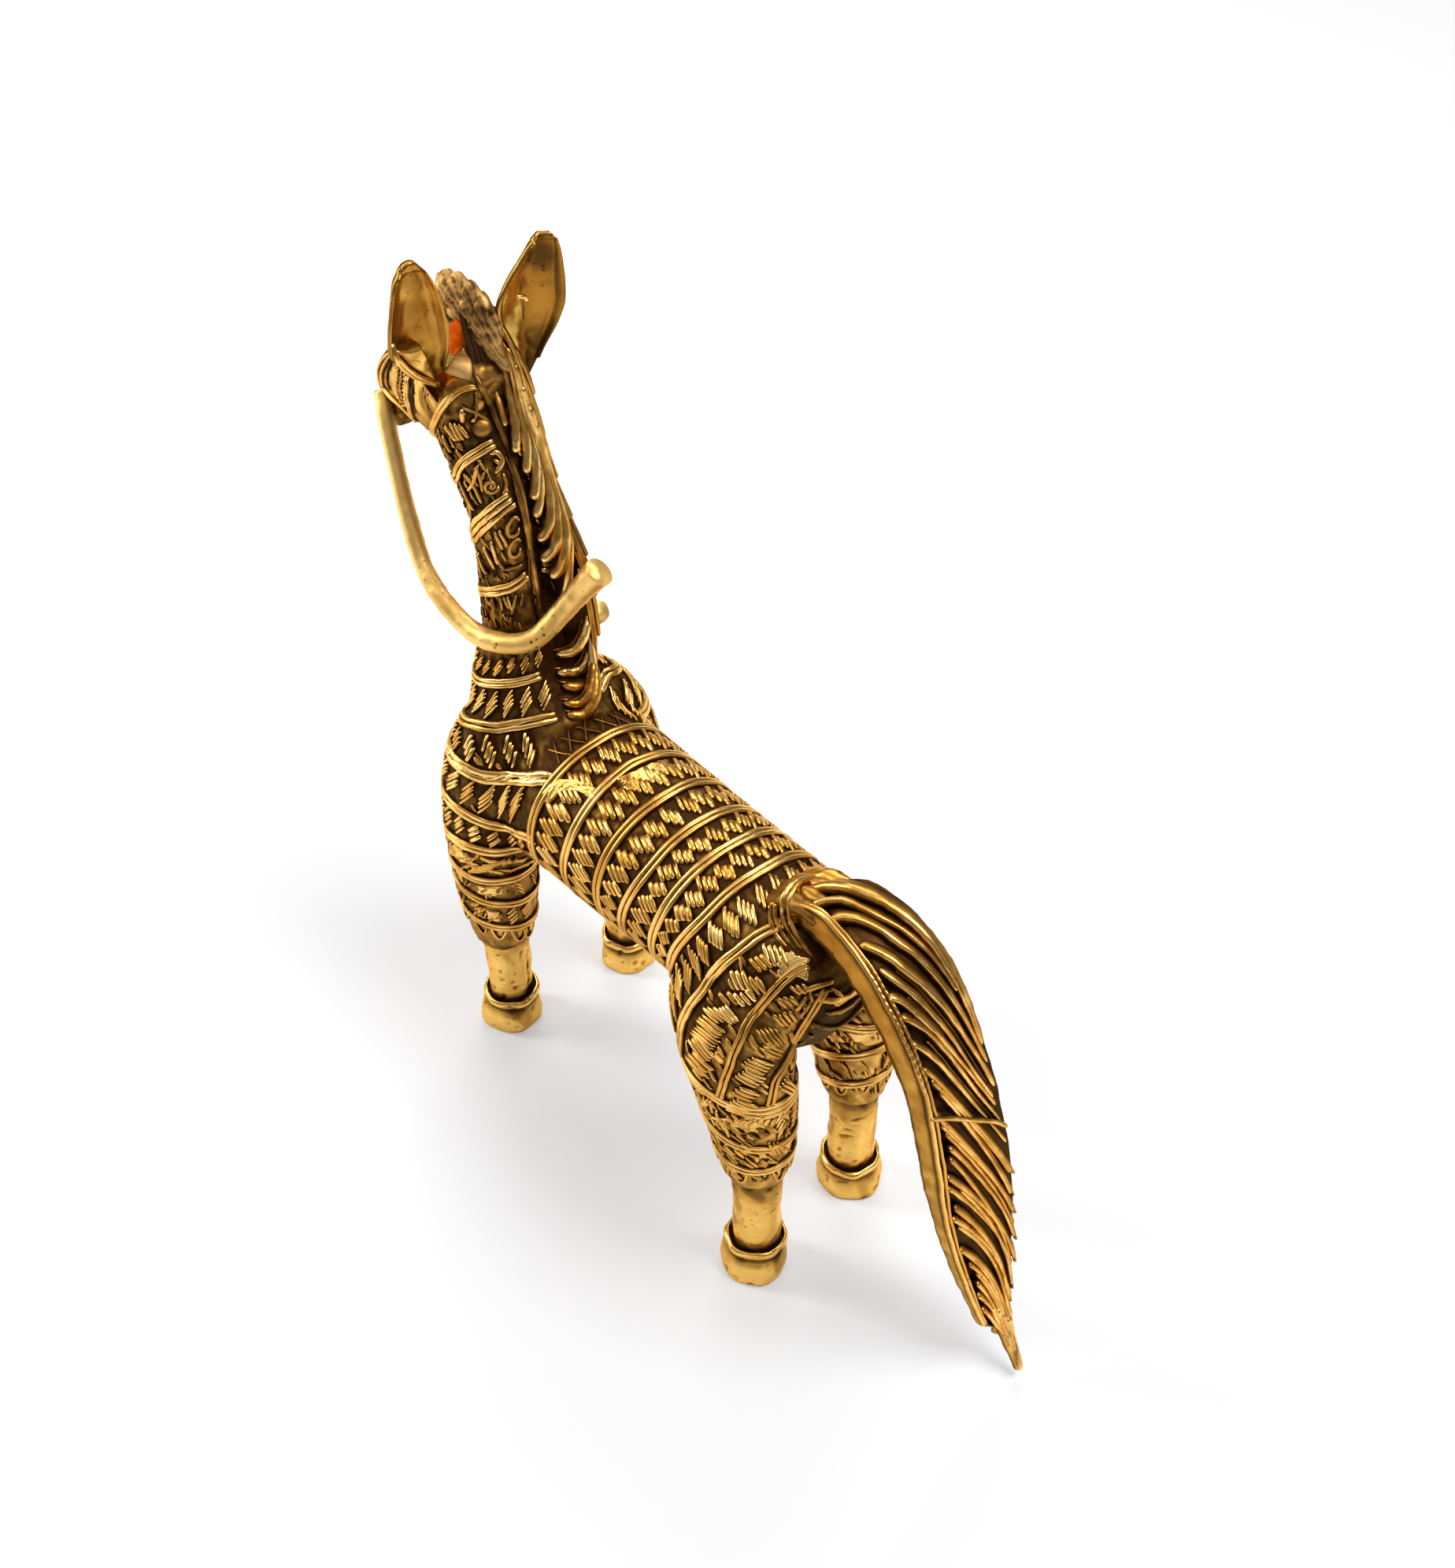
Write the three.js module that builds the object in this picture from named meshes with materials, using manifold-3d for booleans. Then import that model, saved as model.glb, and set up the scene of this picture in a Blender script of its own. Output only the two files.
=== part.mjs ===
// A cast brass horse in the lost-wax wire manner, standing on its four hooves.
// Millimetres, +Z up. The horse faces -Y, its left side is +X.
// Hollow wax-thread casting in one piece: body, legs, tail, mane, ears and reins are one metal.
import * as THREE from "three";
import { mergeVertices } from "three/addons/utils/BufferGeometryUtils.js";
import Module from "manifold-3d";

const wasm = await Module();
wasm.setup();

// ---------------------------------------------------------------- driving dimensions (mm)
const ORIGIN_X = -0.14; // middle of the outline box, across
const ORIGIN_Y = 3.67; // middle of the outline box, along
const WHEELBASE_FRONT = 49.2;
const WHEELBASE_REAR = -49.4;
const HOOF_RADIUS = 7.9; // flared foot
const HOOF_HEIGHT = 11.2;
const SHANK_RADIUS = 5.6; // plain tube above the hoof
const SLEEVE_LIFT_FRONT = 28.5; // where the wire-covered sleeve begins
const SLEEVE_LIFT_REAR = 33;
const BAND_PROUD = 0.75; // how far it stands off the ground
const REIN_RADIUS = 2.1;
const EAR_THICK = 0.95; // half thickness of an ear plate
const TAIL_THICK = 2.3; // half thickness of the tail blade
const FINGER_RADIUS = 1.55; // thick strands of tail and mane

// rows are [forward, left, up, half width across, half depth]
const TORSO = [
  [-58, 0, 88, 6, 6],
  [-55, 0, 88.2, 13, 12.5],
  [-49, 0, 88.6, 17.6, 16.8],
  [-40, 0, 88.2, 18.9, 18.2],
  [-26, 0, 87, 19.2, 18.8],
  [-8, 0, 85.5, 19.3, 19.3],
  [10, 0, 84, 19.8, 19.8],
  [28, 0, 82.7, 20.3, 20.3],
  [42, 0, 82, 20.6, 20.4],
  [53, 0, 83, 18.8, 17.5],
  [61, 0, 85, 13.5, 12.5],
  [66, 0, 86, 6, 6],
];
const NECK = [
  [46, 0, 84, 20, 17],
  [49.5, 0, 93, 19.2, 16.4],
  [53, 0, 101, 16, 14.4],
  [55.3, 0, 109, 12.6, 11.8],
  [56.2, 0, 118, 9.6, 9.6],
  [56.8, 0, 127, 8.6, 8.6],
  [57.8, 0, 137, 8.1, 8.1],
  [59.4, 0, 148, 8.3, 8.3],
  [62.6, 0, 158, 8.8, 8.8],
  [67.2, 0, 167, 9.4, 9.4],
  [71, 0, 174, 8.6, 8.6],
];
const HEAD = [
  [61.5, 0, 176, 6.4, 7],
  [66, 0, 176, 9.4, 9.4],
  [72, 0, 173.6, 9.8, 11],
  [79, 0, 170, 9.2, 11.4],
  [85.5, 0, 168, 8, 9.8],
  [91.5, 0, 166.4, 6.9, 8],
  [97, 0, 164.8, 5.8, 6.8],
  [100.6, 0, 163.4, 5, 6],
  [102.4, 0, 162.8, 3.8, 4.6],
];
const CHIN = [
  [93, 0, 162.5, 4.6, 4.8],
  [97, 0, 158, 4.8, 4.6],
  [100, 0, 154, 4.4, 4],
  [102, 0, 151, 3.2, 2.8],
];
const FEET = {
  front_left: [WHEELBASE_FRONT, 17.2],
  front_right: [45.7, -17.5],
  rear_left: [WHEELBASE_REAR, 16.4],
  rear_right: [-45.5, -16.1],
};

// ---------------------------------------------------------------- helpers
const at = (s, l, z) => new THREE.Vector3(l, -s, z);
const clamp = (x, a, b) => Math.min(b, Math.max(a, x));

// A smooth run through rows of numbers; t is 0 at the first row and 1 at the last.
function runThrough(rows) {
  const n = rows.length;
  return (t) => {
    const x = clamp(t, 0, 1) * (n - 1);
    const i = Math.min(Math.floor(x), n - 2);
    const u = x - i;
    const p0 = rows[Math.max(i - 1, 0)], p1 = rows[i], p2 = rows[i + 1], p3 = rows[Math.min(i + 2, n - 1)];
    return p1.map((_, k) => {
      const m1 = (p2[k] - p0[k]) / (i > 0 ? 2 : 1);
      const m2 = (p3[k] - p1[k]) / (i < n - 2 ? 2 : 1);
      const a = u * u * u, b = u * u;
      return (2 * a - 3 * b + 1) * p1[k] + (a - 2 * b + u) * m1 + (3 * b - 2 * a) * p2[k] + (a - b) * m2;
    });
  };
}

// Frame of a swept body at t: centre, across and depth directions, half sizes.
function frameOn(run, t, across) {
  const e = 1e-3;
  const a = run(Math.max(0, t - e)), b = run(Math.min(1, t + e)), r = run(t);
  const tangent = at(b[0] - a[0], b[1] - a[1], b[2] - a[2]).normalize();
  const side = (across ? across(t) : new THREE.Vector3(1, 0, 0)).clone();
  side.addScaledVector(tangent, -side.dot(tangent)).normalize();
  const depth = new THREE.Vector3().crossVectors(tangent, side).normalize();
  return { centre: at(r[0], r[1], r[2]), side, depth, a: r[3], b: r[4] };
}

// Where a vertex of the unit cylinder lies: along (0..1), from the axis (0 or 1), and round it, on whole steps.
function place(p, i, around, along) {
  const step = (2 * Math.PI) / around;
  const k = Math.round(Math.atan2(p.getZ(i), p.getX(i)) / step);
  return {
    t: Math.round((0.5 - p.getY(i)) * along) / along,
    rho: Math.hypot(p.getX(i), p.getZ(i)) > 0.5 ? 1 : 0,
    w: ((k + around) % around) * step,
  };
}

// A closed swept body: a cylinder whose rings are laid on the frames. A band is a raised ridge
// round the body at t, made of three rings; lean and sway tilt every ring of the body.
function sweep(rows, around = 16, along = rows.length * 2, o = {}) {
  const { across, cup = 0, power = 1, bands = [], lean = 0, sway = 0, width = 0.014, proud = BAND_PROUD } = o;
  const run = runThrough(rows);
  let rings = [];
  for (let i = 0; i <= along; i++) rings.push([i / along, 0]);
  for (const t of bands) {
    rings = rings.filter(([x]) => x === 0 || x === 1 || Math.abs(x - t) > width * 2.2);
    rings.push([t - width, 0], [t, proud], [t + width, 0]);
  }
  rings.sort((x, y) => x[0] - y[0]);
  const last = rings.length - 1;
  const g = new THREE.CylinderGeometry(1, 1, 1, around, last);
  const p = g.getAttribute("position");
  for (let i = 0; i < p.count; i++) {
    const { t, rho, w } = place(p, i, around, last);
    const [ringAt, raise] = rings[Math.round(t * last)];
    const c = Math.cos(w), s = Math.sin(w);
    const ease = Math.sin(Math.PI * clamp(ringAt, 0, 1)) ** 0.5; // ends stay square
    const f = frameOn(run, clamp(ringAt + (lean * c + sway * s) * ease, 0, 1), across);
    const x = Math.sign(c) * Math.pow(Math.abs(c), power) * (f.a + raise) * rho;
    const y = Math.sign(s) * Math.pow(Math.abs(s), power) * (f.b + raise) * rho + cup * f.a * (c * c - 0.5) * rho;
    const q = f.centre.clone().addScaledVector(f.side, x).addScaledVector(f.depth, y);
    p.setXYZ(i, q.x, q.y, q.z);
  }
  return solid(g);
}

// Turn a closed three.js geometry into a solid that can be joined.
function solid(geometry) {
  const g = geometry.clone();
  g.deleteAttribute("normal");
  g.deleteAttribute("uv");
  const m = mergeVertices(g, 1e-4);
  const pos = m.getAttribute("position").array;
  let idx = Array.from(m.index.array);
  const keep = [];
  for (let i = 0; i < idx.length; i += 3)
    if (idx[i] !== idx[i + 1] && idx[i + 1] !== idx[i + 2] && idx[i] !== idx[i + 2]) keep.push(idx[i], idx[i + 1], idx[i + 2]);
  let vol = 0;
  const v = (k) => new THREE.Vector3(pos[3 * k], pos[3 * k + 1], pos[3 * k + 2]);
  for (let i = 0; i < keep.length; i += 3) vol += v(keep[i]).dot(v(keep[i + 1]).cross(v(keep[i + 2])));
  if (vol < 0) for (let i = 0; i < keep.length; i += 3) [keep[i + 1], keep[i + 2]] = [keep[i + 2], keep[i + 1]];
  return new wasm.Manifold(
    new wasm.Mesh({ numProp: 3, vertProperties: new Float32Array(pos), triVerts: new Uint32Array(keep) }),
  );
}

const lerp = (a, b, u) => a.map((x, k) => x + (b[k] - x) * u);

// ---------------------------------------------------------------- legs
function legRows([s, l], front) {
  const h = Math.sign(l);
  const lift = front ? SLEEVE_LIFT_FRONT : SLEEVE_LIFT_REAR;
  const upper = front
    ? [
        [s, l, lift, 7.3, 7.3],
        [s, l + h * 0.5, lift + 9, 8.5, 8.5],
        [s + 0.3, l + h * 0.6, lift + 20, 9.6, 9.8],
        [s + 0.8, l + h * 0.4, lift + 32, 10.4, 11.2],
        [s + 1.2, l - h * 0.4, lift + 44, 10.9, 12.4],
        [s + 1.5, l - h * 2.4, lift + 56, 11.2, 12.6],
        [s + 1.5, l - h * 5.6, lift + 66, 10, 11],
        [s + 1.5, l - h * 8.6, lift + 73, 7, 8],
      ]
    : [
        [s, l, lift, 7.2, 7.2],
        [s + 0.4, l + h * 0.1, lift + 8, 8.2, 8.4],
        [s + 1.5, l + h * 0.3, lift + 18, 9.2, 10.2],
        [s + 4, l + h * 0.5, lift + 29, 10, 13.2],
        [s + 7.6, l + h * 0.1, lift + 39, 10.2, 16.4],
        [s + 11.5, l - h * 1.6, lift + 48, 9.4, 18],
        [s + 14, l - h * 4.4, lift + 56, 7, 15],
      ];
  return upper;
}
function leg(name) {
  const [s, l] = FEET[name];
  const front = name.startsWith("front");
  const lift = front ? SLEEVE_LIFT_FRONT : SLEEVE_LIFT_REAR;
  const r = name === "front_right" ? HOOF_RADIUS - 0.7 : name === "front_left" ? HOOF_RADIUS - 0.1 : HOOF_RADIUS;
  const hoof = sweep(
    [
      [s, l, 0, r, r],
      [s, l, 2.4, r + 0.05, r + 0.05],
      [s, l, 6, r - 0.5, r - 0.5],
      [s, l, 9.6, r - 0.2, r - 0.2],
      [s, l, HOOF_HEIGHT, r - 0.9, r - 0.9],
    ],
    14,
    4,
  );
  const shank = sweep(
    [
      [s, l, HOOF_HEIGHT - 3, SHANK_RADIUS + 0.2, SHANK_RADIUS + 0.2],
      [s, l, 20, SHANK_RADIUS, SHANK_RADIUS],
      [s, l, lift + 4, SHANK_RADIUS + 0.2, SHANK_RADIUS + 0.2],
    ],
    12,
    1,
  );
  const rings = front ? [0.04, 0.18, 0.32, 0.45, 0.57] : [0.04, 0.22, 0.39];
  const upper = sweep(legRows(FEET[name], front), 12, 7, { bands: rings, width: 0.02, proud: 0.6, lean: 0.01, sway: -0.015 });
  const body = hoof.add(shank).add(upper);
  return body;
}

// ---------------------------------------------------------------- torso, neck, head
let horse = sweep(TORSO, 18, 14, { bands: [0.2, 0.31, 0.41, 0.51, 0.6, 0.69], sway: 0.045, width: 0.013 });
horse = horse.add(sweep(NECK, 14, 10, { bands: [0.2, 0.33, 0.5, 0.68, 0.8, 0.92], sway: -0.02, width: 0.014, proud: 0.6 }));
horse = horse.add(sweep(HEAD, 12, 8, { bands: [0.72, 0.86], width: 0.02, proud: 0.5 })).add(sweep(CHIN, 8, 3));
for (const name of Object.keys(FEET)) horse = horse.add(leg(name));

// ---------------------------------------------------------------- tail
// Three edge lines, top to tip: the front left corner, the raised left rim, the right edge.
const TAIL_LEFT = [
  [-42, 4, 103],
  [-52, 5, 107.5],
  [-64, 5, 104],
  [-74, 4.6, 95],
  [-82, 4, 82],
  [-86.8, 3.6, 66],
  [-91, 2, 48],
  [-95.6, -1, 31],
  [-101.6, -4.8, 14.5],
  [-109.4, -8.2, 2.6],
];
const TAIL_RIM = [
  [-43, 3.2, 109],
  [-54, 4, 114.5],
  [-67, 4, 110.5],
  [-78, 4, 101.5],
  [-86.5, 3.8, 88.5],
  [-91.8, 3.4, 70],
  [-94.6, 1.8, 51],
  [-98.4, -1.2, 33],
  [-103.4, -5, 15.6],
  [-111.2, -8.8, 3],
];
const TAIL_RIGHT = [
  [-43.5, -5.5, 110.5],
  [-53.5, -9, 116.6],
  [-65.6, -12.2, 113.6],
  [-76.6, -14.4, 103.2],
  [-84.6, -15.6, 88],
  [-90.8, -16.1, 73.4],
  [-96, -16.2, 55],
  [-99.6, -15.2, 35],
  [-104, -12.4, 15.5],
  [-111.8, -10.4, 2.4],
];
const tailLeft = runThrough(TAIL_LEFT), tailRim = runThrough(TAIL_RIM), tailRight = runThrough(TAIL_RIGHT);
const vec = (r) => at(r[0], r[1], r[2]);
// A blade whose section runs from the front left corner round the rim to the right edge.
function tailBlade() {
  const along = 16, around = 10;
  const g = new THREE.CylinderGeometry(1, 1, 1, around, along);
  const p = g.getAttribute("position");
  for (let i = 0; i < p.count; i++) {
    const { t, rho, w } = place(p, i, around, along);
    const A = vec(tailLeft(t)), B = vec(tailRim(t)), C = vec(tailRight(t));
    const wide = C.clone().sub(B);
    const out = B.clone().sub(A); // from the inner face to the outer face
    const thick = out.length();
    out.normalize();
    const inner = A.clone(), innerRight = C.clone().addScaledVector(out, -0.55 * thick);
    const mid = B.clone().add(C).add(inner).add(innerRight).multiplyScalar(0.25);
    const c = Math.cos(w), s = Math.sin(w);
    const q = (x) => Math.sign(x) * Math.pow(Math.abs(x), 0.45);
    const u = 0.5 - 0.5 * q(c), v = 0.5 + 0.5 * q(s); // u 0 left .. 1 right, v 0 inner .. 1 outer
    const top = B.clone().lerp(C, u).addScaledVector(out, -0.5 * Math.sin(Math.PI * Math.min(1, u * 1.6)));
    const low = inner.clone().lerp(innerRight, u);
    const edge = low.lerp(top, v);
    const r = mid.clone().lerp(edge, rho);
    p.setXYZ(i, r.x, r.y, r.z);
  }
  return solid(g);
}
horse = horse.add(tailBlade());
// Thick strands: each starts with a round end behind the rim and runs down to the right edge.
const strands = 15;
for (let i = 0; i < strands; i++) {
  const t0 = 0.03 + (0.86 * i) / strands;
  const t1 = Math.min(0.985, t0 + 0.34 - 0.2 * (i / strands));
  const rows = [0, 0.12, 0.4, 0.7, 1].map((u) => {
    const t = t0 + (t1 - t0) * u;
    const B = tailRim(t), C = tailRight(t);
    const e = 0.16 + 0.78 * Math.pow(u, 0.85);
    const r = FINGER_RADIUS * (u === 0 ? 0.55 : 1) * (1 - 0.35 * u) * (i > 8 ? 0.75 : 1) * (i > 12 ? 0.8 : 1);
    const q = lerp(B, C, e);
    return [q[0] + 0.5, q[1], q[2] - 0.45, r, r];
  });
  horse = horse.add(sweep(rows, 5, 4));
}
// Collar of wires round the root of the tail.
horse = horse.add(
  sweep(
    [
      [-43.4, 8.2, 96, 1.5, 1.5],
      [-43.6, 9, 102, 1.6, 1.6],
      [-42.6, 6.2, 108.5, 1.6, 1.6],
      [-41.4, 0, 111, 1.6, 1.6],
      [-41.6, -6.2, 108.6, 1.6, 1.6],
      [-43, -9, 102, 1.5, 1.5],
    ],
    6,
    8,
    { across: () => new THREE.Vector3(0, 1, 0) },
  ),
);

// ---------------------------------------------------------------- mane
const MANE_RIM = [
  [76, 0.6, 186],
  [68.8, 0, 178.6],
  [61, 0, 169.5],
  [54.6, 0, 159.5],
  [51.4, 0, 146],
  [50.4, 0, 131],
  [48.6, 0, 115],
  [45.5, 0, 100.5],
];
const MANE_RIGHT = [
  [68.5, -3.6, 195],
  [60.5, -5.8, 185.4],
  [57.4, -7, 174.5],
  [54, -8, 160.5],
  [49, -8.8, 147.5],
  [43.8, -9.2, 135],
  [42.4, -9.2, 119],
  [43.4, -8.2, 101],
];
const maneRim = runThrough(MANE_RIM), maneRight = runThrough(MANE_RIGHT);
horse = horse.add(
  sweep(
    MANE_RIM.map((r, i) => {
      const c = lerp(r, MANE_RIGHT[i], 0.55);
      return [c[0] + 1.2, c[1], c[2] - 1, 4.6, 2.3];
    }),
    8,
    12,
    {
      across: (t) => {
        const a = maneRim(t), b = maneRight(t);
        return at(a[0] - b[0], a[1] - b[1], a[2] - b[2]).normalize();
      },
    },
  ),
);
horse = horse.add(sweep(MANE_RIM.map((r) => [r[0] + 0.4, r[1], r[2] - 0.4, 0.8, 1.2]), 6, 14));
const locks = 9;
for (let i = 0; i < locks; i++) {
  const t1 = 0.26 + (0.7 * i) / (locks - 1);
  const t0 = Math.max(0, t1 - 0.34);
  const rows = [0, 0.3, 0.65, 0.9, 1].map((u) => {
    const t = t0 + (t1 - t0) * u;
    const e = 0.95 - 0.72 * Math.pow(u, 1.4);
    const q = lerp(maneRim(t), maneRight(t), e);
    const r = FINGER_RADIUS * (u === 1 ? 0.6 : 0.95);
    return [q[0] - 0.2, q[1], q[2] + 0.2, r, r];
  });
  horse = horse.add(sweep(rows, 5, 4));
}
// Forelock: a tuft of strands standing over the brow.
for (const [ds, dl, tip] of [
  [0, 0.6, 0],
  [-2.2, -0.6, 0.6],
  [-4.4, -1.8, -0.4],
])
  horse = horse.add(
    sweep(
      [
        [66 + ds, dl - 1.5, 180, 2.6, 2.4],
        [69 + ds, dl - 1, 189, 2.5, 2.3],
        [72.4 + ds, dl - 0.4, 196.5 + tip, 2.2, 2],
        [75.4 + ds, dl, 200.6 + tip, 1.3, 1.2],
      ],
      8,
      6,
    ),
  );

// ---------------------------------------------------------------- ears
// rows are [up, middle from the centre plane, half width]
const EAR_LEFT = [
  [176, 6.8, 2.6],
  [181, 8.9, 3],
  [184.5, 10.1, 3.6],
  [188.3, 11.2, 5.7],
  [192.3, 12.6, 7.4],
  [197.3, 13, 7.3],
  [203.3, 13.1, 5.9],
  [208, 13.4, 4.2],
  [211.4, 13.4, 1.8],
];
const EAR_RIGHT = [
  [175, -7.2, 2.6],
  [179.8, -10.4, 2.8],
  [183.2, -11.6, 4.2],
  [188, -12.3, 7],
  [193, -12.3, 8.4],
  [198, -12.5, 7.6],
  [202, -13.6, 6],
  [206, -15, 4.4],
  [209.8, -16, 1.8],
];
const EAR_LEFT_AT = 69.5; // distance ahead of mid wheelbase
const EAR_RIGHT_AT = 65;
const EAR_CUP = 0.34; // the hollow of the ear faces the tail
function ear(rows, ahead, toe) {
  return sweep(rows.map(([z, l, w], i) => [ahead - 0.25 * i, l, z, w, EAR_THICK * (i ? 1 : 1.6)]), 12, 9, {
    across: () => new THREE.Vector3(1, toe, 0).normalize(),
    cup: EAR_CUP,
  });
}
horse = horse.add(ear(EAR_LEFT, EAR_LEFT_AT, 0.12)).add(ear(EAR_RIGHT, EAR_RIGHT_AT, -0.12));

// ---------------------------------------------------------------- reins
const REIN_LEFT = [
  [101, 4.6, 160, 1.9, 1.9],
  [97.7, 6.2, 156.3, 2, 2],
  [92.9, 8.1, 149.5, 2, 2],
  [88.1, 9.8, 143, 2, 2],
  [82.4, 11.6, 135.4, 2.1, 2.1],
  [76.2, 13, 128.6, 2.1, 2.1],
  [68.4, 13.7, 124.6, 2.2, 2.2],
  [61, 12.8, 121.4, 2.3, 2.3],
  [54.6, 11.6, 120.7, 2.4, 2.4],
  [48.6, 9.2, 121.8, 2.4, 2.4],
  [45.2, 5.8, 123, 2.4, 2.4],
  [44, 2.6, 125, 2.4, 2.4],
  [43.4, -0.6, 127.6, 2.5, 2.5],
  [42, -3.6, 131.4, 2.7, 2.7],
  [39.8, -6.4, 136.2, 3, 3],
  [37.4, -8.8, 140.6, 3.4, 3.4],
];
const REIN_RIGHT = [
  [101, -4.6, 160, 1.9, 1.9],
  [97.7, -6.4, 156, 2, 2],
  [92.5, -8.4, 149, 2, 2],
  [88, -10, 142.6, 2, 2],
  [82, -11.8, 135, 2.1, 2.1],
  [76, -13.2, 128, 2.1, 2.1],
  [68, -14, 123.8, 2.2, 2.2],
  [60.4, -14.2, 120.4, 2.3, 2.3],
  [53, -14, 118.2, 2.4, 2.4],
  [47.6, -13.4, 119.6, 2.6, 2.6],
  [43.8, -12.6, 123.4, 2.9, 2.9],
];
horse = horse.add(sweep(REIN_LEFT, 7, 17)).add(sweep(REIN_RIGHT, 7, 12));

// ---------------------------------------------------------------- the piece
function meshOf(made, name, material) {
  const out = made.getMesh();
  const g = new THREE.BufferGeometry();
  g.setAttribute("position", new THREE.BufferAttribute(new Float32Array(out.vertProperties), 3));
  g.setIndex(new THREE.BufferAttribute(new Uint32Array(out.triVerts), 1));
  g.computeVertexNormals();
  const mesh = new THREE.Mesh(g, material);
  mesh.name = name;
  return mesh;
}
const brass = new THREE.MeshStandardMaterial({ color: 0xc39a4b, roughness: 0.38, metalness: 1 });
const figure = new THREE.Group();
const casting = meshOf(horse, "horse_casting", brass);
casting.position.set(-ORIGIN_X, -ORIGIN_Y, 0);
figure.add(casting);

export default figure;
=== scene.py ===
import math

import bpy
import numpy as np
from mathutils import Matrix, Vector
from mathutils.bvhtree import BVHTree
from mathutils.kdtree import KDTree


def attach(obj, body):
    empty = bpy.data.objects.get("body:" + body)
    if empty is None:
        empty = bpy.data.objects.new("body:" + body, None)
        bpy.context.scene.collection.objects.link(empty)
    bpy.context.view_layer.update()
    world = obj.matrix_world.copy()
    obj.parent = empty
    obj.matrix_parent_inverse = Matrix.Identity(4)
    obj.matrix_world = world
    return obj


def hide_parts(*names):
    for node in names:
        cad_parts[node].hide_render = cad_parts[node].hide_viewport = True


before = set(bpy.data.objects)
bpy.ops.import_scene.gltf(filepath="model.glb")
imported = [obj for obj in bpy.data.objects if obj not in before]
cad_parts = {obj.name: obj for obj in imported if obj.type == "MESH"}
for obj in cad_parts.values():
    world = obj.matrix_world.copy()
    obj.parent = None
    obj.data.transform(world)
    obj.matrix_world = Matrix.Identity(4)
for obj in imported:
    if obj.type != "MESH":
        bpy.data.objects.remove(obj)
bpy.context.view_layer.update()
SCENE = bpy.context.scene
RNG = np.random.default_rng(11)

# Everything is worked out in millimetres in the row frame and scaled to metres when a mesh is made.
# Tables are in the horse's own axes: s ahead of mid wheelbase, l to its left, z up.
ORIGIN_X, ORIGIN_Y = -0.14, 3.67
MM = 0.001


def row(P):
    P = np.asarray(P, float)
    return np.stack([P[..., 1] - ORIGIN_X, -P[..., 0] - ORIGIN_Y, P[..., 2]], -1)


def horse(P):
    P = np.asarray(P, float)
    return np.stack([-(P[..., 1] + ORIGIN_Y), P[..., 0] + ORIGIN_X, P[..., 2]], -1)


def unit(v):
    v = np.asarray(v, float)
    return v / np.maximum(np.linalg.norm(v, axis=-1, keepdims=True), 1e-9)


# ---------------------------------------------------------------- camera: 44 degrees down, from behind the left side
EYE = np.array([212.84, 278.53, 450.0])
LOOK = unit([-0.4515, -0.5600, -0.6947])
RIGHT = unit(np.cross(LOOK, [0, 0, 1]))
UP = np.cross(RIGHT, LOOK)
FOCAL_PX, HIGH_PX = 2850.0, 1991.0

cam_data = bpy.data.cameras.new("photo_view")
cam_data.sensor_fit = "AUTO"
cam_data.sensor_width = 36.0
cam_data.lens = FOCAL_PX / HIGH_PX * 36.0
cam_data.clip_start, cam_data.clip_end = 0.01, 50.0
cam = bpy.data.objects.new("photo_view", cam_data)
SCENE.collection.objects.link(cam)
cam.location = EYE * MM
cam.rotation_mode = "QUATERNION"
cam.rotation_quaternion = Vector(LOOK).to_track_quat("-Z", "Y")
SCENE.camera = cam


# ---------------------------------------------------------------- tables of the casting, as in its solid
TORSO = [
    [-58, 0, 88, 6, 6], [-55, 0, 88.2, 13, 12.5], [-49, 0, 88.6, 17.6, 16.8], [-40, 0, 88.2, 18.9, 18.2],
    [-26, 0, 87, 19.2, 18.8], [-8, 0, 85.5, 19.3, 19.3], [10, 0, 84, 19.8, 19.8], [28, 0, 82.7, 20.3, 20.3],
    [42, 0, 82, 20.6, 20.4], [53, 0, 83, 18.8, 17.5], [61, 0, 85, 13.5, 12.5], [66, 0, 86, 6, 6],
]
NECK = [
    [46, 0, 84, 20, 17], [49.5, 0, 93, 19.2, 16.4], [53, 0, 101, 16, 14.4], [55.3, 0, 109, 12.6, 11.8],
    [56.2, 0, 118, 9.6, 9.6], [56.8, 0, 127, 8.6, 8.6], [57.8, 0, 137, 8.1, 8.1], [59.4, 0, 148, 8.3, 8.3],
    [62.6, 0, 158, 8.8, 8.8], [67.2, 0, 167, 9.4, 9.4], [71, 0, 174, 8.6, 8.6],
]
HEAD = [
    [61.5, 0, 176, 6.4, 7], [66, 0, 176, 9.4, 9.4], [72, 0, 173.6, 9.8, 11], [79, 0, 170, 9.2, 11.4],
    [85.5, 0, 168, 8, 9.8], [91.5, 0, 166.4, 6.9, 8], [97, 0, 164.8, 5.8, 6.8], [100.6, 0, 163.4, 5, 6],
    [102.4, 0, 162.8, 3.8, 4.6],
]
CHIN = [[93, 0, 162.5, 4.6, 4.8], [97, 0, 158, 4.8, 4.6], [100, 0, 154, 4.4, 4], [102, 0, 151, 3.2, 2.8]]
FEET = {"fl": [49.2, 17.2], "fr": [45.7, -17.5], "rl": [-49.4, 16.4], "rr": [-45.5, -16.1]}
LIFT = {"fl": 31.5, "fr": 31.5, "rl": 36, "rr": 36}
HOOF_R = {"fl": 7.8, "fr": 7.2, "rl": 7.9, "rr": 7.9}


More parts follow.
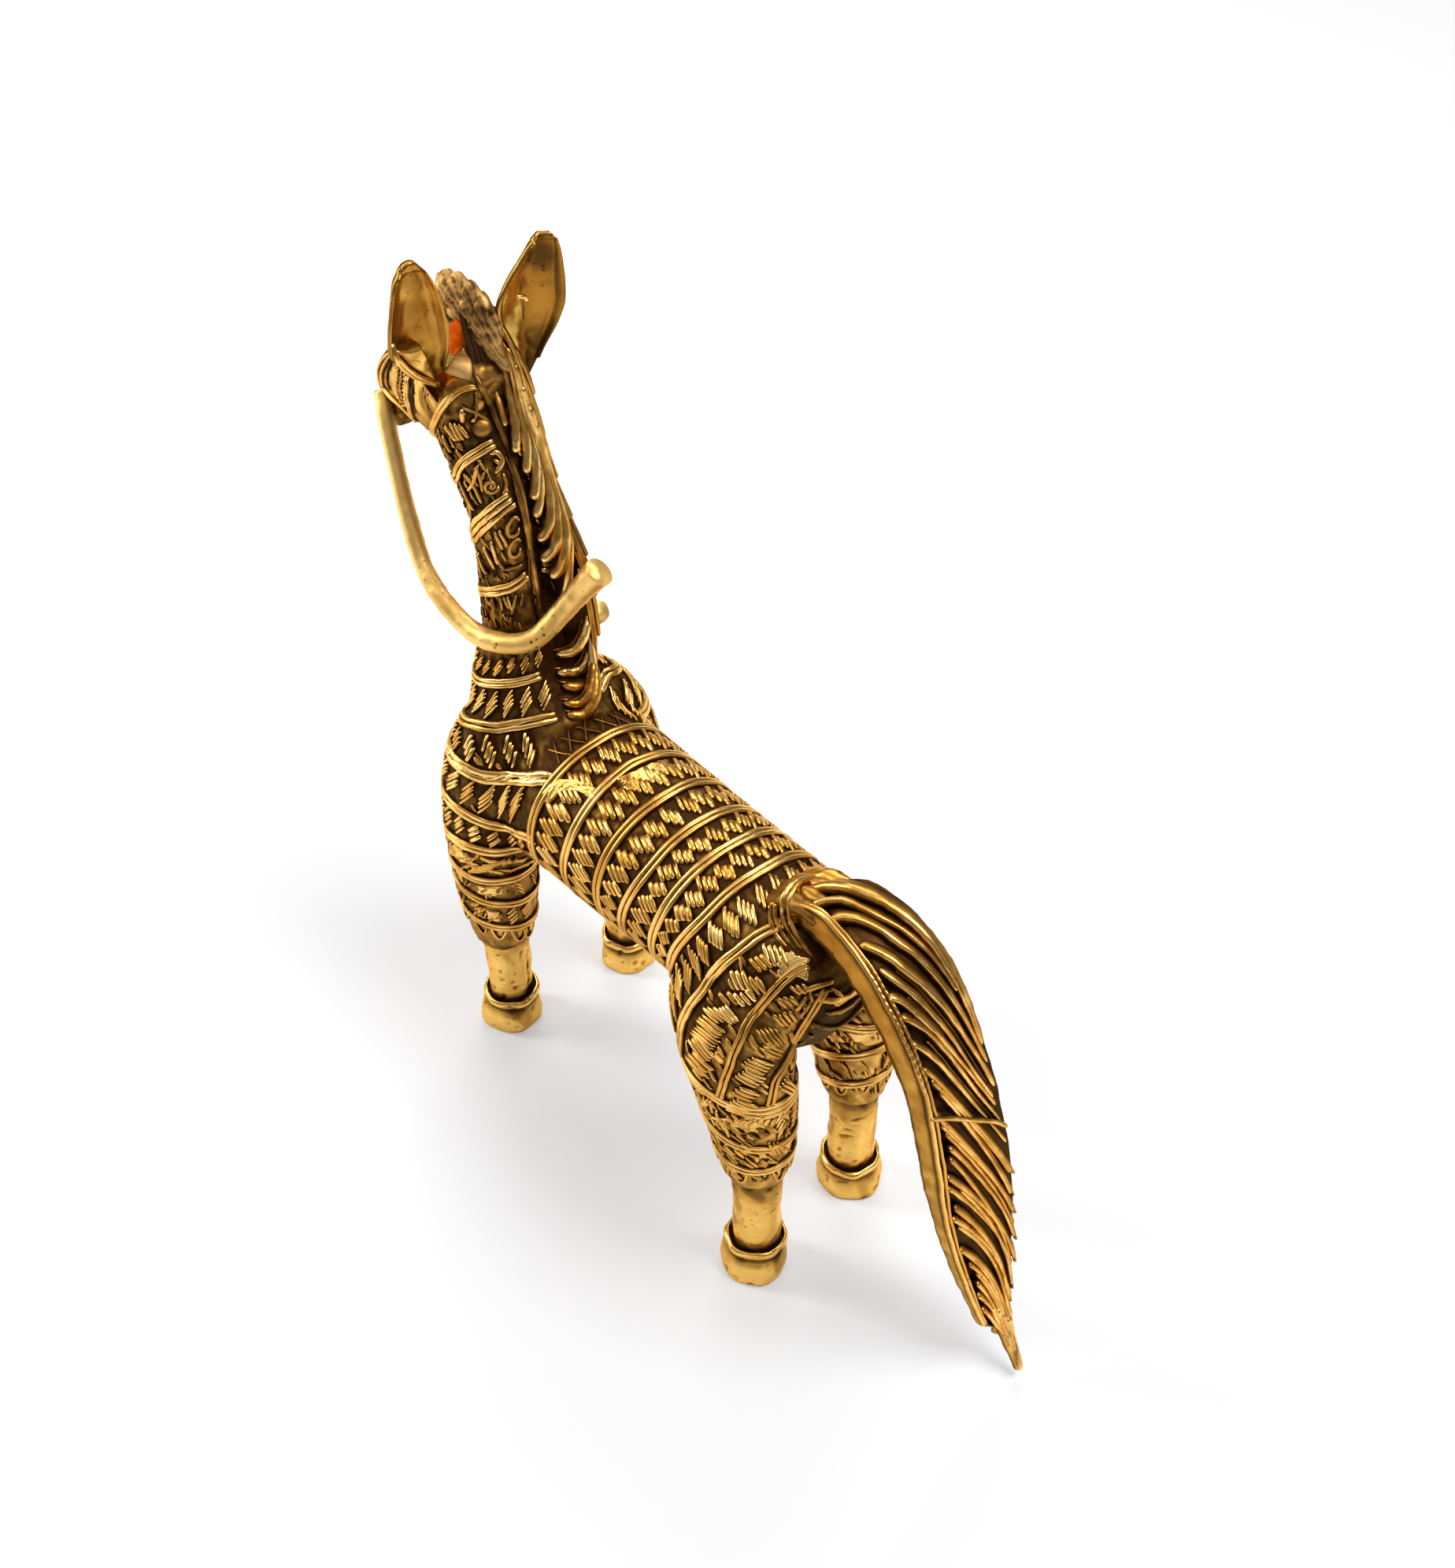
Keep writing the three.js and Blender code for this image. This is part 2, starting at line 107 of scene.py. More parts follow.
def leg_rows(name):
    s, l = FEET[name]
    h = math.copysign(1, l)
    b = LIFT[name]
    if name[0] == "f":
        return [
            [s, l, b, 7.2, 7.2], [s, l + h * 0.5, 38, 8.4, 8.4], [s + 0.3, l + h * 0.6, 48.5, 9.5, 9.7],
            [s + 0.8, l + h * 0.4, 60.5, 10.3, 11.1], [s + 1.2, l - h * 0.4, 72.5, 10.8, 12.3],
            [s + 1.5, l - h * 2.4, 84.5, 11.1, 12.5], [s + 1.5, l - h * 5.6, 94.5, 10, 11],
            [s + 1.5, l - h * 8.6, 101.5, 7, 8],
        ]
    return [
        [s, l, b, 7.2, 7.2], [s + 0.4, l + h * 0.1, 42, 8.2, 8.4], [s + 1.5, l + h * 0.3, 51, 9.1, 10.1],
        [s + 4, l + h * 0.5, 62, 9.9, 13.1], [s + 7.6, l + h * 0.1, 72, 10.1, 16.3],
        [s + 11.5, l - h * 1.6, 81, 9.3, 17.9], [s + 14, l - h * 4.4, 89, 7, 15],
    ]


TAIL_LEFT = [
    [-42, 4, 103], [-52, 5, 107.5], [-64, 5, 104], [-74, 4.6, 95], [-82, 4, 82], [-86.8, 3.6, 66], [-91, 2, 48],
    [-95.6, -1, 31], [-101.6, -4.8, 14.5], [-109.4, -8.2, 2.6],
]
TAIL_RIM = [
    [-43, 3.2, 109], [-54, 4, 114.5], [-67, 4, 110.5], [-78, 4, 101.5], [-86.5, 3.8, 88.5], [-91.8, 3.4, 70],
    [-94.6, 1.8, 51], [-98.4, -1.2, 33], [-103.4, -5, 15.6], [-111.2, -8.8, 3],
]
TAIL_RIGHT = [
    [-43.5, -5.5, 110.5], [-53.5, -9, 116.6], [-65.6, -12.2, 113.6], [-76.6, -14.4, 103.2], [-84.6, -15.6, 88],
    [-90.8, -16.1, 73.4], [-96, -16.2, 55], [-99.6, -15.2, 35], [-104, -12.4, 15.5], [-111.8, -10.4, 2.4],
]
MANE_RIM = [
    [76, 0.6, 186], [68.8, 0, 178.6], [61, 0, 169.5], [54.6, 0, 159.5], [51.4, 0, 146], [50.4, 0, 131],
    [48.6, 0, 115], [45.5, 0, 100.5],
]
MANE_RIGHT = [
    [68.5, -3.6, 195], [60.5, -5.8, 185.4], [57.4, -7, 174.5], [54, -8, 160.5], [49, -8.8, 147.5],
    [43.8, -9.2, 135], [42.4, -9.2, 119], [43.4, -8.2, 101],
]
REIN_LEFT = [
    [101, 4.6, 160, 1.9], [97.7, 6.2, 156.3, 2], [92.9, 8.1, 149.5, 2], [88.1, 9.8, 143, 2],
    [82.4, 11.6, 135.4, 2.1], [76.2, 13, 128.6, 2.1], [68.4, 13.7, 124.6, 2.2], [61, 12.8, 121.4, 2.3],
    [54.6, 11.6, 120.7, 2.4], [48.6, 9.2, 121.8, 2.4], [45.2, 5.8, 123, 2.4], [44, 2.6, 125, 2.4],
    [43.4, -0.6, 127.6, 2.5], [42, -3.6, 131.4, 2.7], [39.8, -6.4, 136.2, 3], [37.4, -8.8, 140.6, 3.4],
]
REIN_RIGHT = [
    [101, -4.6, 160, 1.9], [97.7, -6.4, 156, 2], [92.5, -8.4, 149, 2], [88, -10, 142.6, 2],
    [82, -11.8, 135, 2.1], [76, -13.2, 128, 2.1], [68, -14, 123.8, 2.2], [60.4, -14.2, 120.4, 2.3],
    [53, -14, 118.2, 2.4], [47.6, -13.4, 119.6, 2.6], [43.8, -12.6, 123.4, 2.9],
]
EAR_LEFT = [
    [176, 6.8, 2.6], [181, 8.9, 3], [184.5, 10.1, 3.6], [188.3, 11.2, 5.7], [192.3, 12.6, 7.4],
    [197.3, 13, 7.3], [203.3, 13.1, 5.9], [208, 13.4, 4.2], [211.4, 13.4, 1.8],
]
EAR_RIGHT = [
    [175, -7.2, 2.6], [179.8, -10.4, 2.8], [183.2, -11.6, 4.2], [188, -12.3, 7], [193, -12.3, 8.4],
    [198, -12.5, 7.6], [202, -13.6, 6], [206, -15, 4.4], [209.8, -16, 1.8],
]


# ---------------------------------------------------------------- curves
def run(rows, t):
    """Smooth run through rows of numbers, t 0 at the first and 1 at the last."""
    rows = np.asarray(rows, float)
    n = len(rows)
    x = np.clip(np.asarray(t, float), 0, 1) * (n - 1)
    i = np.minimum(np.floor(x).astype(int), n - 2)
    u = (x - i)[..., None]
    p0, p1, p2, p3 = rows[np.maximum(i - 1, 0)], rows[i], rows[i + 1], rows[np.minimum(i + 2, n - 1)]
    m1 = (p2 - p0) / np.where(i > 0, 2, 1)[..., None]
    m2 = (p3 - p1) / np.where(i < n - 2, 2, 1)[..., None]
    a, b = u**3, u**2
    return (2 * a - 3 * b + 1) * p1 + (a - 2 * b + u) * m1 + (3 * b - 2 * a) * p2 + (a - b) * m2


def evenly(P, n, smooth=True):
    """n points evenly spaced along a smooth line through P."""
    P = np.asarray(P, float)
    if smooth and len(P) > 2:
        P = run(P, np.linspace(0, 1, max(6 * len(P), 40)))
    d = np.r_[0, np.cumsum(np.linalg.norm(np.diff(P, axis=0), axis=1))]
    x = np.linspace(0, d[-1], n)
    return np.stack([np.interp(x, d, P[:, k]) for k in range(P.shape[1])], -1)


def length(P):
    return float(np.linalg.norm(np.diff(np.asarray(P, float), axis=0), axis=1).sum())


def frames(rows, ts, across=(1, 0, 0)):
    e = 1e-3
    a, b, r = run(rows, np.clip(ts - e, 0, 1)), run(rows, np.clip(ts + e, 0, 1)), run(rows, ts)
    tan = unit(row(b[:, :3]) - row(a[:, :3]))
    side = np.broadcast_to(np.asarray(across, float), tan.shape)
    side = unit(side - tan * (side * tan).sum(-1, keepdims=True))
    return row(r[:, :3]), tan, side, np.cross(tan, side), r


def wave(x, seed, octaves=((1.0, 1.0), (2.3, 0.5), (5.1, 0.25))):
    """Smooth repeatable unevenness along a line, about -1 to 1."""
    r = np.random.default_rng(seed)
    out = np.zeros_like(np.asarray(x, float))
    for f, a in octaves:
        out += a * np.sin(x * f + r.uniform(0, 6.28)) * np.sin(x * f * 0.61 + r.uniform(0, 6.28))
    return out


# ---------------------------------------------------------------- gathering meshes
class Gather:
    """Vertices, faces and the marks that the finish reads: how rubbed each point is, a mark that also carries painted
    shade (0 deep in the patina or in painted shade, 1 rubbed bright), and tone (0 pale gold, 1 amber).
    """

    def __init__(self):
        self.v, self.f3, self.f4, self.caps = [], [], [], []
        self.w, self.t = [], []
        self.n = 0

    def add(self, V, wear_and_shade, tone, quads=None, tris=None, caps=None):
        V = np.asarray(V, float).reshape(-1, 3)
        self.v.append(V)
        self.w.append(np.broadcast_to(np.asarray(wear_and_shade, float), (len(V),)) if np.ndim(wear_and_shade) < 1 else np.asarray(wear_and_shade, float).reshape(-1))
        self.t.append(np.broadcast_to(np.asarray(tone, float), (len(V),)) if np.ndim(tone) < 1 else np.asarray(tone, float).reshape(-1))
        if quads is not None and len(quads):
            self.f4.append(np.asarray(quads, int) + self.n)
        if tris is not None and len(tris):
            self.f3.append(np.asarray(tris, int) + self.n)
        if caps is not None:
            for c in caps:
                self.caps.append(np.asarray(c, int) + self.n)
        self.n += len(V)

    def triangles(self):
        return 2 * sum(map(len, self.f4)) + sum(map(len, self.f3)) + sum(len(c) - 2 for c in self.caps)


def to_object(name, V, loops, starts, wear_and_shade, tone, material, smooth=True):
    me = bpy.data.meshes.new(name)
    me.vertices.add(len(V))
    me.vertices.foreach_set("co", (V * MM).astype(np.float32).ravel())
    me.loops.add(len(loops))
    me.loops.foreach_set("vertex_index", loops.astype(np.int32))
    me.polygons.add(len(starts))
    me.polygons.foreach_set("loop_start", starts.astype(np.int32))
    me.polygons.foreach_set("use_smooth", np.full(len(starts), smooth))
    me.update(calc_edges=True)
    me.validate()
    for key, values in (("wear_and_shade", wear_and_shade), ("tone", tone)):
        a = me.attributes.new(key, "FLOAT", "POINT")
        a.data.foreach_set("value", np.clip(values, 0, 1).astype(np.float32))
    me.materials.append(material)
    o = bpy.data.objects.new(name, me)
    SCENE.collection.objects.link(o)
    return o


PIECES = []


def finish_piece(o):
    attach(o, "root")
    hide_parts("horse_casting")
    PIECES.append(o)
    return o


def build(name, g, material):
    V = np.concatenate(g.v)
    loops, starts, at = [], [], 0
    for f in g.f4:
        loops.append(f.ravel())
        starts.append(at + 4 * np.arange(len(f)))
        at += 4 * len(f)
    for f in g.f3:
        loops.append(f.ravel())
        starts.append(at + 3 * np.arange(len(f)))
        at += 3 * len(f)
    for c in g.caps:
        loops.append(c)
        starts.append(np.array([at]))
        at += len(c)
    o = to_object(name, V, np.concatenate(loops), np.concatenate(starts), np.concatenate(g.w), np.concatenate(g.t), material)
    return finish_piece(o)


# A thread's section, across and up, and how rubbed each point is.
ROUND = np.array([[-0.8, -0.5], [-1, 0.1], [-0.86, 0.52], [-0.5, 0.86], [0, 1], [0.5, 0.86], [0.86, 0.52], [1, 0.1], [0.8, -0.5]])
ROUND_WEAR = np.array([0, 0.12, 0.5, 0.9, 1, 0.9, 0.5, 0.12, 0])
FLAT = np.array([[-0.94, -0.5], [-1, 0.3], [-0.93, 0.76], [-0.72, 0.96], [0, 1.02], [0.72, 0.96], [0.93, 0.76], [1, 0.3], [0.94, -0.5]])
FLAT_WEAR = np.array([0, 0.15, 0.6, 0.95, 1, 0.95, 0.6, 0.15, 0])


def threads(g, P, N, w, h, tone=0.4, rub=1.0, section=FLAT, section_wear=FLAT_WEAR, ends="round", closed=False):
    """A batch of threads that lie on a surface. P and N are (threads, points, 3); w is half the width and h the height."""
    P, N = np.asarray(P, float), np.asarray(N, float)
    if P.ndim == 2:
        P, N = P[None], N[None]
    T, K, _ = P.shape
    w = np.broadcast_to(np.asarray(w, float), (T, K)).copy()
    h = np.broadcast_to(np.asarray(h, float), (T, K)).copy()
    rub = np.broadcast_to(np.asarray(rub, float), (T, K))
    tone = np.broadcast_to(np.asarray(tone, float), (T, K))
    if closed:
        tan = unit(np.roll(P, -1, 1) - np.roll(P, 1, 1))
    else:
        tan = unit(np.gradient(P, axis=1))
        if ends == "round":  # the last step at each end drops and narrows
            w[:, 0] *= 0.55
            w[:, -1] *= 0.55
            h[:, 0] *= 0.35
            h[:, -1] *= 0.35
    B = unit(np.cross(tan, N))
    Nn = unit(np.cross(B, tan))
    m = len(section)
    V = (
        P[:, :, None]
        + B[:, :, None] * (w[..., None] * section[:, 0])[..., None]
        + Nn[:, :, None] * (h[..., None] * section[:, 1])[..., None]
    )
    wear_and_shade = section_wear[None, None] * rub[..., None]
    tones = np.broadcast_to(tone[..., None], wear_and_shade.shape)
    base = (np.arange(T) * K * m)[:, None, None]
    i = np.arange(K if closed else K - 1)[None, :, None]
    j = np.arange(m)[None, None]
    i2, j2 = (i + 1) % K, (j + 1) % m
    quads = np.stack([base + i * m + j, base + i * m + j2, base + i2 * m + j2, base + i2 * m + j], -1).reshape(-1, 4)
    caps = None
    if not closed:
        caps = [r for t in range(T) for r in (t * K * m + np.arange(m)[::-1], t * K * m + (K - 1) * m + np.arange(m))]
    g.add(V, wear_and_shade.reshape(-1), tones.reshape(-1), quads=quads, caps=caps)


def rods(g, P, r, tone=0.4, wear_and_shade=1.0, m=12, bump=0.0, seed=0, flat_end=False):
    """A round rod through free space along P, closed at both ends."""
    P = np.asarray(P, float)
    K = len(P)
    tan = unit(np.gradient(P, axis=0))
    ref = np.array([0.0, 0.0, 1.0]) if abs(tan[:, 2]).mean() < 0.8 else np.array([1.0, 0, 0])
    side = unit(np.cross(tan, ref))
    up = np.cross(side, tan)
    a = np.arange(m) / m * 2 * np.pi
    rr = np.broadcast_to(np.asarray(r, float), (K,))[:, None] * np.ones(m)
    if bump:
        x = np.r_[0, np.cumsum(np.linalg.norm(np.diff(P, axis=0), axis=1))][:, None]
        rr = rr * (1 + bump * (wave(x * 0.9 + 2 * np.cos(a), seed) + 0.6 * wave(x * 2.1 + 3 * np.sin(a), seed + 1)))
    V = P[:, None] + side[:, None] * (rr * np.cos(a))[..., None] + up[:, None] * (rr * np.sin(a))[..., None]
    i, j = np.arange(K - 1)[:, None], np.arange(m)[None]
    j2 = (j + 1) % m
    quads = np.stack([i * m + j, i * m + j2, (i + 1) * m + j2, (i + 1) * m + j], -1).reshape(-1, 4)
    V = V.reshape(-1, 3)
    if flat_end:
        g.add(V, wear_and_shade if np.ndim(wear_and_shade) == 0 else np.repeat(wear_and_shade, m), tone, quads=quads, caps=[np.arange(m)[::-1], (K - 1) * m + np.arange(m)])
    else:
        n = len(V)
        V = np.vstack([V, P[0] - tan[0] * rr[0, 0] * 0.5, P[-1] + tan[-1] * rr[-1, 0] * 0.5])
        jj = np.arange(m)
        t1 = np.stack([np.full(m, n), (jj + 1) % m, jj], -1)
        t2 = np.stack([np.full(m, n + 1), (K - 1) * m + jj, (K - 1) * m + (jj + 1) % m], -1)
        g.add(V, wear_and_shade if np.ndim(wear_and_shade) == 0 else np.r_[np.repeat(wear_and_shade, m), wear_and_shade[0], wear_and_shade[-1]], tone, quads=quads, tris=np.vstack([t1, t2]))


# ---------------------------------------------------------------- the smooth body under the threads
def closed_sweep(rows, nt=48, nw=40, across=(1, 0, 0)):
    ts = np.linspace(0, 1, nt)
    c, tan, side, depth, r = frames(rows, ts, across)
    a = np.arange(nw) / nw * 2 * np.pi
    V = c[:, None] + side[:, None] * (r[:, 3:4] * np.cos(a))[..., None] + depth[:, None] * (r[:, 4:5] * np.sin(a))[..., None]
    i, j = np.arange(nt - 1)[:, None], np.arange(nw)[None]
    j2 = (j + 1) % nw
    quads = np.stack([i * nw + j, i * nw + j2, (i + 1) * nw + j2, (i + 1) * nw + j], -1).reshape(-1, 4)
    n = nt * nw
    V = np.vstack([V.reshape(-1, 3), c[0], c[-1]])
    jj = np.arange(nw)
    t1 = np.stack([np.full(nw, n), (jj + 1) % nw, jj], -1)
    t2 = np.stack([np.full(nw, n + 1), (nt - 1) * nw + jj, (nt - 1) * nw + (jj + 1) % nw], -1)
    return V, [list(map(int, q)) for q in quads] + [list(map(int, t)) for t in np.vstack([t1, t2])]


def ball(c, r, n=20):
    c = row(c)
    th = np.linspace(0, np.pi, n)
    rows_v = [c + np.array([0, 0, r[2]])]
    V, F = [], []
    a = np.arange(2 * n) / (2 * n) * 2 * np.pi
    V.append(c + np.array([0, 0, r[2]]))
    for t in th[1:-1]:
        V += list(c + np.stack([r[1] * np.sin(t) * np.cos(a), r[0] * np.sin(t) * np.sin(a), np.full_like(a, r[2] * np.cos(t))], -1))
    V.append(c - np.array([0, 0, r[2]]))
    m, k = 2 * n, n - 2
    for j in range(m):
        F.append([0, 1 + j, 1 + (j + 1) % m])
        F.append([len(V) - 1, 1 + (k - 1) * m + (j + 1) % m, 1 + (k - 1) * m + j])
    for i in range(k - 1):
        for j in range(m):
            F.append([1 + i * m + j, 1 + (i + 1) * m + j, 1 + (i + 1) * m + (j + 1) % m, 1 + i * m + (j + 1) % m])
    return np.array(V), F


def joined_body(voxel):
    V, F, n = [], [], 0
    shapes = [closed_sweep(TORSO), closed_sweep(NECK), closed_sweep(HEAD), closed_sweep(CHIN)]
    shapes += [closed_sweep(leg_rows(k)) for k in FEET]
    shapes += [ball([54, 0, 79], [9.5, 15, 15]), ball([-46, 0, 80], [9, 13, 12]), ball([66, 0, 165], [6, 7, 7])]
    for v, f in shapes:
        V.append(v)
        F += [[k + n for k in q] for q in f]
        n += len(v)
    me = bpy.data.meshes.new("rough")
    me.from_pydata(np.vstack(V).tolist(), [], F)
    o = bpy.data.objects.new("rough", me)
    SCENE.collection.objects.link(o)
    m = o.modifiers.new("remesh", "REMESH")
    m.mode = "VOXEL"
    m.voxel_size = voxel
    s = o.modifiers.new("smooth", "SMOOTH")
    s.factor = 0.5
    s.iterations = 14
    dg = bpy.context.evaluated_depsgraph_get()
    made = bpy.data.meshes.new_from_object(o.evaluated_get(dg))
    bpy.data.objects.remove(o)
    V = np.zeros(len(made.vertices) * 3)
    made.vertices.foreach_get("co", V)
    V = V.reshape(-1, 3)
    made.calc_loop_triangles()
    tri = np.zeros(len(made.loop_triangles) * 3, int)
    made.loop_triangles.foreach_get("vertices", tri)
    loops = np.zeros(len(made.loops), int)
    made.loops.foreach_get("vertex_index", loops)
    starts = np.zeros(len(made.polygons), int)
    made.polygons.foreach_get("loop_start", starts)
    bpy.data.meshes.remove(made)
    return V, tri.reshape(-1, 3), loops, starts


class Surface:
    """A skin that threads are laid on."""

    def __init__(self, V, T):
        self.V, self.T = np.asarray(V, float), np.asarray(T, int)
        fn = np.cross(self.V[self.T[:, 1]] - self.V[self.T[:, 0]], self.V[self.T[:, 2]] - self.V[self.T[:, 0]])
        vn = np.zeros_like(self.V)
        for k in range(3):
            np.add.at(vn, self.T[:, k], fn)
        self.vn = unit(vn)
        self.tree = BVHTree.FromPolygons(self.V.tolist(), self.T.tolist())

    def normals(self, P, idx):
        tri = self.T[idx]
        d = 1.0 / (np.linalg.norm(self.V[tri] - P[:, None], axis=2) + 0.05)
        return unit((self.vn[tri] * d[..., None]).sum(1))

    def near(self, P):
        P = np.asarray(P, float)
        flat = P.reshape(-1, 3)
        out, idx = np.empty_like(flat), np.empty(len(flat), int)
        for i, p in enumerate(flat):
            loc, _, k, _ = self.tree.find_nearest(Vector(p))
            out[i], idx[i] = loc, k
        return out.reshape(P.shape), self.normals(out, idx).reshape(P.shape)

    def cast(self, O, D):
        """First hit of each ray, or nan."""
        O, D = np.broadcast_arrays(np.asarray(O, float), np.asarray(D, float))
        out = np.full(O.reshape(-1, 3).shape, np.nan)
        for i, (o, d) in enumerate(zip(O.reshape(-1, 3), D.reshape(-1, 3))):
            loc, _, k, _ = self.tree.ray_cast(Vector(o), Vector(d))
            if loc is not None:
                out[i] = loc
        return out.reshape(O.shape)


VOXEL = 0.85
bodyV, bodyT, bodyL, bodyS = joined_body(VOXEL)
SKIN = Surface(bodyV, bodyT)


# ---------------------------------------------------------------- laying things on the skin
def lay(P, skin=None):
    return (skin or SKIN).near(P)


def band(g, C, skin=None, gap=0.70, w=0.65, h=0.85, tone=0.35, rub=1.0, seed=0, closed=False, step=0.75, count=2, fade=None):
    """A band of side by side threads along the line C on the skin."""
    C = np.asarray(C, float)
    if closed:
        n = max(12, int(length(np.vstack([C, C[:1]])) / step))
        C = evenly(np.vstack([C, C[:1]]), n + 1, smooth=False)[:-1]
        C, N = lay(C, skin)
        tan = unit(np.roll(C, -1, 0) - np.roll(C, 1, 0))
    else:
        n = max(5, int(length(C) / step))
        C = evenly(C, n)
        C, N = lay(C, skin)
        tan = unit(np.gradient(C, axis=0))
    B = unit(np.cross(tan, N))
    x = np.arange(n) * step
    if closed:  # a wave that closes on itself
        x = 6 * np.sin(np.arange(n) / n * 2 * np.pi) + 5 * np.cos(np.arange(n) / n * 2 * np.pi)
    wob = 0.1 * wave(x * 0.5, seed)
    for k in range(count):
        off = (k - (count - 1) / 2) * 2 * gap * (1 + 0.06 * wave(x * 0.35, seed + 31)) + wob
        P, Nn = lay(C + B * off[:, None], skin)
        ww = w * (1 + 0.12 * wave(x * 0.8, seed + 7 * k + 1))
        hh = h * (1 + 0.09 * wave(x * 0.6, seed + 5 * k + 2))
        r = rub * (0.86 + 0.14 * wave(x * 0.45, seed + 3 * k + 3))
        if fade is not None:
            r = r * fade
        threads(g, P, Nn, ww, hh, tone=tone + 0.12 * wave(x * 0.2, seed + 9), rub=r, closed=closed)


class Strip:
    """The ground between two lines P and Q, u along in mm at mid width and v across, 0 at P and 1 at Q."""

    def __init__(self, P, Q, n=160, closed=False):
        if closed:
            P, Q = np.vstack([P, P[:1]]), np.vstack([Q, Q[:1]])
            self.P, self.Q = evenly(P, n, smooth=False), evenly(Q, n, smooth=False)
        else:
            self.P, self.Q = evenly(P, n), evenly(Q, n)
        mid = (self.P + self.Q) / 2
        self.u = np.r_[0, np.cumsum(np.linalg.norm(np.diff(mid, axis=0), axis=1))]
        self.L, self.closed = self.u[-1], closed
        self.wide = np.linalg.norm(self.P - self.Q, axis=1)

    def width(self, u):
        return np.interp(np.mod(u, self.L) if self.closed else u, self.u, self.wide)

    def at(self, u, v):
        u, v = np.broadcast_arrays(np.asarray(u, float), np.asarray(v, float))
        x = np.mod(u, self.L) if self.closed else np.clip(u, 0, self.L)
        P = np.stack([np.interp(x, self.u, self.P[:, k]) for k in range(3)], -1)
        Q = np.stack([np.interp(x, self.u, self.Q[:, k]) for k in range(3)], -1)
        return P + (Q - P) * v[..., None]


def chips(g, strip, pitch=4.3, n=4, margin=1.2, w=0.46, h=0.8, lean=(0.36, -0.58), rise=(0.5, 0.47), flip=False, jitter=0.12, miss=0.0, merged=0.1,
          keep=None, tone=0.35, rub=1.0, seed=0, pts=6, start=0.5, skin=None, length_=1.0, fat=1.0, height_var=0.25):
    """A chain of lozenges in a strip, tip to tip, each made of n short threads side by side.
    From the corner at P's band the threads run lean[0] of the pitch along and rise[0] of the gap across; they are stacked along lean[1], rise[1]."""
    r = np.random.default_rng(seed)
    count = max(int(round(strip.L / pitch)), 1)
    pitch = strip.L / count
    U0, V0, U1, V1, WW, RR, TT, HH = [], [], [], [], [], [], [], []
    for k in range(count):
        u = (k + start) * pitch + r.normal(0, jitter * 0.6)
        skip = r.random() < miss
        wide = float(strip.width(u))
        lo, hi = margin / wide, 1 - margin / wide
        if skip or hi - lo < 0.2 or (keep is not None and not keep(horse(strip.at(u, 0.5)), u)):
            continue
        lean_k = lean(u) if callable(lean) else lean
        span = hi - lo
        A = np.array([lean_k[0] * pitch, rise[0] * span]) * (1 + r.normal(0, jitter, 2) * [0.6, 0.2])
        B = np.array([lean_k[1] * pitch, rise[1] * span]) * (1 + r.normal(0, jitter, 2) * [0.6, 0.2])
        F = np.array([u - (A[0] + B[0]) / 2, lo]) + r.normal(0, 0.03, 2) * [pitch, 0.5]
        if flip:
            A, B = B, A
        is_merged = r.random() < merged
        nn = n if not is_merged else max(2, n - 1)
        stack = math.hypot(B[0], B[1] * wide) * abs(math.sin(math.atan2(B[1] * wide, B[0]) - math.atan2(A[1] * wide, A[0])))
        wk = 0.505 * fat * stack / nn if w is None else w * n / nn
        rub_k = rub * r.uniform(0.78, 1.0)
        tone_k = tone + r.normal(0, 0.14)
        hk = h * (1 - height_var * r.random())
        for i in range(nn):
            s0 = F + B * ((i + 0.5) / nn) + r.normal(0, 0.012, 2) * [pitch, 1]
            la = length_ * r.uniform(0.9, 1.03)
            U0.append(s0[0] + A[0] * (1 - la) / 2)
            V0.append(s0[1] + A[1] * (1 - la) / 2)
            U1.append(s0[0] + A[0] * (1 + la) / 2)
            V1.append(s0[1] + A[1] * (1 + la) / 2)
            WW.append(wk * r.uniform(0.9, 1.06) * (1.1 if is_merged else 1))
            RR.append(rub_k * r.uniform(0.84, 1.0))
            TT.append(tone_k)
            HH.append(hk * r.uniform(0.92, 1.05))
    if not U0:
        return
    x = np.linspace(0, 1, pts)
    U0, V0, U1, V1 = map(np.array, (U0, V0, U1, V1))
    x[1], x[-2] = 0.09, 0.91  # ends are close pairs of points, so they stay crisp
    U = U0[:, None] + (U1 - U0)[:, None] * x
    V = V0[:, None] + (V1 - V0)[:, None] * x
    P, N = lay(strip.at(U, V), skin)
    shape = 1 - 0.12 * np.abs(2 * x - 1) ** 2
    threads(g, P, N, np.array(WW)[:, None] * shape, np.array(HH)[:, None] * np.ones(pts), tone=np.array(TT)[:, None], rub=np.array(RR)[:, None])


